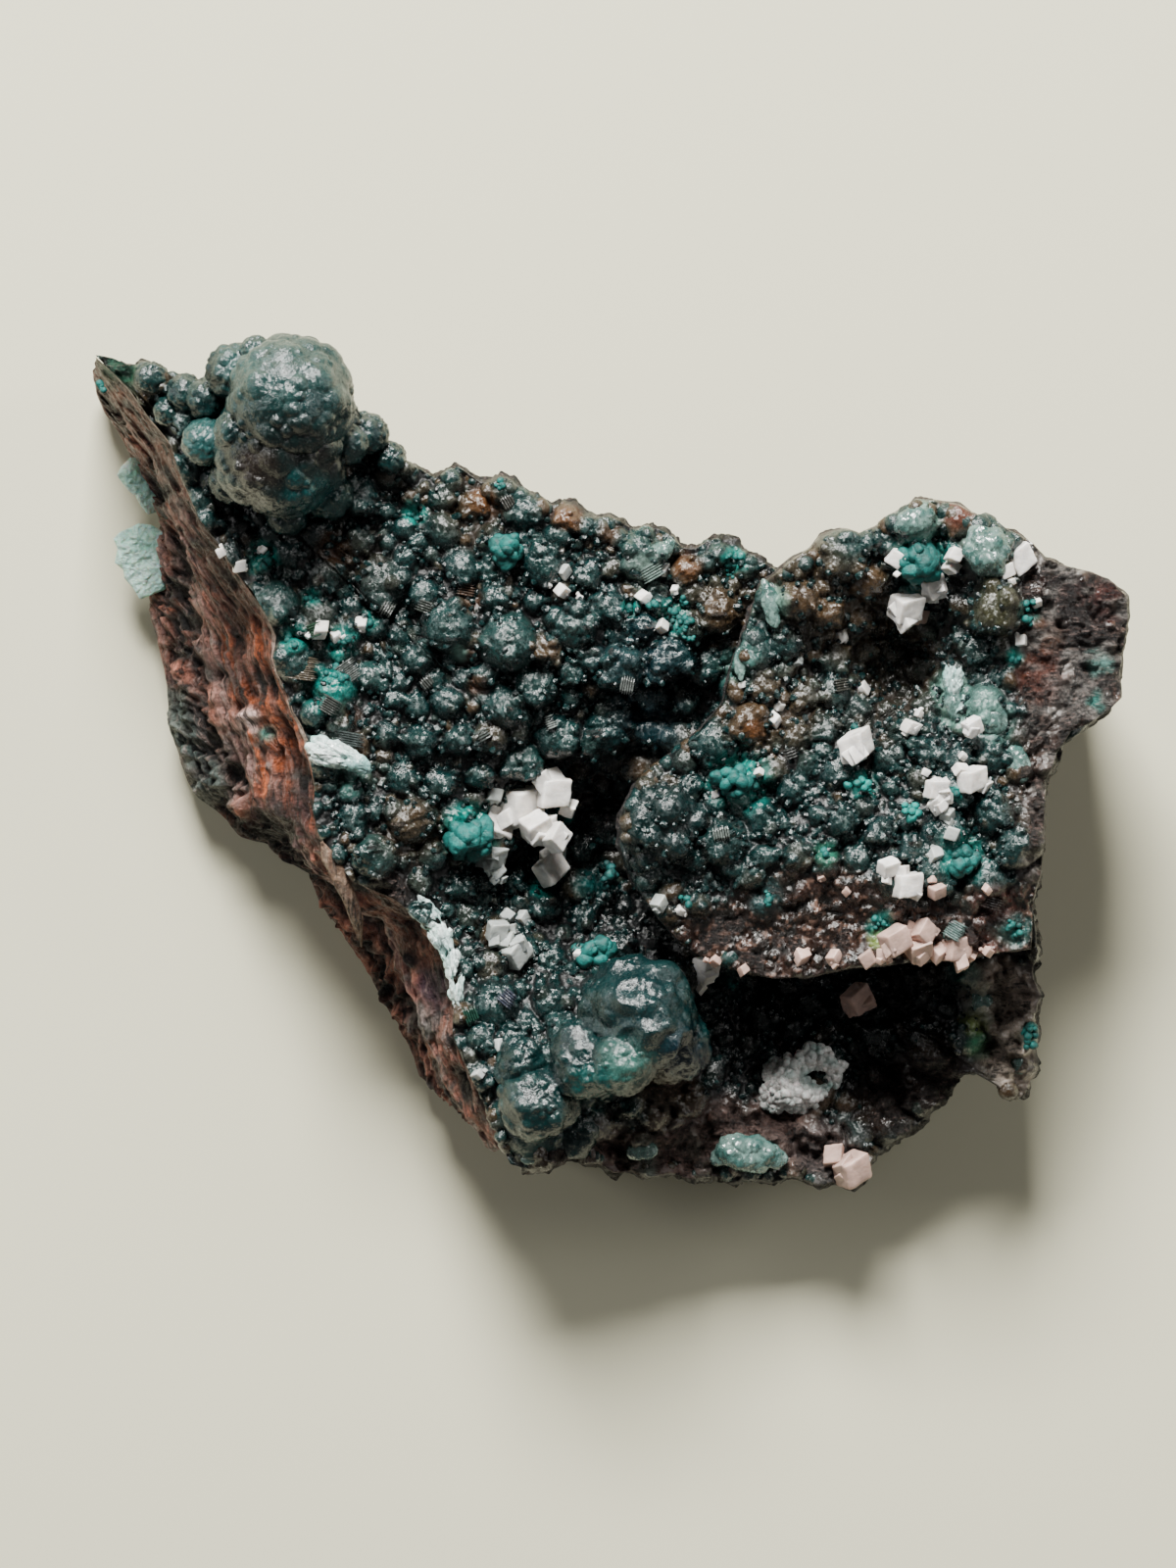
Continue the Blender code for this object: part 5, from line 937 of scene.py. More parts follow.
# Stains on the shelf; the near black patches in its two dips are painted shade.
SHELF_STAINS_AND_PAINTED_SHADE = (
    (14.4, 12.2, 3.4, OLIVE_BROWN, 0.65), (21.0, 7.4, 3.6, OLIVE_BROWN, 0.6),
    (27.0, 11.0, 2.0, (0.03, 0.034, 0.016), 0.6), (12.6, 4.0, 3.0, OLIVE_BROWN, 0.6),
    (17.4, 9.6, 2.8, OLIVE_BROWN, 0.6), (18.0, 2.6, 2.6, (0.014, 0.012, 0.009), 0.5),
    (9.0, -4.0, 2.6, TEAL_BODY, 0.4), (4.0, -4.4, 4.2, (0.0010, 0.009, 0.009), 0.8), (24.4, 12.2, 1.6, PAINTED_SHADE_BLACK, 0.9), (20.8, 6.4, 2.2, PAINTED_SHADE_BLACK, 0.6),
    (22.0, 14.3, 2.0, TURQUOISE, 0.6), (29.4, 10.6, 0.8, TURQUOISE, 0.7),
    (28.4, 7.5, 0.6, TURQUOISE, 0.9), (9.6, -0.9, 1.9, TURQUOISE, 0.7),
    (18.0, -1.2, 0.9, TURQUOISE, 0.7), (24.7, -6.2, 1.5, TURQUOISE, 0.6),
    (24.1, -1.9, 0.6, TURQUOISE, 0.9), (28.2, -11.2, 1.3, (0.01, 0.10, 0.09), 0.8),
    (15.5, 10.6, 1.6, OLIVE_BROWN, 0.8), (18.3, 12.7, 1.5, OLIVE_BROWN, 0.8),
    (10.4, 3.0, 1.8, OLIVE_BROWN, 0.9), (10.6, 2.5, 0.7, ORANGE_BROWN, 0.8),
    (24.4, 17.4, 1.3, (0.09, 0.03, 0.02), 0.8), (26.4, 15.0, 1.6, (0.16, 0.22, 0.18), 0.7),
    (21.6, 17.0, 1.4, (0.16, 0.26, 0.21), 0.7), (11.6, 11.2, 1.2, (0.14, 0.26, 0.21), 0.8),
    (24.0, 5.5, 1.1, (0.12, 0.26, 0.21), 0.8), (24.4, 3.6, 1.1, (0.12, 0.26, 0.21), 0.8),
    (26.6, 3.6, 1.6, (0.10, 0.20, 0.17), 0.8), (9.4, 7.2, 1.3, AQUA, 0.8),
    (19.3, -10.9, 0.9, TURQUOISE, 0.7), (19.2, -11.8, 0.7, (0.14, 0.2, 0.04), 0.8),
    (11.5, -9.0, 1.1, (0.01, 0.05, 0.05), 0.8), (15.5, -6.0, 0.8, (0.02, 0.16, 0.10), 0.6),
    (27.0, -9.5, 1.4, (0.08, 0.025, 0.02), 0.7), (26.6, -13.0, 1.6, (0.09, 0.03, 0.022), 0.7),
    (31.5, 11.5, 3.0, (0.014, 0.007, 0.006), 0.9), (34.8, 11.4, 1.8, (0.05, 0.010, 0.007), 0.8),
    (30.6, 6.4, 1.9, (0.10, 0.026, 0.014), 0.9), (33.2, 8.4, 2.4, (0.014, 0.010, 0.009), 0.9),
    (32.6, 5.0, 1.9, (0.14, 0.13, 0.12), 0.8), (30.6, 1.6, 2.0, (0.035, 0.024, 0.02), 0.8),
    (30.2, -2.6, 2.0, (0.035, 0.024, 0.02), 0.7), (34.2, 7.2, 0.9, (0.12, 0.3, 0.26), 0.8),
    (34.0, 4.4, 0.7, TURQUOISE, 0.8), (30.6, 9.0, 1.2, (0.10, 0.05, 0.03), 0.7),
)
# The rind of brown druse along the lip, from west to east: (x, y) of its upper border
LIP_BORDER = ((1.0, -9.4), (4.0, -9.0), (8.0, -9.4), (10.4, -8.0), (13.0, -6.6), (16.4, -6.2),
              (19.4, -8.0), (23.6, -9.4), (26.0, -8.0), (31.0, -7.4))

shelf_height = relief(SHELF_SPOTS, MAP_X, MAP_Y) + CRUST
shelf_height += 0.45 * grain(MAP_X, MAP_Y, 5.0, 3.4, 51) + 0.3 * grain(MAP_X, MAP_Y, 5.0, 1.2, 52) - 0.8
for swell_x, swell_y, reach, rise in SHELF_SWELLS:
    away = ((MAP_X - swell_x) ** 2 + (MAP_Y - swell_y) ** 2) / reach ** 2
    shelf_height += rise * np.exp(-1.5 * away ** 1.5)
shelf_crown = np.zeros(shelf_height.shape)
shelf_tone = np.zeros(shelf_height.shape)
shelf_area = inside(list(SHELF_OUTLINE), MAP_X, MAP_Y)
lip_y = np.interp(MAP_X, *np.array(LIP_BORDER).T) + 0.8 * grain(MAP_X, MAP_Y, 0.0, 1.4, 53)
lip = np.clip((lip_y - MAP_Y) / 1.2, 0.0, 1.0)
corner = np.clip((MAP_X - 28.8 - 0.6 * grain(MAP_X, MAP_Y, 0.0, 1.6, 54)) / 0.8, 0.0, 1.0)
corner = corner * (MAP_Y > -8.0)
crusted = (lip < 0.3) & (corner < 0.3)
shelf_chance = np.random.default_rng(19)
shelf_fill = scatter_botryoids(shelf_chance, shelf_area & crusted, SHELF_LUMPS, FILL_ROUNDS)
shelf_lumps = list(SHELF_LUMPS) + shelf_fill
stand_botryoids(shelf_height, shelf_crown, shelf_tone, shelf_lumps)
stand_botryoids(shelf_height, shelf_crown, shelf_tone, LOBE_BUDS + tuple(buds(
    shelf_chance, shelf_lumps)), 0.6)
shelf_height -= 1.1 * np.clip((lip_y - MAP_Y) / 4.0, 0.0, 1.0) ** 1.5
druse_fill = scatter_botryoids(shelf_chance, shelf_area & (lip > 0.3), (),
                               ((500, 0.6, 1.0), (4000, 0.28, 0.6), (9000, 0.15, 0.28)), 0.62)
stand_botryoids(shelf_height, shelf_crown, shelf_tone, druse_fill, 0.8)
bent = MAP_Y + 1.6 * grain(MAP_X, MAP_Y, 0.0, 3.2, 67)
layers = grain(MAP_X * 0.4, bent * 1.2, 0.0, 1.3, 61) + 0.7 * grain(MAP_X * 0.8, bent * 1.5, 3.0, 0.7, 62)
shelf_height += corner * (0.5 * layers + 0.25 * grain(MAP_X, MAP_Y, 3.0, 0.45, 63))
shelf_beads = low_beads(shelf_chance, shelf_crown, (1, 36, -14, 18), 5000)
stand_botryoids(shelf_height, shelf_crown, shelf_tone, shelf_beads, 0.45)
shelf_height += 0.06 * grain(MAP_X, MAP_Y, shelf_height, 0.3, 59) * (0.4 + shelf_crown)

x, y, share = sheet_places(list(SHELF_OUTLINE), SHELF_CENTRE, SHELF_COUNT)
# The grid's inner part is the top, squeezed out to the edge, and its outer part goes down the side
top = np.clip(share / SHELF_TOP_SHARE, 0.0, 1.0)
down = np.clip((share - SHELF_TOP_SHARE) / (1.0 - SHELF_TOP_SHARE), 0.0, 1.0)
outer_x = SHELF_CENTRE[0] + (x - SHELF_CENTRE[0]) / np.maximum(share, 1e-6)
outer_y = SHELF_CENTRE[1] + (y - SHELF_CENTRE[1]) / np.maximum(share, 1e-6)
x = SHELF_CENTRE[0] + (outer_x - SHELF_CENTRE[0]) * top
y = SHELF_CENTRE[1] + (outer_y - SHELF_CENTRE[1]) * top
height = read_map(shelf_height, x, y)
south = np.clip((-7.0 - outer_y) / 2.0, 0.0, 1.0)
west = np.clip((11.0 - outer_x) / 2.0, 0.0, 1.0)
depth = 1.8 + 2.6 * south
inset = (depth * down ** 1.3 - 0.35 * np.sin(np.pi * np.clip(3.0 * down, 0.0, 1.0)))
inset = inset + 0.5 * grain(outer_x, outer_y, 14.0 * down, 1.3, 55) * np.clip(4.0 * down, 0, 1)
inset = inset + 0.16 * grain(outer_x, outer_y, 14.0 * down, 0.4, 56) * np.clip(4.0 * down, 0, 1)
toward_x, toward_y = SHELF_CENTRE[0] - outer_x, SHELF_CENTRE[1] - outer_y
length = np.maximum(np.hypot(toward_x, toward_y), 1e-6)
x = x + toward_x / length * inset * (down > 0)
y = y + toward_y / length * inset * (down > 0)
height = height * (1.0 - down ** 0.9) + SHELF_FOOT_Z * down ** 0.9
crown = read_map(shelf_crown, x, y) * (down < 0.05)
tone = read_map(shelf_tone, x, y)
lip_share = read_map(lip, x, y)
corner_share = read_map(corner, x, y)
colours = crust_colours(x, y, height, crown, tone, ())
druse = blend((0.020, 0.009, 0.006), (0.006, 0.005, 0.004), 0.5 + 1.2 * grain(x, y, height, 0.6, 57))
druse = blend(druse, (0.15, 0.085, 0.062), 1.5 * grain(x, y, height, 0.28, 58) - 0.35)
colours = blend(colours, druse, np.maximum(lip_share, corner_share * 0.9))
colours = stained(colours, x, y, SHELF_STAINS_AND_PAINTED_SHADE)
pale_layers = 1.5 * grain(x * 0.7, y * 1.2, 0.0, 0.9, 66) - 0.1
colours = blend(colours, (0.19, 0.175, 0.16), corner_share * np.clip(pale_layers, 0.0, 0.8))
# Painted shade: the shelf's sides darken towards near black, most on the south side over the cave and on the
# west
side_druse_and_painted_shade = blend(druse, PAINTED_SHADE_BLACK, 0.25 + 0.75 * south * down + 0.6 * west)
colours = blend(colours, side_druse_and_painted_shade, np.clip(down * 18.0, 0.0, 0.92))
points = np.stack((x, y, height), -1)
middle = SHELF_COUNT // 2
bare = np.maximum(np.maximum(corner_share * (outer_x > 29.2) * (0.75 + 0.9 * grain(x, y, height, 1.0, 65)),
                             down * 12.0),
                  lip_share * (0.25 + 0.7 * grain(x, y, height, 1.2, 60)))
for number, rows in enumerate((slice(0, middle + 1), slice(middle, SHELF_COUNT))):
    faces = grid_faces(*x[rows].shape)
    rocky = bare[rows].reshape(-1)[faces].mean(axis=1) > 0.5
    part = piece(f"shelf_{number + 1}", points[rows], faces, WILLEMITE, colours[rows],
                 weave=points[rows] * (0.35, 1.3, 1.3), rocky=rocky)
    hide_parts("willemite_crust")


# ---- Large botryoids ---------------------------------------------------------
# The biggest balls of willemite: a cluster that stands over the upper left edge, and the smooth
# lobes below the hollow. Each is a sphere with smaller ones grown through its skin.
# (x, y, z, radius, how far its beads stand out, tone)
BALLS = (
    (-21.0, 24.9, 24.4, 4.2, 0.05, 0.25), (-21.8, 21.6, 22.4, 4.4, 0.05, 0.0),
    (-25.0, 27.0, 22.0, 1.8, 0.10, 0.3), (-23.4, 28.2, 23.2, 1.1, 0.08, 0.3),
    (-27.0, 22.2, 21.0, 1.6, 0.05, 0.9), (-24.7, 22.8, 24.6, 1.4, 0.06, 0.2),
    (-17.3, 22.1, 22.2, 1.4, 0.08, 0.2), (-15.8, 22.8, 20.6, 1.3, 0.08, 0.1),
    (-18.6, 18.6, 20.0, 1.6, 0.08, 0.6), (-30.8, 26.7, 19.0, 1.1, 0.08, 0.2),
    (-28.4, 25.6, 19.6, 1.3, 0.08, 0.2), (-14.4, 21.2, 19.4, 1.1, 0.08, 0.1),
    (-26.9, 25.2, 20.4, 1.4, 0.08, 0.1), (-29.6, 24.4, 19.0, 1.0, 0.08, 0.4),
    (-25.2, 19.6, 20.4, 1.5, 0.08, 0.0), (-21.4, 17.4, 19.6, 1.4, 0.08, 0.5),
)
LOBES = (
    (2.8, -17.2, 16.6, 4.1, 0.03, 0.1), (-0.9, -20.4, 17.0, 2.7, 0.05, 0.1),
    (-4.2, -23.2, 15.6, 2.8, 0.05, 0.35), (-4.4, -25.0, 13.4, 2.5, 0.05, 0.35),
    (1.4, -20.2, 18.2, 2.4, 0.04, 0.3), (4.9, -19.2, 15.4, 2.6, 0.04, 0.0),
    (-2.0, -25.2, 13.0, 2.0, 0.05, 0.1), (-5.4, -20.6, 15.6, 1.9, 0.06, 0.1),
)


def sphere_grid(rows, columns):
    """Unit directions over a ball from its lower to its upper pole, with faces that close it."""
    rise = np.linspace(-0.5 * np.pi, 0.5 * np.pi, rows + 2)[1:-1, None]
    turn = np.linspace(0.0, 2.0 * np.pi, columns, endpoint=False)[None, :]
    ring = np.stack((np.cos(rise) * np.cos(turn), np.cos(rise) * np.sin(turn),
                     np.sin(rise) + 0.0 * turn), -1).reshape(-1, 3)
    ways = np.concatenate((ring, [(0.0, 0.0, -1.0), (0.0, 0.0, 1.0)]))
    column = np.arange(columns)
    after = (column + 1) % columns
    lower = np.stack((np.full(columns, rows * columns), after, column), -1)
    last = (rows - 1) * columns
    upper = np.stack((np.full(columns, rows * columns + 1), last + column, last + after), -1)
    return ways, grid_faces(rows, columns, True), np.concatenate((lower, upper))


def random_ways(chance, count):
    """Unit directions, evenly spread over a sphere by chance."""
    ways = chance.normal(size=(count, 3))
    return ways / np.linalg.norm(ways, axis=1)[:, None]


def botryoid(ways, radius, stand, chance, count=60):
    """Distance to the skin in each direction: the ball itself, or the outermost bead that the
    direction cuts. Returns it and how high on its own bead each point lies."""
    reach = np.full(len(ways), radius)
    crown = np.full(len(ways), 0.35)
    for size, number in ((0.36, 0.5), (0.22, 1.0), (0.11, 0.8)):
        for way in random_ways(chance, int(count * number)):
            bead = radius * size * chance.uniform(0.7, 1.2)
            centre = radius * (1.0 + stand) - bead * 0.92
            along = ways @ way
            room = bead ** 2 - centre ** 2 * (1.0 - along ** 2)
            hits = np.where((room > 0.0) & (along > 0.0), along * centre + np.sqrt(np.maximum(room, 0)), 0.0)
            better = hits > reach
            reach = np.where(better, hits, reach)
            crown = np.where(better, np.clip(room / bead ** 2, 0, 1), crown)
    return reach, crown


def ball_cluster(name, balls, seed, stains, columns_each, sway):
    """Several botryoids in one mesh, each grown through with beads, overlapping one another."""
    chance = np.random.default_rng(seed)
    all_points, all_quads, all_caps, all_colours = [], [], [], []
    offset = 0
    for x, y, z, radius, stand, tone in balls:
        columns = int(columns_each * max(radius / 4.2, 0.35))
        ways, quads, caps = sphere_grid(columns // 2, columns)
        reach, crown = botryoid(ways, radius, stand, chance)
        place = (ways * radius + (x, y, z)).T
        fold = 1.0 - 2.5 * abs(grain(*place, 1.9, seed + 2))
        reach = reach * (1.0 + sway * (grain(*place, 1.8, seed) + 0.5 * fold))
        reach = reach + 0.03 * grain(*(ways * radius + (x, y, z)).T, 0.22, seed + 1)
        points = ways * reach[:, None] + (x, y, z)
        # Painted light and shade: points that face up count as higher on the crown, so they get more sheen and
        # the undersides fall to near black
        up = np.clip(0.55 + 0.45 * ways[:, 2], 0, 1)
        colours = crust_colours(points[:, 0], points[:, 1], points[:, 2], crown * up,
                                np.full(len(ways), tone), stains)
        all_points.append(points)
        all_quads.append(quads + offset)
        all_caps.append(caps + offset)
        all_colours.append(colours)
        offset += len(points)
    part = piece(name, np.concatenate(all_points),
                 [np.concatenate(all_quads), np.concatenate(all_caps)], GLASSY_WILLEMITE,
                 np.concatenate(all_colours))
    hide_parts("willemite_crust")
    return part


# Stains on the cluster with painted light: paler teal over its upper part towards the lamp, near black painted
# shade over its lower part, a painted teal glow at its lower right, and real brown patches.
BALL_STAINS_AND_PAINTED_LIGHT = (
    (-21.8, 20.4, 4.2, (0.0015, 0.014, 0.014), 0.6),
    (-21.0, 26.6, 4.0, (0.014, 0.042, 0.039), 0.65), (-24.6, 27.4, 1.8, (0.022, 0.060, 0.056), 0.7),
    (-21.6, 20.8, 3.4, (0.002, 0.005, 0.0045), 0.85), (-23.4, 20.0, 1.6, (0.018, 0.009, 0.006), 0.6),
    (-18.6, 20.8, 1.2, (0.018, 0.009, 0.007), 0.5), (-19.4, 18.3, 1.8, (0.003, 0.050, 0.050), 0.7),
    (-27.2, 22.2, 1.6, (0.018, 0.075, 0.075), 0.45), (-17.4, 22.2, 1.2, (0.03, 0.07, 0.07), 0.5),
    (-24.0, 23.4, 1.0, (0.004, 0.014, 0.015), 0.6), (-19.4, 24.6, 1.1, (0.004, 0.014, 0.015), 0.5))
LOBE_STAINS = (
    (1.0, -18.4, 7.5, (0.0015, 0.014, 0.014), 0.5),
    (2.0, -20.3, 1.7, (0.05, 0.15, 0.12), 0.5), (-0.5, -22.0, 1.6, (0.008, 0.085, 0.075), 0.5),
    (5.8, -20.0, 1.8, (0.002, 0.008, 0.016), 0.8), (3.2, -16.4, 3.2, (0.006, 0.022, 0.024), 0.5),
    (4.0, -22.6, 1.8, OLIVE_BROWN, 0.6), (-4.6, -26.6, 1.4, (0.03, 0.09, 0.075), 0.5))
ball_cluster("ball_cluster", BALLS, 61, BALL_STAINS_AND_PAINTED_LIGHT, 196, 0.035)
ball_cluster("lower_lobes", LOBES, 62, LOBE_STAINS, 180, 0.12)


# ---- Dolomite ----------------------------------------------------------------
# White to pinkish rhombs of dolomite grew last, alone or a few together: slightly curved
# faces, worn edges and a pearly skin.
DOLOMITE_WHITE = (0.88, 0.84, 0.79)
DOLOMITE_PINK = (0.56, 0.38, 0.32)
DOLOMITE_GREY = (0.42, 0.45, 0.43)
RHOMB_BEVEL = 0.16
RHOMB_WIDTH = 0.94
RHOMB_PULL = 0.24
# Rows: x, y, height above the seat, edge, turn in degrees
# (CAD node, colour, rows)
RHOMB_GROUPS = (
    ("dolomite_cluster", DOLOMITE_WHITE, (
        (-5.3, -2.6, 1.5, 2.6, (20, 35, 10)), (-3.0, -1.8, 2.8, 2.1, (8, 12, 0)),
        (-6.9, -4.1, 1.2, 2.1, (15, 25, 80)), (-4.2, -4.2, 2.9, 1.9, (40, 10, 30)),
        (-2.8, -4.9, 3.4, 1.6, (30, 20, 60)), (-3.2, -0.8, 2.6, 1.3, (70, 30, 20)))),
    ("dolomite_west", DOLOMITE_GREY, (
        (-7.4, -6.4, 1.0, 1.5, (25, 50, 10)), (-7.2, -7.3, 0.6, 1.2, (10, 20, 40)))),
    ("dolomite_hollow", DOLOMITE_WHITE, ((-3.4, -6.7, 2.2, 1.9, (18, 22, 45)),)),
    ("dolomite_south", DOLOMITE_GREY, (
        (-7.1, -11.4, 0.9, 1.4, (20, 10, 0)), (-5.9, -12.9, 0.7, 1.8, (35, 20, 50)))),
    ("dolomite_shelf", DOLOMITE_WHITE, ((17.5, 1.4, 0.8, 1.9, (20, 60, 35)),)),
    ("dolomite_twins", DOLOMITE_WHITE, (
        (23.0, -1.4, 0.8, 1.3, (10, 20, 0)), (23.2, -2.3, 0.7, 1.2, (25, 40, 60)))),
    ("dolomite_east", DOLOMITE_WHITE, ((25.4, -0.8, 0.8, 1.6, (20, 30, 20)),)),
    ("dolomite_band", DOLOMITE_WHITE, ((25.4, 2.7, 0.9, 1.2, (25, 10, 30)),)),
    ("dolomite_low_shelf", DOLOMITE_WHITE, (
        (19.7, -7.0, 0.7, 1.2, (35, 20, 15)), (21.0, -8.2, 0.7, 1.7, (10, 15, 5)))),
    ("dolomite_lip", DOLOMITE_PINK, (
        (20.3, -12.0, 0.6, 1.8, (20, 15, 30)), (22.2, -11.5, 0.4, 1.5, (30, 20, 60)),
        (21.9, -12.5, 0.0, 1.6, (45, 10, 20)))),
    ("dolomite_east_lip", DOLOMITE_PINK, ((24.4, -12.4, -0.5, 1.7, (15, 30, 10)),)),
    ("dolomite_cave", DOLOMITE_PINK, ((18.2, -16.4, 1.6, 1.8, (25, 15, 40)),)),
    ("dolomite_lobe", DOLOMITE_WHITE, ((7.4, -14.6, 2.2, 1.5, (20, 40, 5)),)),
    ("dolomite_teal_patch", DOLOMITE_WHITE, (
        (22.8, 11.9, 0.9, 1.5, (15, 25, 30)), (21.0, 10.6, 0.8, 1.9, (30, 20, 10)))),
    ("dolomite_north_slab", DOLOMITE_WHITE, ((28.6, 14.2, 0.8, 1.8, (15, 10, 35)),)),
    ("dolomite_lower_edge", DOLOMITE_PINK, ((17.4, -28.0, 0.4, 2.1, (25, 20, 30)),)),
)


def cube_grid(steps):
    """Points over a cube from -1 to 1, with steps along each side, joined at its edges."""
    u, v = np.meshgrid(steps, steps)
    one = np.ones(u.shape)
    sides = [(u, v, one), (v, u, -one), (one, u, v), (-one, v, u), (v, one, u), (u, -one, v)]
    points = np.concatenate([np.stack(side, -1).reshape(-1, 3) for side in sides])
    faces = grid_faces(*u.shape)
    faces = np.concatenate([faces + number * u.size for number in range(6)])
    unique, places = np.unique(np.round(points, 6), axis=0, return_inverse=True)
    return unique, places.reshape(-1)[faces]


def rhomb_points(cube, edge, turn, seed):
    """Rhomb: a cube with rounded edges and gently saddled faces, pulled along a diagonal."""
    core = np.clip(cube, RHOMB_BEVEL - 1.0, 1.0 - RHOMB_BEVEL)
    away = cube - core
    length = np.maximum(np.linalg.norm(away, axis=1), 1e-9)[:, None]
    shape = core + away / length * RHOMB_BEVEL * (length > 1e-6)
    shape = shape + 0.045 * cube * (grain(*(cube.T * 1.1 + seed), 0.45, seed))[:, None]
    shape = shape + 0.02 * cube * (grain(*(cube.T * 1.1 + seed), 0.2, seed))[:, None]
    diagonal = np.ones(3) / math.sqrt(3.0)
    shape = shape * RHOMB_WIDTH + (shape @ diagonal)[:, None] * diagonal * RHOMB_PULL
    spin = np.array(Euler([math.radians(angle) for angle in turn]).to_matrix())
    return 0.5 * edge * shape @ spin.T


def dolomite_finish():
    """Pearly crystal: point colours, faint cloudy mottling, soft facets and a satin skin."""
    material, tree, shader = plain_material("dolomite")
    tint = node(tree, "ShaderNodeAttribute", attribute_name="tint")
    mottle = use_group(tree, MOTTLE, {"Color": tint.outputs["Color"], "Size": 1400.0,
                                      "Depth": 0.22})
    place = node(tree, "ShaderNodeTexCoord")
    fine = node(tree, "ShaderNodeTexNoise", {"Vector": place.outputs["Object"], "Scale": 4200.0,
                                             "Detail": 4.0})
    bump = node(tree, "ShaderNodeBump", {"Height": fine.outputs[0], "Strength": 0.35,
                                         "Distance": 0.0001})
    rough = node(tree, "ShaderNodeMapRange", {"Value": mottle.outputs["Value"], "To Min": 0.3,
                                              "To Max": 0.6})
    tree.links.new(mottle.outputs["Color"], shader.inputs["Base Color"])
    tree.links.new(rough.outputs[0], shader.inputs["Roughness"])
    tree.links.new(bump.outputs["Normal"], shader.inputs["Normal"])
    shader.inputs["Subsurface Weight"].default_value = 0.25
    shader.inputs["Subsurface Radius"].default_value = (1.0, 0.8, 0.6)
    shader.inputs["Subsurface Scale"].default_value = 0.0006
    return material


DOLOMITE = dolomite_finish()
twin_chance = np.random.default_rng(130)
FINE_CUBE = cube_grid(np.array((-1.0, -0.95, -0.84, -0.6, -0.3, 0.0, 0.3, 0.6, 0.84, 0.95, 1.0)))
for group, (name, colour, rows) in enumerate(RHOMB_GROUPS):
    low, high = (np.array(corner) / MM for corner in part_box(name))
    cube, faces = FINE_CUBE
    pieces = []
    for number, (x, y, lift, edge, turn) in enumerate(rows):
        shape = rhomb_points(cube, 0.92 * edge, turn, 7 * group + number)
        pieces.append(shape + (x, y, lift))
        for twin in range(3):
            off = twin_chance.normal(0.0, 0.3 * edge, 3) * (1.0, 1.0, 0.6)
            angles = np.array(turn) + twin_chance.uniform(-40.0, 40.0, 3)
            shape = rhomb_points(cube, edge * twin_chance.uniform(0.4, 0.62), angles, 60 + twin)
            pieces.append(shape + (x, y, lift) + off)
    points = np.concatenate(pieces)
    seat = 0.5 * (low + high) - 0.5 * (points.min(axis=0) + points.max(axis=0))
    points = points + seat
    colours = blend(colour, np.array(colour) * 0.72, 0.5 + 0.8 * grain(*points.T, 0.8, group))
    faces = np.concatenate([faces + number * len(cube) for number in range(len(pieces))])
    crystals = piece(name + "_rhombs", points, faces, DOLOMITE, colours)
    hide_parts(name)


# ---- Small rhombs ------------------------------------------------------------
# Many smaller dolomite rhombs sit alone on the balls, and a pink row lines the shelf's lip.
# (x, y, edge, colour, on the shelf)
SMALL_RHOMBS = (
    (-24.8, 13.8, 0.8, 0, 0), (-26.0, 14.7, 0.6, 0, 0), (-19.2, 9.4, 0.9, 0, 0),
    (-16.5, 9.8, 0.8, 0, 0), (-2.5, 13.4, 0.8, 2, 0), (-2.6, 12.1, 0.8, 0, 0),
    (4.4, 13.6, 0.7, 0, 0), (3.1, 11.7, 0.8, 0, 0), (4.3, 9.7, 0.8, 0, 0), (-2.7, 14.9, 0.5, 0, 0),
    (12.0, 3.2, 0.7, 0, 1), (12.3, 4.1, 0.5, 0, 1), (16.5, 8.9, 0.8, 0, 1), (18.1, 5.3, 0.9, 0, 1),
    (21.3, 2.7, 0.9, 0, 1), (21.9, 3.6, 0.5, 0, 1), (24.8, 0.7, 0.5, 0, 1), (23.7, -3.3, 0.9, 2, 1),
    (24.0, -4.6, 0.9, 2, 1), (22.9, -6.0, 0.8, 2, 1), (23.0, -8.5, 0.9, 1, 1),
    (13.9, -13.0, 0.9, 1, 1), (16.1, -13.1, 0.8, 1, 1), (18.4, -13.2, 1.0, 1, 1),
    (19.5, -12.9, 0.9, 1, 1), (23.2, -12.8, 0.9, 1, 1), (25.4, -12.9, 0.8, 1, 1),
    (26.6, -12.7, 0.6, 1, 1), (4.1, -9.4, 0.9, 2, 1), (5.6, -9.9, 0.6, 0, 1),
    (-6.5, -10.4, 0.8, 2, 0), (-5.4, -10.6, 0.8, 2, 0), (-1.5, -13.1, 0.5, 0, 0),
    (0.4, -13.0, 0.5, 0, 0), (-6.9, -19.3, 0.9, 2, 0), (-8.4, -21.3, 0.6, 2, 0),
    (20.2, 14.2, 1.1, 0, 1), (24.2, 14.4, 0.9, 0, 1), (24.0, 13.6, 0.8, 0, 1),
    (27.7, 13.3, 0.9, 0, 1), (29.8, 11.2, 0.6, 0, 1), (28.8, 8.6, 0.7, 0, 1), (22.0, 10.3, 0.9, 1, 1),
    (12.6, -28.0, 0.6, 0, 0), (-23.2, 14.9, 0.5, 0, 0), (9.9, -14.0, 0.6, 1, 1),
    (8.0, -13.4, 0.7, 1, 1), (16.9, -8.6, 0.5, 1, 1), (15.2, -7.6, 0.5, 1, 1),
    (22.3, -0.4, 0.5, 0, 1), (26.4, -8.4, 0.5, 1, 1), (10.9, -0.4, 0.5, 0, 1),
    (8.0, -1.9, 0.5, 0, 1), (9.8, 5.6, 0.4, 0, 1), (13.6, 7.2, 0.5, 2, 1), (-7.4, -2.0, 0.9, 2, 0),
    (-1.4, 11.6, 0.4, 0, 0), (5.2, 12.2, 0.5, 0, 0), (-18.2, 9.0, 0.6, 0, 0),
)
COARSE_CUBE = cube_grid(np.array((-1.0, -0.8, 0.8, 1.0)))
rhomb_chance = np.random.default_rng(120)
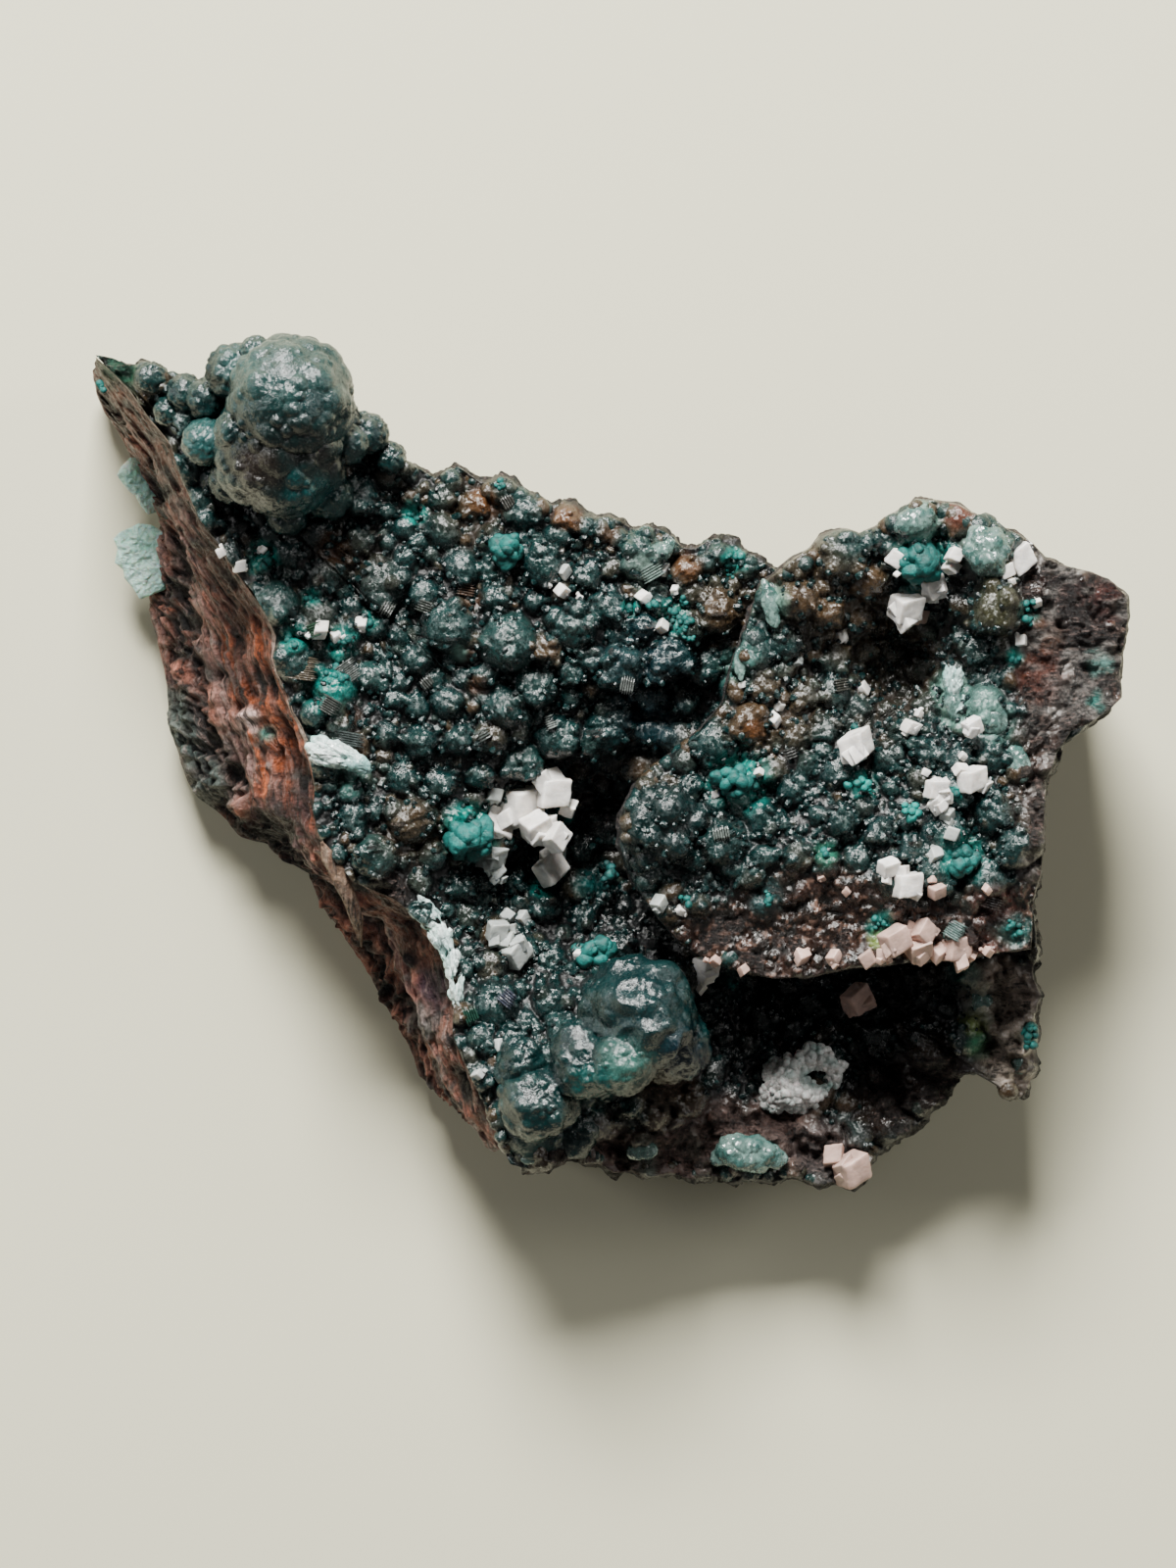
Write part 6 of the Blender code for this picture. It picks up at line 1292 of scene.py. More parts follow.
rhomb_colours = (DOLOMITE_WHITE, DOLOMITE_PINK, DOLOMITE_GREY)
cube, cube_faces = COARSE_CUBE
pieces, tints = [], []
for number, (x, y, edge, colour, on_shelf) in enumerate(SMALL_RHOMBS):
    heights = shelf_height if on_shelf else field_height
    z = float(read_map(heights, np.array([x]), np.array([y]))[0]) + 0.28 * edge
    for extra in range(3):
        off = rhomb_chance.normal(0, 0.38 * edge, 3) * (extra > 0) * (1.0, 1.0, 0.3)
        size = edge * (1.0 if extra == 0 else rhomb_chance.uniform(0.3, 0.6))
        turn = rhomb_chance.uniform(-50, 50, 3)
        shape = rhomb_points(cube, size, turn, 200 + 3 * number + extra)
        pieces.append(shape + np.array((x, y, z)) + off)
        tints.append(np.tile(np.array(rhomb_colours[colour]) * rhomb_chance.uniform(0.75, 1.05),
                             (len(cube), 1)))
faces = np.concatenate([cube_faces + number * len(cube) for number in range(len(pieces))])
rhombs = piece("small_rhombs", np.concatenate(pieces), faces, DOLOMITE, np.concatenate(tints))


# ---- Willemite crystals on the crust -----------------------------------------
# Stubby six-sided willemite crystals stick out of the balls and fill the gaps between them. Their
# flat faces give the bright glints.
CRYSTAL_COUNT = 2000


def hexagonal_prism(point=0.45):
    """Six-sided prism along Z, 2 high and 2 wide, with a blunt point at each end."""
    turns = np.arange(6) * np.pi / 3.0
    ring = np.stack((np.cos(turns), np.sin(turns), 0.0 * turns), -1)
    lift = np.array((0.0, 0.0, 1.0))
    points = np.concatenate((ring - lift * (1 - point), ring + lift * (1 - point),
                             [-lift], [lift]))
    index = np.arange(6)
    after = (index + 1) % 6
    sides = np.stack((index, after, after + 6, index + 6), -1)
    low = np.stack((np.full(6, 12), after, index), -1)
    high = np.stack((np.full(6, 13), index + 6, after + 6), -1)
    return points, sides, np.concatenate((low, high))


def copies(shape, sides, caps, places, spins, sizes):
    """Copies of one small shape: scaled, turned by 3x3 matrices and moved. Whole arrays."""
    scaled = shape[None] * sizes[:, None]
    points = np.einsum("nij,nkj->nki", spins, scaled) + places[:, None]
    first = (np.arange(len(places)) * len(shape))[:, None, None]
    return (points.reshape(-1, 3), [(sides[None] + first).reshape(-1, sides.shape[1]),
                                    (caps[None] + first).reshape(-1, caps.shape[1])])


def spins_to(ways, chance):
    """Matrices that turn Z to each direction, with a random roll about it."""
    ways = ways / np.linalg.norm(ways, axis=1)[:, None]
    other = np.cross(ways, random_ways(chance, len(ways)))
    other /= np.linalg.norm(other, axis=1)[:, None]
    return np.stack((other, np.cross(ways, other), ways), -1)


def spill(height_map, x, y, tops):
    """Places on a height map, with the directions in which its surface faces there."""
    rise_y, rise_x = np.gradient(height_map, MAP_STEP)
    facing = np.stack((-read_map(rise_x, x, y), -read_map(rise_y, x, y), np.ones(len(x))), -1)
    return np.stack((x, y, read_map(height_map, x, y) + tops), -1), facing


crystal_chance = np.random.default_rng(77)
PRISM, PRISM_SIDES, PRISM_CAPS = hexagonal_prism()
for name, height_map, area, crown_map, count in (
        ("field_crystals", field_height, allowed, field_crown, CRYSTAL_COUNT),
        ("shelf_crystals", shelf_height, shelf_area & crusted, shelf_crown, CRYSTAL_COUNT // 2)):
    inner = area & np.roll(area, 9, 0) & np.roll(area, -9, 0) & np.roll(area, 9, 1) & np.roll(area, -9, 1)
    rows, columns = np.nonzero(inner & (crown_map < 0.55))
    chosen = crystal_chance.integers(0, len(rows), count)
    x = MAP_X[rows[chosen], columns[chosen]]
    y = MAP_Y[rows[chosen], columns[chosen]]
    places, facing = spill(height_map, x, y, 0.0)
    facing = facing / np.linalg.norm(facing, axis=1)[:, None] + 0.75 * random_ways(crystal_chance, count)
    width = crystal_chance.uniform(0.10, 0.27, count)
    sizes = np.stack((width, width, width * crystal_chance.uniform(0.8, 2.0, count)), -1)
    points, faces = copies(PRISM, PRISM_SIDES, PRISM_CAPS, places, spins_to(facing, crystal_chance),
                           sizes)
    crown = np.repeat(0.15 + 0.5 * crystal_chance.random(count), len(PRISM))
    tone = np.repeat(read_map(crown_map, x, y) * 0.5, len(PRISM))
    crystals = piece(name, points, faces, WILLEMITE,
                     crust_colours(*points.T, crown, tone, ()), smooth=False)


# ---- Striated crystals -------------------------------------------------------
# A few larger willemite crystals lie on the balls: flat bundles of parallel prisms, so that
# their faces are finely striated and flash as one.
# (x, y, length, width, heading, colour, on the shelf)
STRIATED = (
    (-20.6, 6.8, 2.6, 1.5, 172, (0.075, 0.062, 0.045), 0), (-17.4, 6.5, 1.9, 1.3, 35, (0.07, 0.08, 0.075), 0),
    (-18.6, 4.2, 1.6, 1.0, 150, (0.05, 0.055, 0.05), 0), (-19.6, 9.4, 1.3, 0.8, 20, (0.02, 0.05, 0.03), 0),
    (-17.2, 1.9, 2.2, 0.8, 170, (0.04, 0.05, 0.048), 0), (1.9, 5.6, 1.4, 0.8, 80, (0.09, 0.10, 0.095), 0),
    (-3.4, 3.1, 0.9, 0.8, 20, (0.14, 0.16, 0.15), 0), (-12.0, 11.0, 1.6, 0.7, 160, (0.03, 0.035, 0.03), 0),
    (-9.2, 12.2, 1.4, 0.7, 170, (0.05, 0.03, 0.02), 0), (-6.3, 18.2, 1.2, 0.7, 120, (0.04, 0.04, 0.035), 0),
    (3.6, 13.4, 1.8, 0.9, 30, (0.12, 0.17, 0.15), 0), (-14.6, 10.9, 1.2, 0.7, 60, (0.04, 0.045, 0.04), 0),
    (24.3, -11.2, 1.6, 1.1, 150, (0.10, 0.15, 0.14), 1), (8.3, -4.6, 1.2, 1.0, 100, (0.10, 0.12, 0.11), 1),
    (16.6, 5.6, 1.2, 0.7, 10, (0.03, 0.03, 0.025), 1), (20.0, 3.6, 1.3, 0.7, 40, (0.03, 0.03, 0.026), 1),
    (18.9, 9.6, 1.1, 0.7, 80, (0.04, 0.036, 0.028), 1), (26.9, -9.2, 1.8, 1.0, 165, (0.03, 0.022, 0.02), 1),
    (-6.4, -16.0, 1.5, 0.9, 140, (0.03, 0.035, 0.05), 0), (-8.9, -17.2, 1.6, 0.8, 110, (0.015, 0.05, 0.035), 0),
    (0.4, -13.9, 1.6, 0.9, 160, (0.05, 0.06, 0.06), 0), (-4.9, -21.0, 1.8, 0.7, 165, (0.09, 0.12, 0.12), 0),
    (2.2, -14.2, 2.2, 0.7, 175, (0.09, 0.11, 0.11), 0), (-11.9, 5.8, 1.1, 0.7, 130, (0.05, 0.055, 0.05), 0),
    (-8.0, 2.2, 1.2, 0.6, 30, (0.06, 0.07, 0.065), 0), (13.1, 0.9, 1.2, 0.6, 20, (0.03, 0.032, 0.03), 1),
)
blades, blade_ways, blade_sizes, blade_tints = [], [], [], []
for x, y, length, width, heading, colour, on_shelf in STRIATED:
    heights = shelf_height if on_shelf else field_height
    turn = math.radians(heading)
    number = int(width / 0.13)
    side = np.linspace(-0.5, 0.5, number) * width
    at_x, at_y = x - side * math.sin(turn), y + side * math.cos(turn)
    reach = max(length, width) * 0.35
    around = np.array([(x + reach * a, y + reach * b) for a in (-1, 0, 1) for b in (-1, 0, 1)])
    z = float(np.median(read_map(heights, around[:, 0], around[:, 1]))) + 0.35
    slant = crystal_chance.uniform(-0.35, 0.35)
    tilt = crystal_chance.uniform(-0.25, 0.25)
    blades.append(np.stack((at_x, at_y, z + side * slant
                            + crystal_chance.normal(0, 0.03, number)), -1))
    way = (math.cos(turn) * math.cos(tilt), math.sin(turn) * math.cos(tilt), math.sin(tilt))
    blade_ways.append(np.tile(way, (number, 1)))
    thick = np.full(number, 0.6 * width / number)
    blade_sizes.append(np.stack((thick, thick * 2.2, 0.5 * length * crystal_chance.uniform(
        0.75, 1.05, number)), -1))
    blade_tints.append(np.tile(colour, (number * len(PRISM), 1)))
blade_ways = np.concatenate(blade_ways)
flat = np.cross(blade_ways, (0.0, 0.0, 1.0))
flat /= np.linalg.norm(flat, axis=1)[:, None]
turns = np.stack((flat, np.cross(blade_ways, flat), blade_ways), -1)
points, faces = copies(PRISM, PRISM_SIDES, PRISM_CAPS, np.concatenate(blades), turns,
                       np.concatenate(blade_sizes))
striated = piece("striated_crystals", points, faces, GLASSY_WILLEMITE, np.concatenate(blade_tints),
                 smooth=False)


# ---- Pale willemite ----------------------------------------------------------
# Bundles of pale aqua to white fibres: two slabs on the field and a column on the shelf, and,
# in the cave, a white rosette of small balls with five lobes round a hole.
# (name, CAD node, slot, fans): each fan is (x, y, half length, half width, heading, count, splay)
FIBRE_GROUPS = (
    ("west_slab", "pale_willemite_west", "pale_willemite", (
        (-18.4, 0.8, 1.7, 0.9, 168, 46, 14), (-16.6, 0.3, 1.1, 0.6, 160, 22, 20),
        (-19.2, 1.3, 0.9, 0.7, 185, 16, 25))),
    ("south_slab", "pale_willemite_south", "pale_willemite", (
        (-12.0, -10.2, 1.3, 0.8, 140, 34, 22), (-10.9, -11.9, 1.3, 0.8, 112, 34, 18),
        (-10.3, -13.6, 1.1, 0.6, 98, 26, 16), (-9.9, -15.4, 1.2, 0.5, 95, 24, 14))),
    ("shelf_column", "pale_willemite_band", "aqua_willemite", (
        (24.2, 5.8, 1.3, 0.6, 80, 22, 18), (24.9, 4.2, 0.9, 0.6, 40, 18, 24))),
)
PALE_TOP = (0.72, 0.90, 0.85)
PALE_FOOT = (0.10, 0.30, 0.27)
ROSETTE_TOP = (0.84, 0.87, 0.83)


def pale_finish():
    """Frosted fibre bundles: point colours, fine streaky mottling, glossy and a little cloudy."""
    material, tree, shader = plain_material("pale willemite")
    tint = node(tree, "ShaderNodeAttribute", attribute_name="tint")
    mottle = use_group(tree, MOTTLE, {"Color": tint.outputs["Color"], "Size": 3800.0,
                                      "Depth": 0.3})
    facets = use_group(tree, FACETS, {"Size": 7000.0, "Tilt": 0.45})
    geometry = node(tree, "ShaderNodeNewGeometry")
    tree.links.new(geometry.outputs["Normal"], facets.inputs["Normal"])
    rough = node(tree, "ShaderNodeMapRange", {"Value": facets.outputs["Chance"], "To Min": 0.15,
                                              "To Max": 0.5})
    tree.links.new(mottle.outputs["Color"], shader.inputs["Base Color"])
    tree.links.new(rough.outputs[0], shader.inputs["Roughness"])
    tree.links.new(facets.outputs["Normal"], shader.inputs["Normal"])
    shader.inputs["Subsurface Weight"].default_value = 0.35
    shader.inputs["Subsurface Radius"].default_value = (0.6, 1.0, 0.9)
    shader.inputs["Subsurface Scale"].default_value = 0.0007
    shader.inputs["IOR"].default_value = 1.69
    return material


PALE_WILLEMITE = pale_finish()
fibre_chance = np.random.default_rng(90)
CORE_WAYS, CORE_QUADS, CORE_CAPS = sphere_grid(12, 20)
for name, cad_node, slot, fans in FIBRE_GROUPS:
    low, high = (np.array(corner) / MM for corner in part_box(cad_node))
    places, ways, sizes = [], [], []
    for x, y, long_half, wide_half, heading, count, splay in fans:
        turn = math.radians(heading)
        along = fibre_chance.uniform(-1.0, 1.0, count) * long_half * 0.55
        side = fibre_chance.uniform(-1.0, 1.0, count) * wide_half * 0.8
        bend = turn + np.radians(splay) * (side / wide_half) + fibre_chance.normal(0, 0.16, count)
        at_x = x + along * math.cos(turn) - side * math.sin(turn)
        at_y = y + along * math.sin(turn) + side * math.cos(turn)
        dome = np.sqrt(np.clip(1.0 - (along / long_half) ** 2 - (side / wide_half) ** 2, 0.05, 1))
        at_z = low[2] + (high[2] - low[2]) * (0.32 + 0.46 * dome * fibre_chance.uniform(0.6, 1, count))
        places.append(np.stack((at_x, at_y, at_z), -1))
        tilt = fibre_chance.uniform(-0.25, 0.45, count)
        ways.append(np.stack((np.cos(bend) * np.cos(tilt), np.sin(bend) * np.cos(tilt),
                              np.sin(tilt)), -1))
        width = fibre_chance.uniform(0.13, 0.28, count) * min(1.0, 1.3 * wide_half)
        sizes.append(np.stack((width, 0.75 * width,
                               long_half * fibre_chance.uniform(0.3, 0.62, count)), -1))
    places, ways, sizes = (np.concatenate(part) for part in (places, ways, sizes))
    points, faces = copies(PRISM, PRISM_SIDES, PRISM_CAPS, places,
                           spins_to(ways, fibre_chance), sizes)
    fused = places[::3] - (0.0, 0.0, 0.25)
    radius = fibre_chance.uniform(0.3, 0.7, len(fused)) * min(1.0, 1.1 * wide_half)
    cores, core_faces = copies(CORE_WAYS, CORE_QUADS, CORE_CAPS, fused, spins_to(
        ways[::3], fibre_chance), radius[:, None] * (1.0, 0.9, 1.5))
    middles = np.repeat(fused, len(CORE_WAYS), axis=0)
    cores = middles + (cores - middles) * (1.0 + 0.2 * grain(*cores.T, 0.3, 92))[:, None]
    faces = faces + [group + len(points) for group in core_faces]
    points = np.concatenate((points, cores))
    level = (points[:, 2] - low[2]) / (high[2] - low[2])
    top_colour = ROSETTE_TOP if slot == "white_crust" else PALE_TOP
    share = 1.5 * level - 0.2 + 0.5 * grain(*points.T, 0.7, 91)
    if slot == "aqua_willemite":
        share = 0.45 * share
    colours = blend(PALE_FOOT, top_colour, share)
    colours = stained(colours, points[:, 0], points[:, 1], (
        (-16.6, -0.2, 1.3, (0.12, 0.34, 0.32), 0.8), (-12.2, -9.8, 1.0, (0.14, 0.26, 0.25), 0.7),
        (-10.9, -12.2, 0.7, (0.2, 0.34, 0.33), 0.6)))
    bundle = piece(name, points, faces, PALE_WILLEMITE, colours, smooth=False)
    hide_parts(cad_node)

# The rosette: a crumbly ring of small balls, white on top and aqua below, round an open hole
ROSETTE_CENTRE, ROSETTE_HOLE = (14.2, -22.0), (15.2, -21.7)
low, high = (np.array(corner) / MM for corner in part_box("white_rosette"))
turns = fibre_chance.uniform(0.0, 2.0 * np.pi, 620)
away = np.sqrt(fibre_chance.random(620))
x = ROSETTE_CENTRE[0] + 2.95 * away * np.cos(turns)
y = ROSETTE_CENTRE[1] + 2.3 * away * np.sin(turns) + 0.25 * (x - ROSETTE_CENTRE[0])
gap = np.hypot((x - ROSETTE_HOLE[0]) / 0.95, (y - ROSETTE_HOLE[1]) / 0.6)
lobes = 1.0 + 0.12 * np.cos(5.0 * turns + 0.6)
kept = (gap > 1.0) & (away < lobes * 0.97)
x, y, away, gap = x[kept], y[kept], away[kept], gap[kept]
swell = np.clip(1.0 - away ** 3, 0.1, 1.0) * np.clip(0.35 + 0.5 * (gap - 1.0), 0.3, 1.0)
z = low[2] + 0.5 + (high[2] - low[2] - 1.0) * swell * fibre_chance.uniform(0.75, 1.0, len(x))
radius = fibre_chance.uniform(0.14, 0.42, len(x))
places = np.stack((x, y, z), -1)
ball_ways, ball_quads, ball_caps = sphere_grid(5, 9)
sizes = radius[:, None] * fibre_chance.uniform(0.8, 1.3, (len(x), 3))
points, faces = copies(ball_ways, ball_quads, ball_caps, places,
                       spins_to(random_ways(fibre_chance, len(x)), fibre_chance), sizes)
centres = np.repeat(places, len(ball_ways), axis=0)
points = centres + (points - centres) * (1.0 + 0.25 * grain(*points.T, 0.2, 121))[:, None]
share = 0.5 + 0.6 * (points[:, 2] - low[2]) / (high[2] - low[2]) + 0.55 * grain(*points.T, 0.9, 122)
rosette = piece("rosette", points, faces, PALE_WILLEMITE, blend(PALE_FOOT, ROSETTE_TOP, share))
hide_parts("white_rosette")


# ---- Flakes on the back edge --------------------------------------------------
# Two thin flakes of pale aqua willemite stick out past the back edge. They are clear enough to
# let the card shine through, with a bumpy skin of tiny balls.
FLAKES = (
    ("north_flake", "flake_north", (
        (-33.2, 22.0), (-33.9, 21.3), (-34.2, 20.7), (-33.8, 20.1), (-33.4, 19.6),
        (-32.9, 19.2), (-32.5, 18.5), (-32.0, 17.9), (-30.4, 18.4), (-30.9, 20.4), (-31.6, 21.8))),
    ("south_flake", "flake_south", (
        (-31.8, 17.2), (-32.7, 17.3), (-33.3, 17.0), (-34.0, 16.7), (-34.5, 16.2),
        (-34.2, 15.5), (-34.4, 14.5), (-33.8, 14.0), (-33.7, 13.4), (-33.1, 12.7),
        (-32.6, 11.9), (-30.8, 12.6), (-30.6, 14.6), (-30.4, 16.4))),
)


def flake_finish():
    """Pale aqua crystal that light passes through, with a granular satin skin."""
    material, tree, shader = plain_material("aqua flake")
    tint = node(tree, "ShaderNodeAttribute", attribute_name="tint")
    mottle = use_group(tree, MOTTLE, {"Color": tint.outputs["Color"], "Size": 1500.0,
                                      "Depth": 0.25})
    place = node(tree, "ShaderNodeTexCoord")
    fine = node(tree, "ShaderNodeTexNoise", {"Vector": place.outputs["Object"], "Scale": 3000.0,
                                             "Detail": 5.0})
    bump = node(tree, "ShaderNodeBump", {"Height": fine.outputs[0], "Strength": 0.8,
                                         "Distance": 0.0005})
    tree.links.new(mottle.outputs["Color"], shader.inputs["Base Color"])
    tree.links.new(bump.outputs["Normal"], shader.inputs["Normal"])
    shader.inputs["Roughness"].default_value = 0.28
    shader.inputs["IOR"].default_value = 1.69
    shader.inputs["Transmission Weight"].default_value = 0.3
    shader.inputs["Subsurface Weight"].default_value = 0.3
    shader.inputs["Subsurface Scale"].default_value = 0.001
    return material


FLAKE = flake_finish()
for name, cad_node, outline in FLAKES:
    low, high = (np.array(corner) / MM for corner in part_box(cad_node))
    centre = np.array(outline).mean(axis=0)
    x, y, share = sheet_places(list(outline), centre, 70)
    half_thick = 0.5 * (high[2] - low[2]) * np.sqrt(np.clip(1.04 - share ** 4, 0.04, 1.0))
    skin = 1.0 + 0.35 * grain(x, y, 0.0, 0.5, 95) + 0.2 * grain(x, y, 0.0, 0.22, 96)
    middle_z = 0.5 * (low[2] + high[2])
    upper = np.stack((x, y, middle_z + 0.72 * half_thick * skin), -1)
    lower = np.stack((x, y, middle_z - 0.72 * half_thick), -1)
    faces = grid_faces(70, 70)
    edge_walk = np.concatenate((np.arange(70), np.arange(1, 70) * 70 + 69,
                                69 * 70 + np.arange(68, -1, -1), np.arange(68, 0, -1) * 70))
    after = np.roll(edge_walk, -1)
    count = 70 * 70
    rim = np.stack((edge_walk + count, after + count, after, edge_walk), -1)
    points = np.concatenate((upper.reshape(-1, 3), lower.reshape(-1, 3)))
    colours = blend((0.56, 0.82, 0.73), (0.32, 0.60, 0.50),
                    0.5 + 0.8 * grain(*points.T, 1.2, 97))
    flake = piece(name, points, np.concatenate((faces, faces[:, ::-1] + count, rim)), FLAKE,
                  colours)
    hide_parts(cad_node)


# ---- Clear willemite ---------------------------------------------------------
# Here and there the crust is clear: smooth pale aqua lumps that let light through.
# (x, y, half width, half height on the picture, heading, stands over the map, on the shelf)
CLEAR_LUMPS = (
    (26.4, 14.6, 1.5, 1.7, 20, 0.8, 1), (21.3, 16.7, 1.4, 0.8, 20, 0.5, 1),
    (11.7, 11.2, 0.6, 1.6, 10, 0.4, 1), (9.6, 7.0, 0.4, 1.1, 5, 0.3, 1),
    (4.4, 14.9, 0.9, 0.6, 30, 0.5, 0), (24.4, 4.2, 0.7, 1.8, 15, 0.4, 1),
    (27.0, 3.2, 1.2, 0.9, 60, 0.3, 1), (3.0, -26.8, 1.2, 0.6, 5, 0.4, 0),
    (28.6, 0.2, 0.8, 1.4, 10, 0.2, 1), (24.2, -11.3, 0.8, 0.6, 30, 0.4, 1),
    (29.3, -20.8, 0.5, 0.8, 10, 0.3, 0), (26.8, -16.4, 0.8, 0.9, 0, 0.4, 0),
    (-4.8, -27.0, 1.0, 0.6, 0, 0.4, 0),
)
LOWER_LOBE = ((10.4, -27.1, 2.4, 1.25, 175, 1.2, 0), (8.6, -27.3, 0.9, 0.6, 20, 0.6, 0),
              (12.3, -27.4, 0.9, 0.7, 150, 0.7, 0))


def clear_finish():
    """Clear pale aqua crystal with a frosted, finely facetted skin."""
    material, tree, shader = plain_material("clear willemite")
    tint = node(tree, "ShaderNodeAttribute", attribute_name="tint")
    mottle = use_group(tree, MOTTLE, {"Color": tint.outputs["Color"], "Size": 1800.0,
                                      "Depth": 0.35})
    geometry = node(tree, "ShaderNodeNewGeometry")
    facets = use_group(tree, FACETS, {"Size": 5000.0, "Tilt": 0.5,
                                      "Normal": geometry.outputs["Normal"]})
    rough = node(tree, "ShaderNodeMapRange", {"Value": facets.outputs["Chance"], "To Min": 0.08,
                                              "To Max": 0.4})
    tree.links.new(mottle.outputs["Color"], shader.inputs["Base Color"])
    tree.links.new(rough.outputs[0], shader.inputs["Roughness"])
    tree.links.new(facets.outputs["Normal"], shader.inputs["Normal"])
    shader.inputs["IOR"].default_value = 1.69
    shader.inputs["Transmission Weight"].default_value = 0.6
    return material


CLEAR = clear_finish()
clear_ways, clear_quads, clear_caps = sphere_grid(30, 56)


def clear_lumps(name, lumps):
    """Ovals set into the crust: a ball of directions times three half sizes, turned and made
    lumpy by noise."""
    pieces, tints = [], []
    for number, (x, y, wide, tall, heading, stand, on_shelf) in enumerate(lumps):
        heights = shelf_height if on_shelf else field_height
        z = float(read_map(heights, np.array([x]), np.array([y]))[0])
        deep = 0.75 * min(wide, tall)
        turn = math.radians(heading)
        spin = np.array(((math.cos(turn), -math.sin(turn), 0.0),
                         (math.sin(turn), math.cos(turn), 0.0), (0.0, 0.0, 1.0)))
        shape = clear_ways * (wide, tall, deep) @ spin.T
        bumps = 0.20 * grain(*shape.T, 0.7, 140 + number) + 0.10 * grain(*shape.T, 0.28, 141)
        pieces.append(shape * (1.0 + bumps)[:, None] + (x, y, z - deep + stand))
        tints.append(blend((0.07, 0.19, 0.17), (0.30, 0.47, 0.42), 0.4 + grain(*shape.T, 0.7, 142)))
    firsts = [number * len(clear_ways) for number in range(len(lumps))]
    faces = [np.concatenate([group + first for first in firsts]) for group in (clear_quads, clear_caps)]
    made = piece(name, np.concatenate(pieces), faces, CLEAR, np.concatenate(tints))
    return made


clear_lumps("clear_lumps", CLEAR_LUMPS)
lobe = clear_lumps("lower_lobe", LOWER_LOBE)
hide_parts("pale_willemite_lobe")


# ---- Balls along the rims ----------------------------------------------------
# Where the crust ends in the open, small botryoids hang over its broken edge in rows.
# (name, outline, heights, count, how far they hang down, largest radius)
RIM_ROWS = (
    ("field_rim_balls", RIM_OUTLINE[30:], field_height, 420, 2.0, 0.75),
    ("shelf_rim_balls", SHELF_OUTLINE[-18:] + SHELF_OUTLINE[:16], shelf_height, 460, 5.0, 0.9),
)
rim_chance = np.random.default_rng(150)
RIM_BALL = sphere_grid(6, 10)
for name, outline, heights, count, hang, largest in RIM_ROWS:
    line = np.array(outline)
    along = np.concatenate(([0.0], np.cumsum(np.hypot(*np.diff(line, axis=0).T))))
    run = rim_chance.uniform(0.0, along[-1], count)
    x, y = (np.interp(run, along, line[:, axis]) for axis in (0, 1))
    middle = FIELD_CENTRE if outline[0] in RIM_OUTLINE else SHELF_CENTRE
    inward = np.stack((middle[0] - x, middle[1] - y), -1)
    inward = inward / np.linalg.norm(inward, axis=1)[:, None]
    below = rim_chance.random(count) ** 1.3
    radius = rim_chance.uniform(0.25, largest, count)
    inset = 0.55 * radius + 0.25 + (0.16 * hang) * below
    x, y = x + inward[:, 0] * inset, y + inward[:, 1] * inset
    z = read_map(heights, x, y) - 0.5 * radius - hang * below
    open_air = (read_map(bare_map, x, y) < 0.3) & (x < 29.0)
    places, radius = np.stack((x, y, z), -1)[open_air], radius[open_air]
    sizes = radius[:, None] * rim_chance.uniform(0.85, 1.1, (len(radius), 3))
    points, faces = copies(*RIM_BALL, places, spins_to(random_ways(rim_chance, len(radius)),
                                                       rim_chance), sizes)
    centres = np.repeat(places, len(RIM_BALL[0]), axis=0)
    points = centres + (points - centres) * (1.0 + 0.15 * grain(*points.T, 0.35, 151))[:, None]
    level = (points[:, 2] - centres[:, 2]) / np.repeat(radius, len(RIM_BALL[0]))
    tone = np.repeat(rim_chance.uniform(-0.9, 0.7, len(radius)), len(RIM_BALL[0]))
    # Painted shade: each ball's crown share grows with its height, so it is silvery on top and near black
    # underneath
    balls = piece(name, points, faces, WILLEMITE, crust_colours(
        *points.T, np.clip(0.4 + 0.5 * level, 0.0, 1.0), tone, ()))


# ---- Splinter ----------------------------------------------------------------
# A long tan splinter of rock has lifted from the wall beside the thumb's hold.
SPLINTER_PATH = ((-19.2, -5.2, 17.0), (-18.7, -6.3, 16.4), (-18.0, -7.6, 15.8),
                 (-17.4, -9.0, 15.0), (-16.9, -10.6, 13.8), (-16.6, -12.6, 12.0))
SPLINTER_WIDTHS = (0.10, 0.50, 0.58, 0.54, 0.44, 0.05)


def rod_along(path, widths, rows, columns, flatness, seed):
    """Blade along a path: an oval across it, its width set by the table, grooved lengthwise."""
    path = np.array(path)
    run = np.linspace(0.0, len(path) - 1.0, rows)
    knots = np.arange(len(path))
    line = np.stack([np.interp(run, knots, path[:, axis]) for axis in range(3)], -1)
    width = np.interp(run, knots, widths)
    along = np.gradient(line, axis=0)
    along /= np.linalg.norm(along, axis=1)[:, None]
    side = np.cross(along, (0.0, 0.0, 1.0))
    side /= np.linalg.norm(side, axis=1)[:, None]
    up = np.cross(side, along)
    turn = np.linspace(0.0, 2.0 * np.pi, columns, endpoint=False)
    groove = 1.0 + 0.16 * grain(turn[None] * 1.6, run[:, None] * 0.5, 0.0, 0.4, seed)
    across = width[:, None] * groove
    points = (line[:, None] + side[:, None] * (across * np.cos(turn))[..., None]
              + up[:, None] * (across * flatness * np.sin(turn))[..., None])
    points = np.concatenate((points.reshape(-1, 3), line[:1], line[-1:]))
    column = np.arange(columns)
    after = (column + 1) % columns
    last = (rows - 1) * columns
    start = np.stack((np.full(columns, rows * columns), after, column), -1)
    end = np.stack((np.full(columns, rows * columns + 1), last + column, last + after), -1)
    return points, [grid_faces(rows, columns, True), np.concatenate((start, end))]


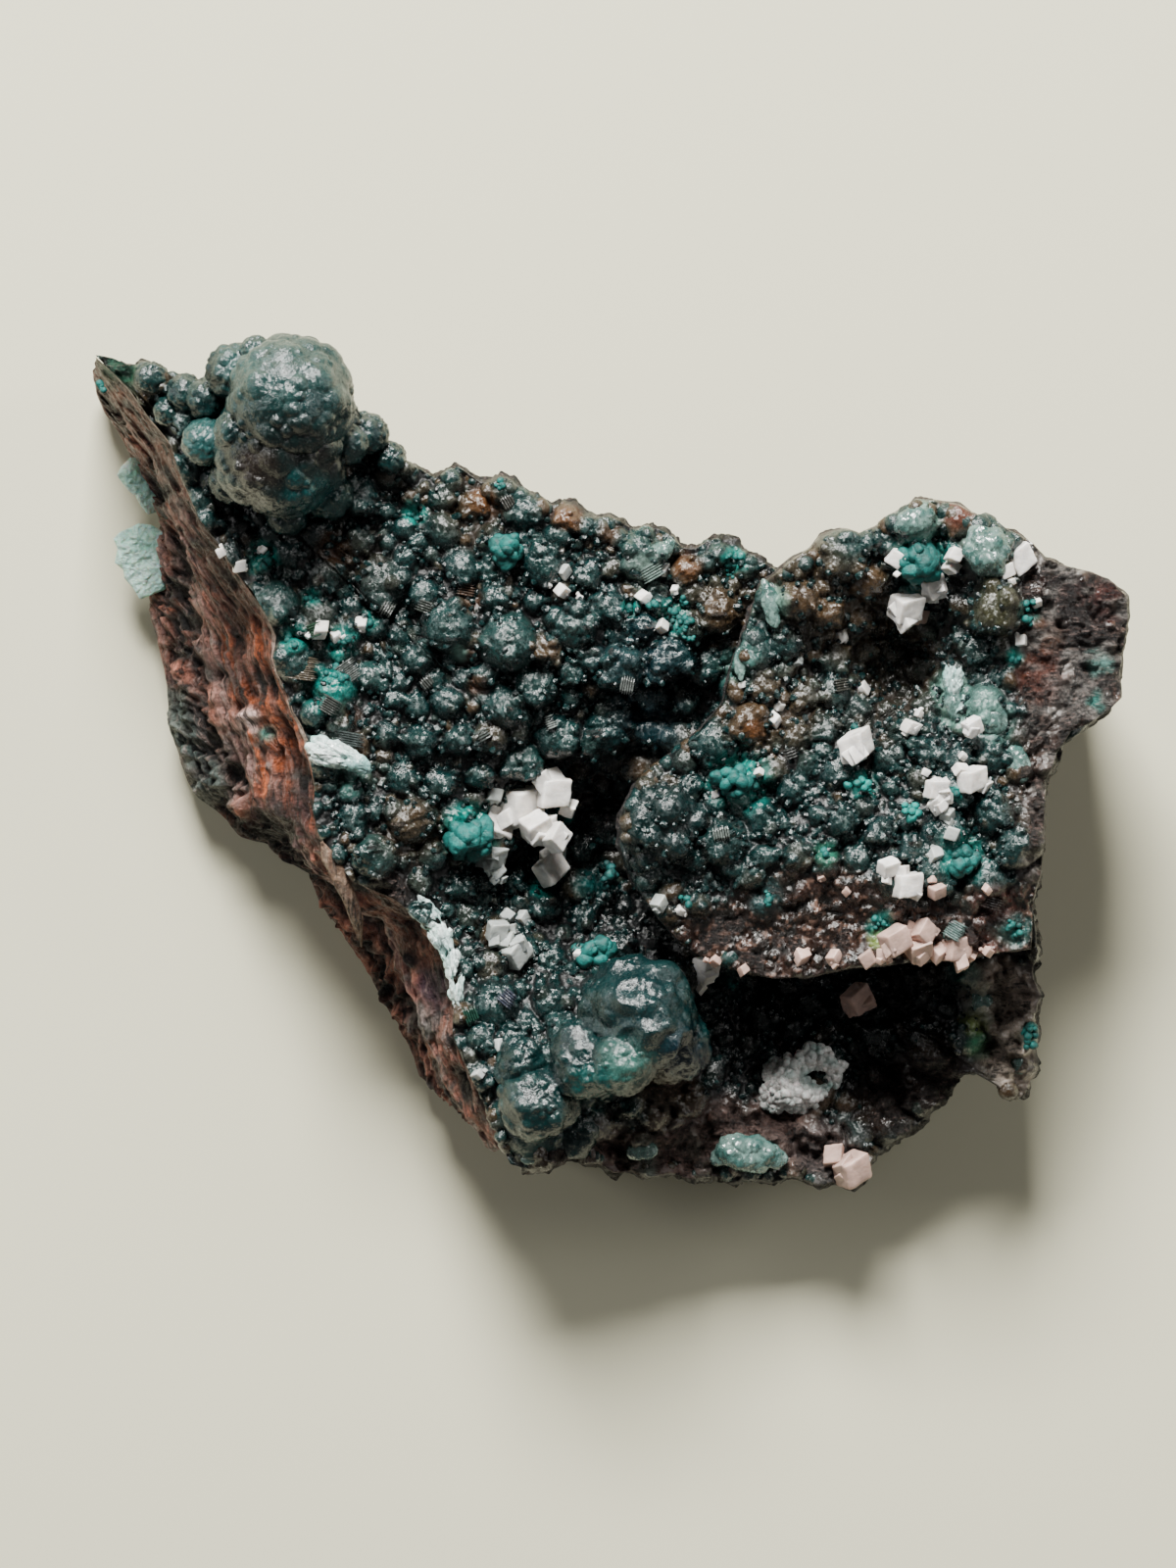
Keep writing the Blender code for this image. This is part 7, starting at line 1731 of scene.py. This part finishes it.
points, faces = rod_along(SPLINTER_PATH, SPLINTER_WIDTHS, 120, 28, 0.55, 101)
colours = blend((0.42, 0.27, 0.18), (0.20, 0.10, 0.06), 0.5 + 0.9 * grain(
    points[:, 0] * 2.5, points[:, 1] * 0.6, points[:, 2], 0.5, 102))
colours = blend(colours, (0.50, 0.38, 0.28), 0.8 * grain(points[:, 0] * 3, points[:, 1] * 0.4, 0.0, 0.4, 103))
splinter = piece("splinter_blade", points, faces, ROCK, colours,
                 weave=points * (1.0, 0.15, 0.15))
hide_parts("splinter")


# ---- Rosasite ----------------------------------------------------------------
# Velvety turquoise balls of rosasite, each a tuft of the finest needles, in groups of a few to
# a few dozen. The larger groups stand over the CAD's, the smaller are read off one by one.
# (CAD node, number of balls, colour)
BRIGHT_TEAL = (0.0003, 0.090, 0.080)
DEEP_TEAL = (0.0005, 0.050, 0.048)
PALE_TEAL = (0.003, 0.18, 0.155)
ROSASITE_NODES = (
    ("rosasite_big", 24, BRIGHT_TEAL), ("rosasite_east", 18, BRIGHT_TEAL),
    ("rosasite_edge", 12, BRIGHT_TEAL), ("rosasite_hollow", 9, DEEP_TEAL),
    ("rosasite_middle", 10, PALE_TEAL), ("rosasite_north", 16, BRIGHT_TEAL),
    ("rosasite_pale", 8, PALE_TEAL), ("rosasite_shelf", 18, BRIGHT_TEAL),
    ("rosasite_south", 18, BRIGHT_TEAL), ("rosasite_west", 24, BRIGHT_TEAL),
)
# (x, y, radius, number of balls, on the shelf)
ROSASITE_SPOTS = (
    (-12.8, 17.5, 0.5, 7, 0), (-23.3, 14.3, 0.6, 9, 0), (-19.8, 11.6, 0.5, 6, 0),
    (-21.0, 8.8, 0.5, 6, 0), (-17.9, 8.6, 0.7, 10, 0), (-18.4, 6.2, 0.9, 12, 0),
    (-16.0, 10.0, 0.4, 5, 0), (2.2, 11.0, 0.3, 4, 0), (3.6, 11.0, 0.35, 5, 0),
    (4.8, 10.4, 0.5, 7, 0), (5.8, 9.9, 0.6, 9, 0), (6.2, 9.0, 0.35, 5, 0), (5.9, 11.4, 0.3, 4, 0),
    (9.3, 14.2, 0.6, 9, 0), (9.1, 13.4, 0.4, 5, 0), (29.4, 10.9, 0.35, 6, 1),
    (29.2, 10.0, 0.3, 5, 1), (28.4, 7.5, 0.35, 5, 1), (24.1, -1.9, 0.3, 4, 1),
    (-4.2, -2.6, 0.35, 5, 0), (-2.7, -3.6, 0.7, 9, 0), (-2.6, -7.4, 0.5, 6, 0),
    (-3.9, -8.0, 0.5, 7, 0), (5.8, -9.3, 0.4, 6, 1), (19.3, -10.8, 0.6, 8, 1),
    (9.4, -15.3, 0.6, 8, 0), (17.6, 2.7, 0.3, 4, 1), (28.2, -11.2, 0.7, 9, 1),
    (11.5, -9.0, 0.5, 6, 1), (15.5, -6.0, 0.35, 5, 1), (-34.3, 26.2, 0.3, 4, 0),
    (8.4, -1.4, 0.4, 6, 1), (21.2, -3.1, 0.35, 5, 1), (-6.9, 19.4, 0.35, 5, 0),
)


def rosasite_finish():
    """Velvety skin: point colours, mottled, with a fine bump and no gloss."""
    material, tree, shader = plain_material("rosasite")
    tint = node(tree, "ShaderNodeAttribute", attribute_name="tint")
    mottle = use_group(tree, MOTTLE, {"Color": tint.outputs["Color"], "Size": 3400.0,
                                      "Depth": 0.5})
    place = node(tree, "ShaderNodeTexCoord")
    fine = node(tree, "ShaderNodeTexNoise", {"Vector": place.outputs["Object"], "Scale": 9000.0,
                                             "Detail": 4.0})
    bump = node(tree, "ShaderNodeBump", {"Height": fine.outputs[0], "Strength": 0.6,
                                         "Distance": 0.0001})
    rough = node(tree, "ShaderNodeMapRange", {"Value": mottle.outputs["Value"], "To Min": 0.45,
                                              "To Max": 0.8})
    tree.links.new(mottle.outputs["Color"], shader.inputs["Base Color"])
    tree.links.new(rough.outputs[0], shader.inputs["Roughness"])
    tree.links.new(bump.outputs["Normal"], shader.inputs["Normal"])
    return material


ROSASITE = rosasite_finish()
TUFT = sphere_grid(12, 20)
SMALL_TUFT = sphere_grid(5, 10)
rosasite_chance = np.random.default_rng(110)


def tufts(name, ball, places, radii, colour):
    """Small balls, lumpy by noise over their skins, as one mesh, with painted shade that darkens each
    ball towards its underside.
    """
    spins = spins_to(random_ways(rosasite_chance, len(places)), rosasite_chance)
    sizes = radii[:, None] * rosasite_chance.uniform(0.85, 1.15, (len(places), 3))
    points, faces = copies(*ball, places, spins, sizes)
    centres = np.repeat(places, len(ball[0]), axis=0)
    spread = 1.0 + 0.24 * grain(*points.T, 0.5, 111) + 0.10 * grain(*points.T, 0.16, 113)
    points = centres + (points - centres) * spread[:, None]
    level = (points[:, 2] - centres[:, 2]) / np.repeat(radii, len(ball[0]))
    shade = np.repeat(rosasite_chance.uniform(0.6, 1.25, len(places)), len(ball[0]))
    # Painted shade: each ball runs from a third of its colour underneath to a little over it on top
    colours = blend(np.array(colour) * 0.3, np.array(colour) * 1.15, 0.5 + 0.5 * level) * shade[:, None]
    colours = blend(colours, (0.005, 0.26, 0.22), 0.9 * grain(*points.T, 0.35, 112) - 0.5)
    made = piece(name, points, faces, ROSASITE, colours)
    return made


for name, count, colour in ROSASITE_NODES:
    low, high = (np.array(corner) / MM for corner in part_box(name))
    centre, halves = 0.5 * (low + high), 0.5 * (high - low)
    turns = rosasite_chance.uniform(0.0, 2.0 * np.pi, count)
    away = np.sqrt(rosasite_chance.random(count)) * 0.78
    radii = rosasite_chance.uniform(0.26, 0.62, count) * min(halves[:2])
    x = centre[0] + halves[0] * away * np.cos(turns)
    y = centre[1] + halves[1] * away * np.sin(turns)
    z = low[2] + (high[2] - low[2]) * np.sqrt(1.0 - away ** 2) * rosasite_chance.uniform(
        0.7, 1.0, count) - radii
    made = tufts(name + "_tufts", TUFT, np.stack((x, y, z), -1), radii, colour)
    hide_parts(name)

places, radii = [], []
for x, y, radius, count, on_shelf in ROSASITE_SPOTS:
    turns = rosasite_chance.uniform(0.0, 2.0 * np.pi, count)
    away = np.sqrt(rosasite_chance.random(count)) * radius
    at_x, at_y = x + away * np.cos(turns), y + away * np.sin(turns)
    small = rosasite_chance.uniform(0.13, 0.3, count)
    top = read_map(shelf_height if on_shelf else field_height, at_x, at_y)
    places.append(np.stack((at_x, at_y, top + 0.2 * small), -1))
    radii.append(small)
tufts("small_tufts", SMALL_TUFT, np.concatenate(places), np.concatenate(radii), BRIGHT_TEAL)
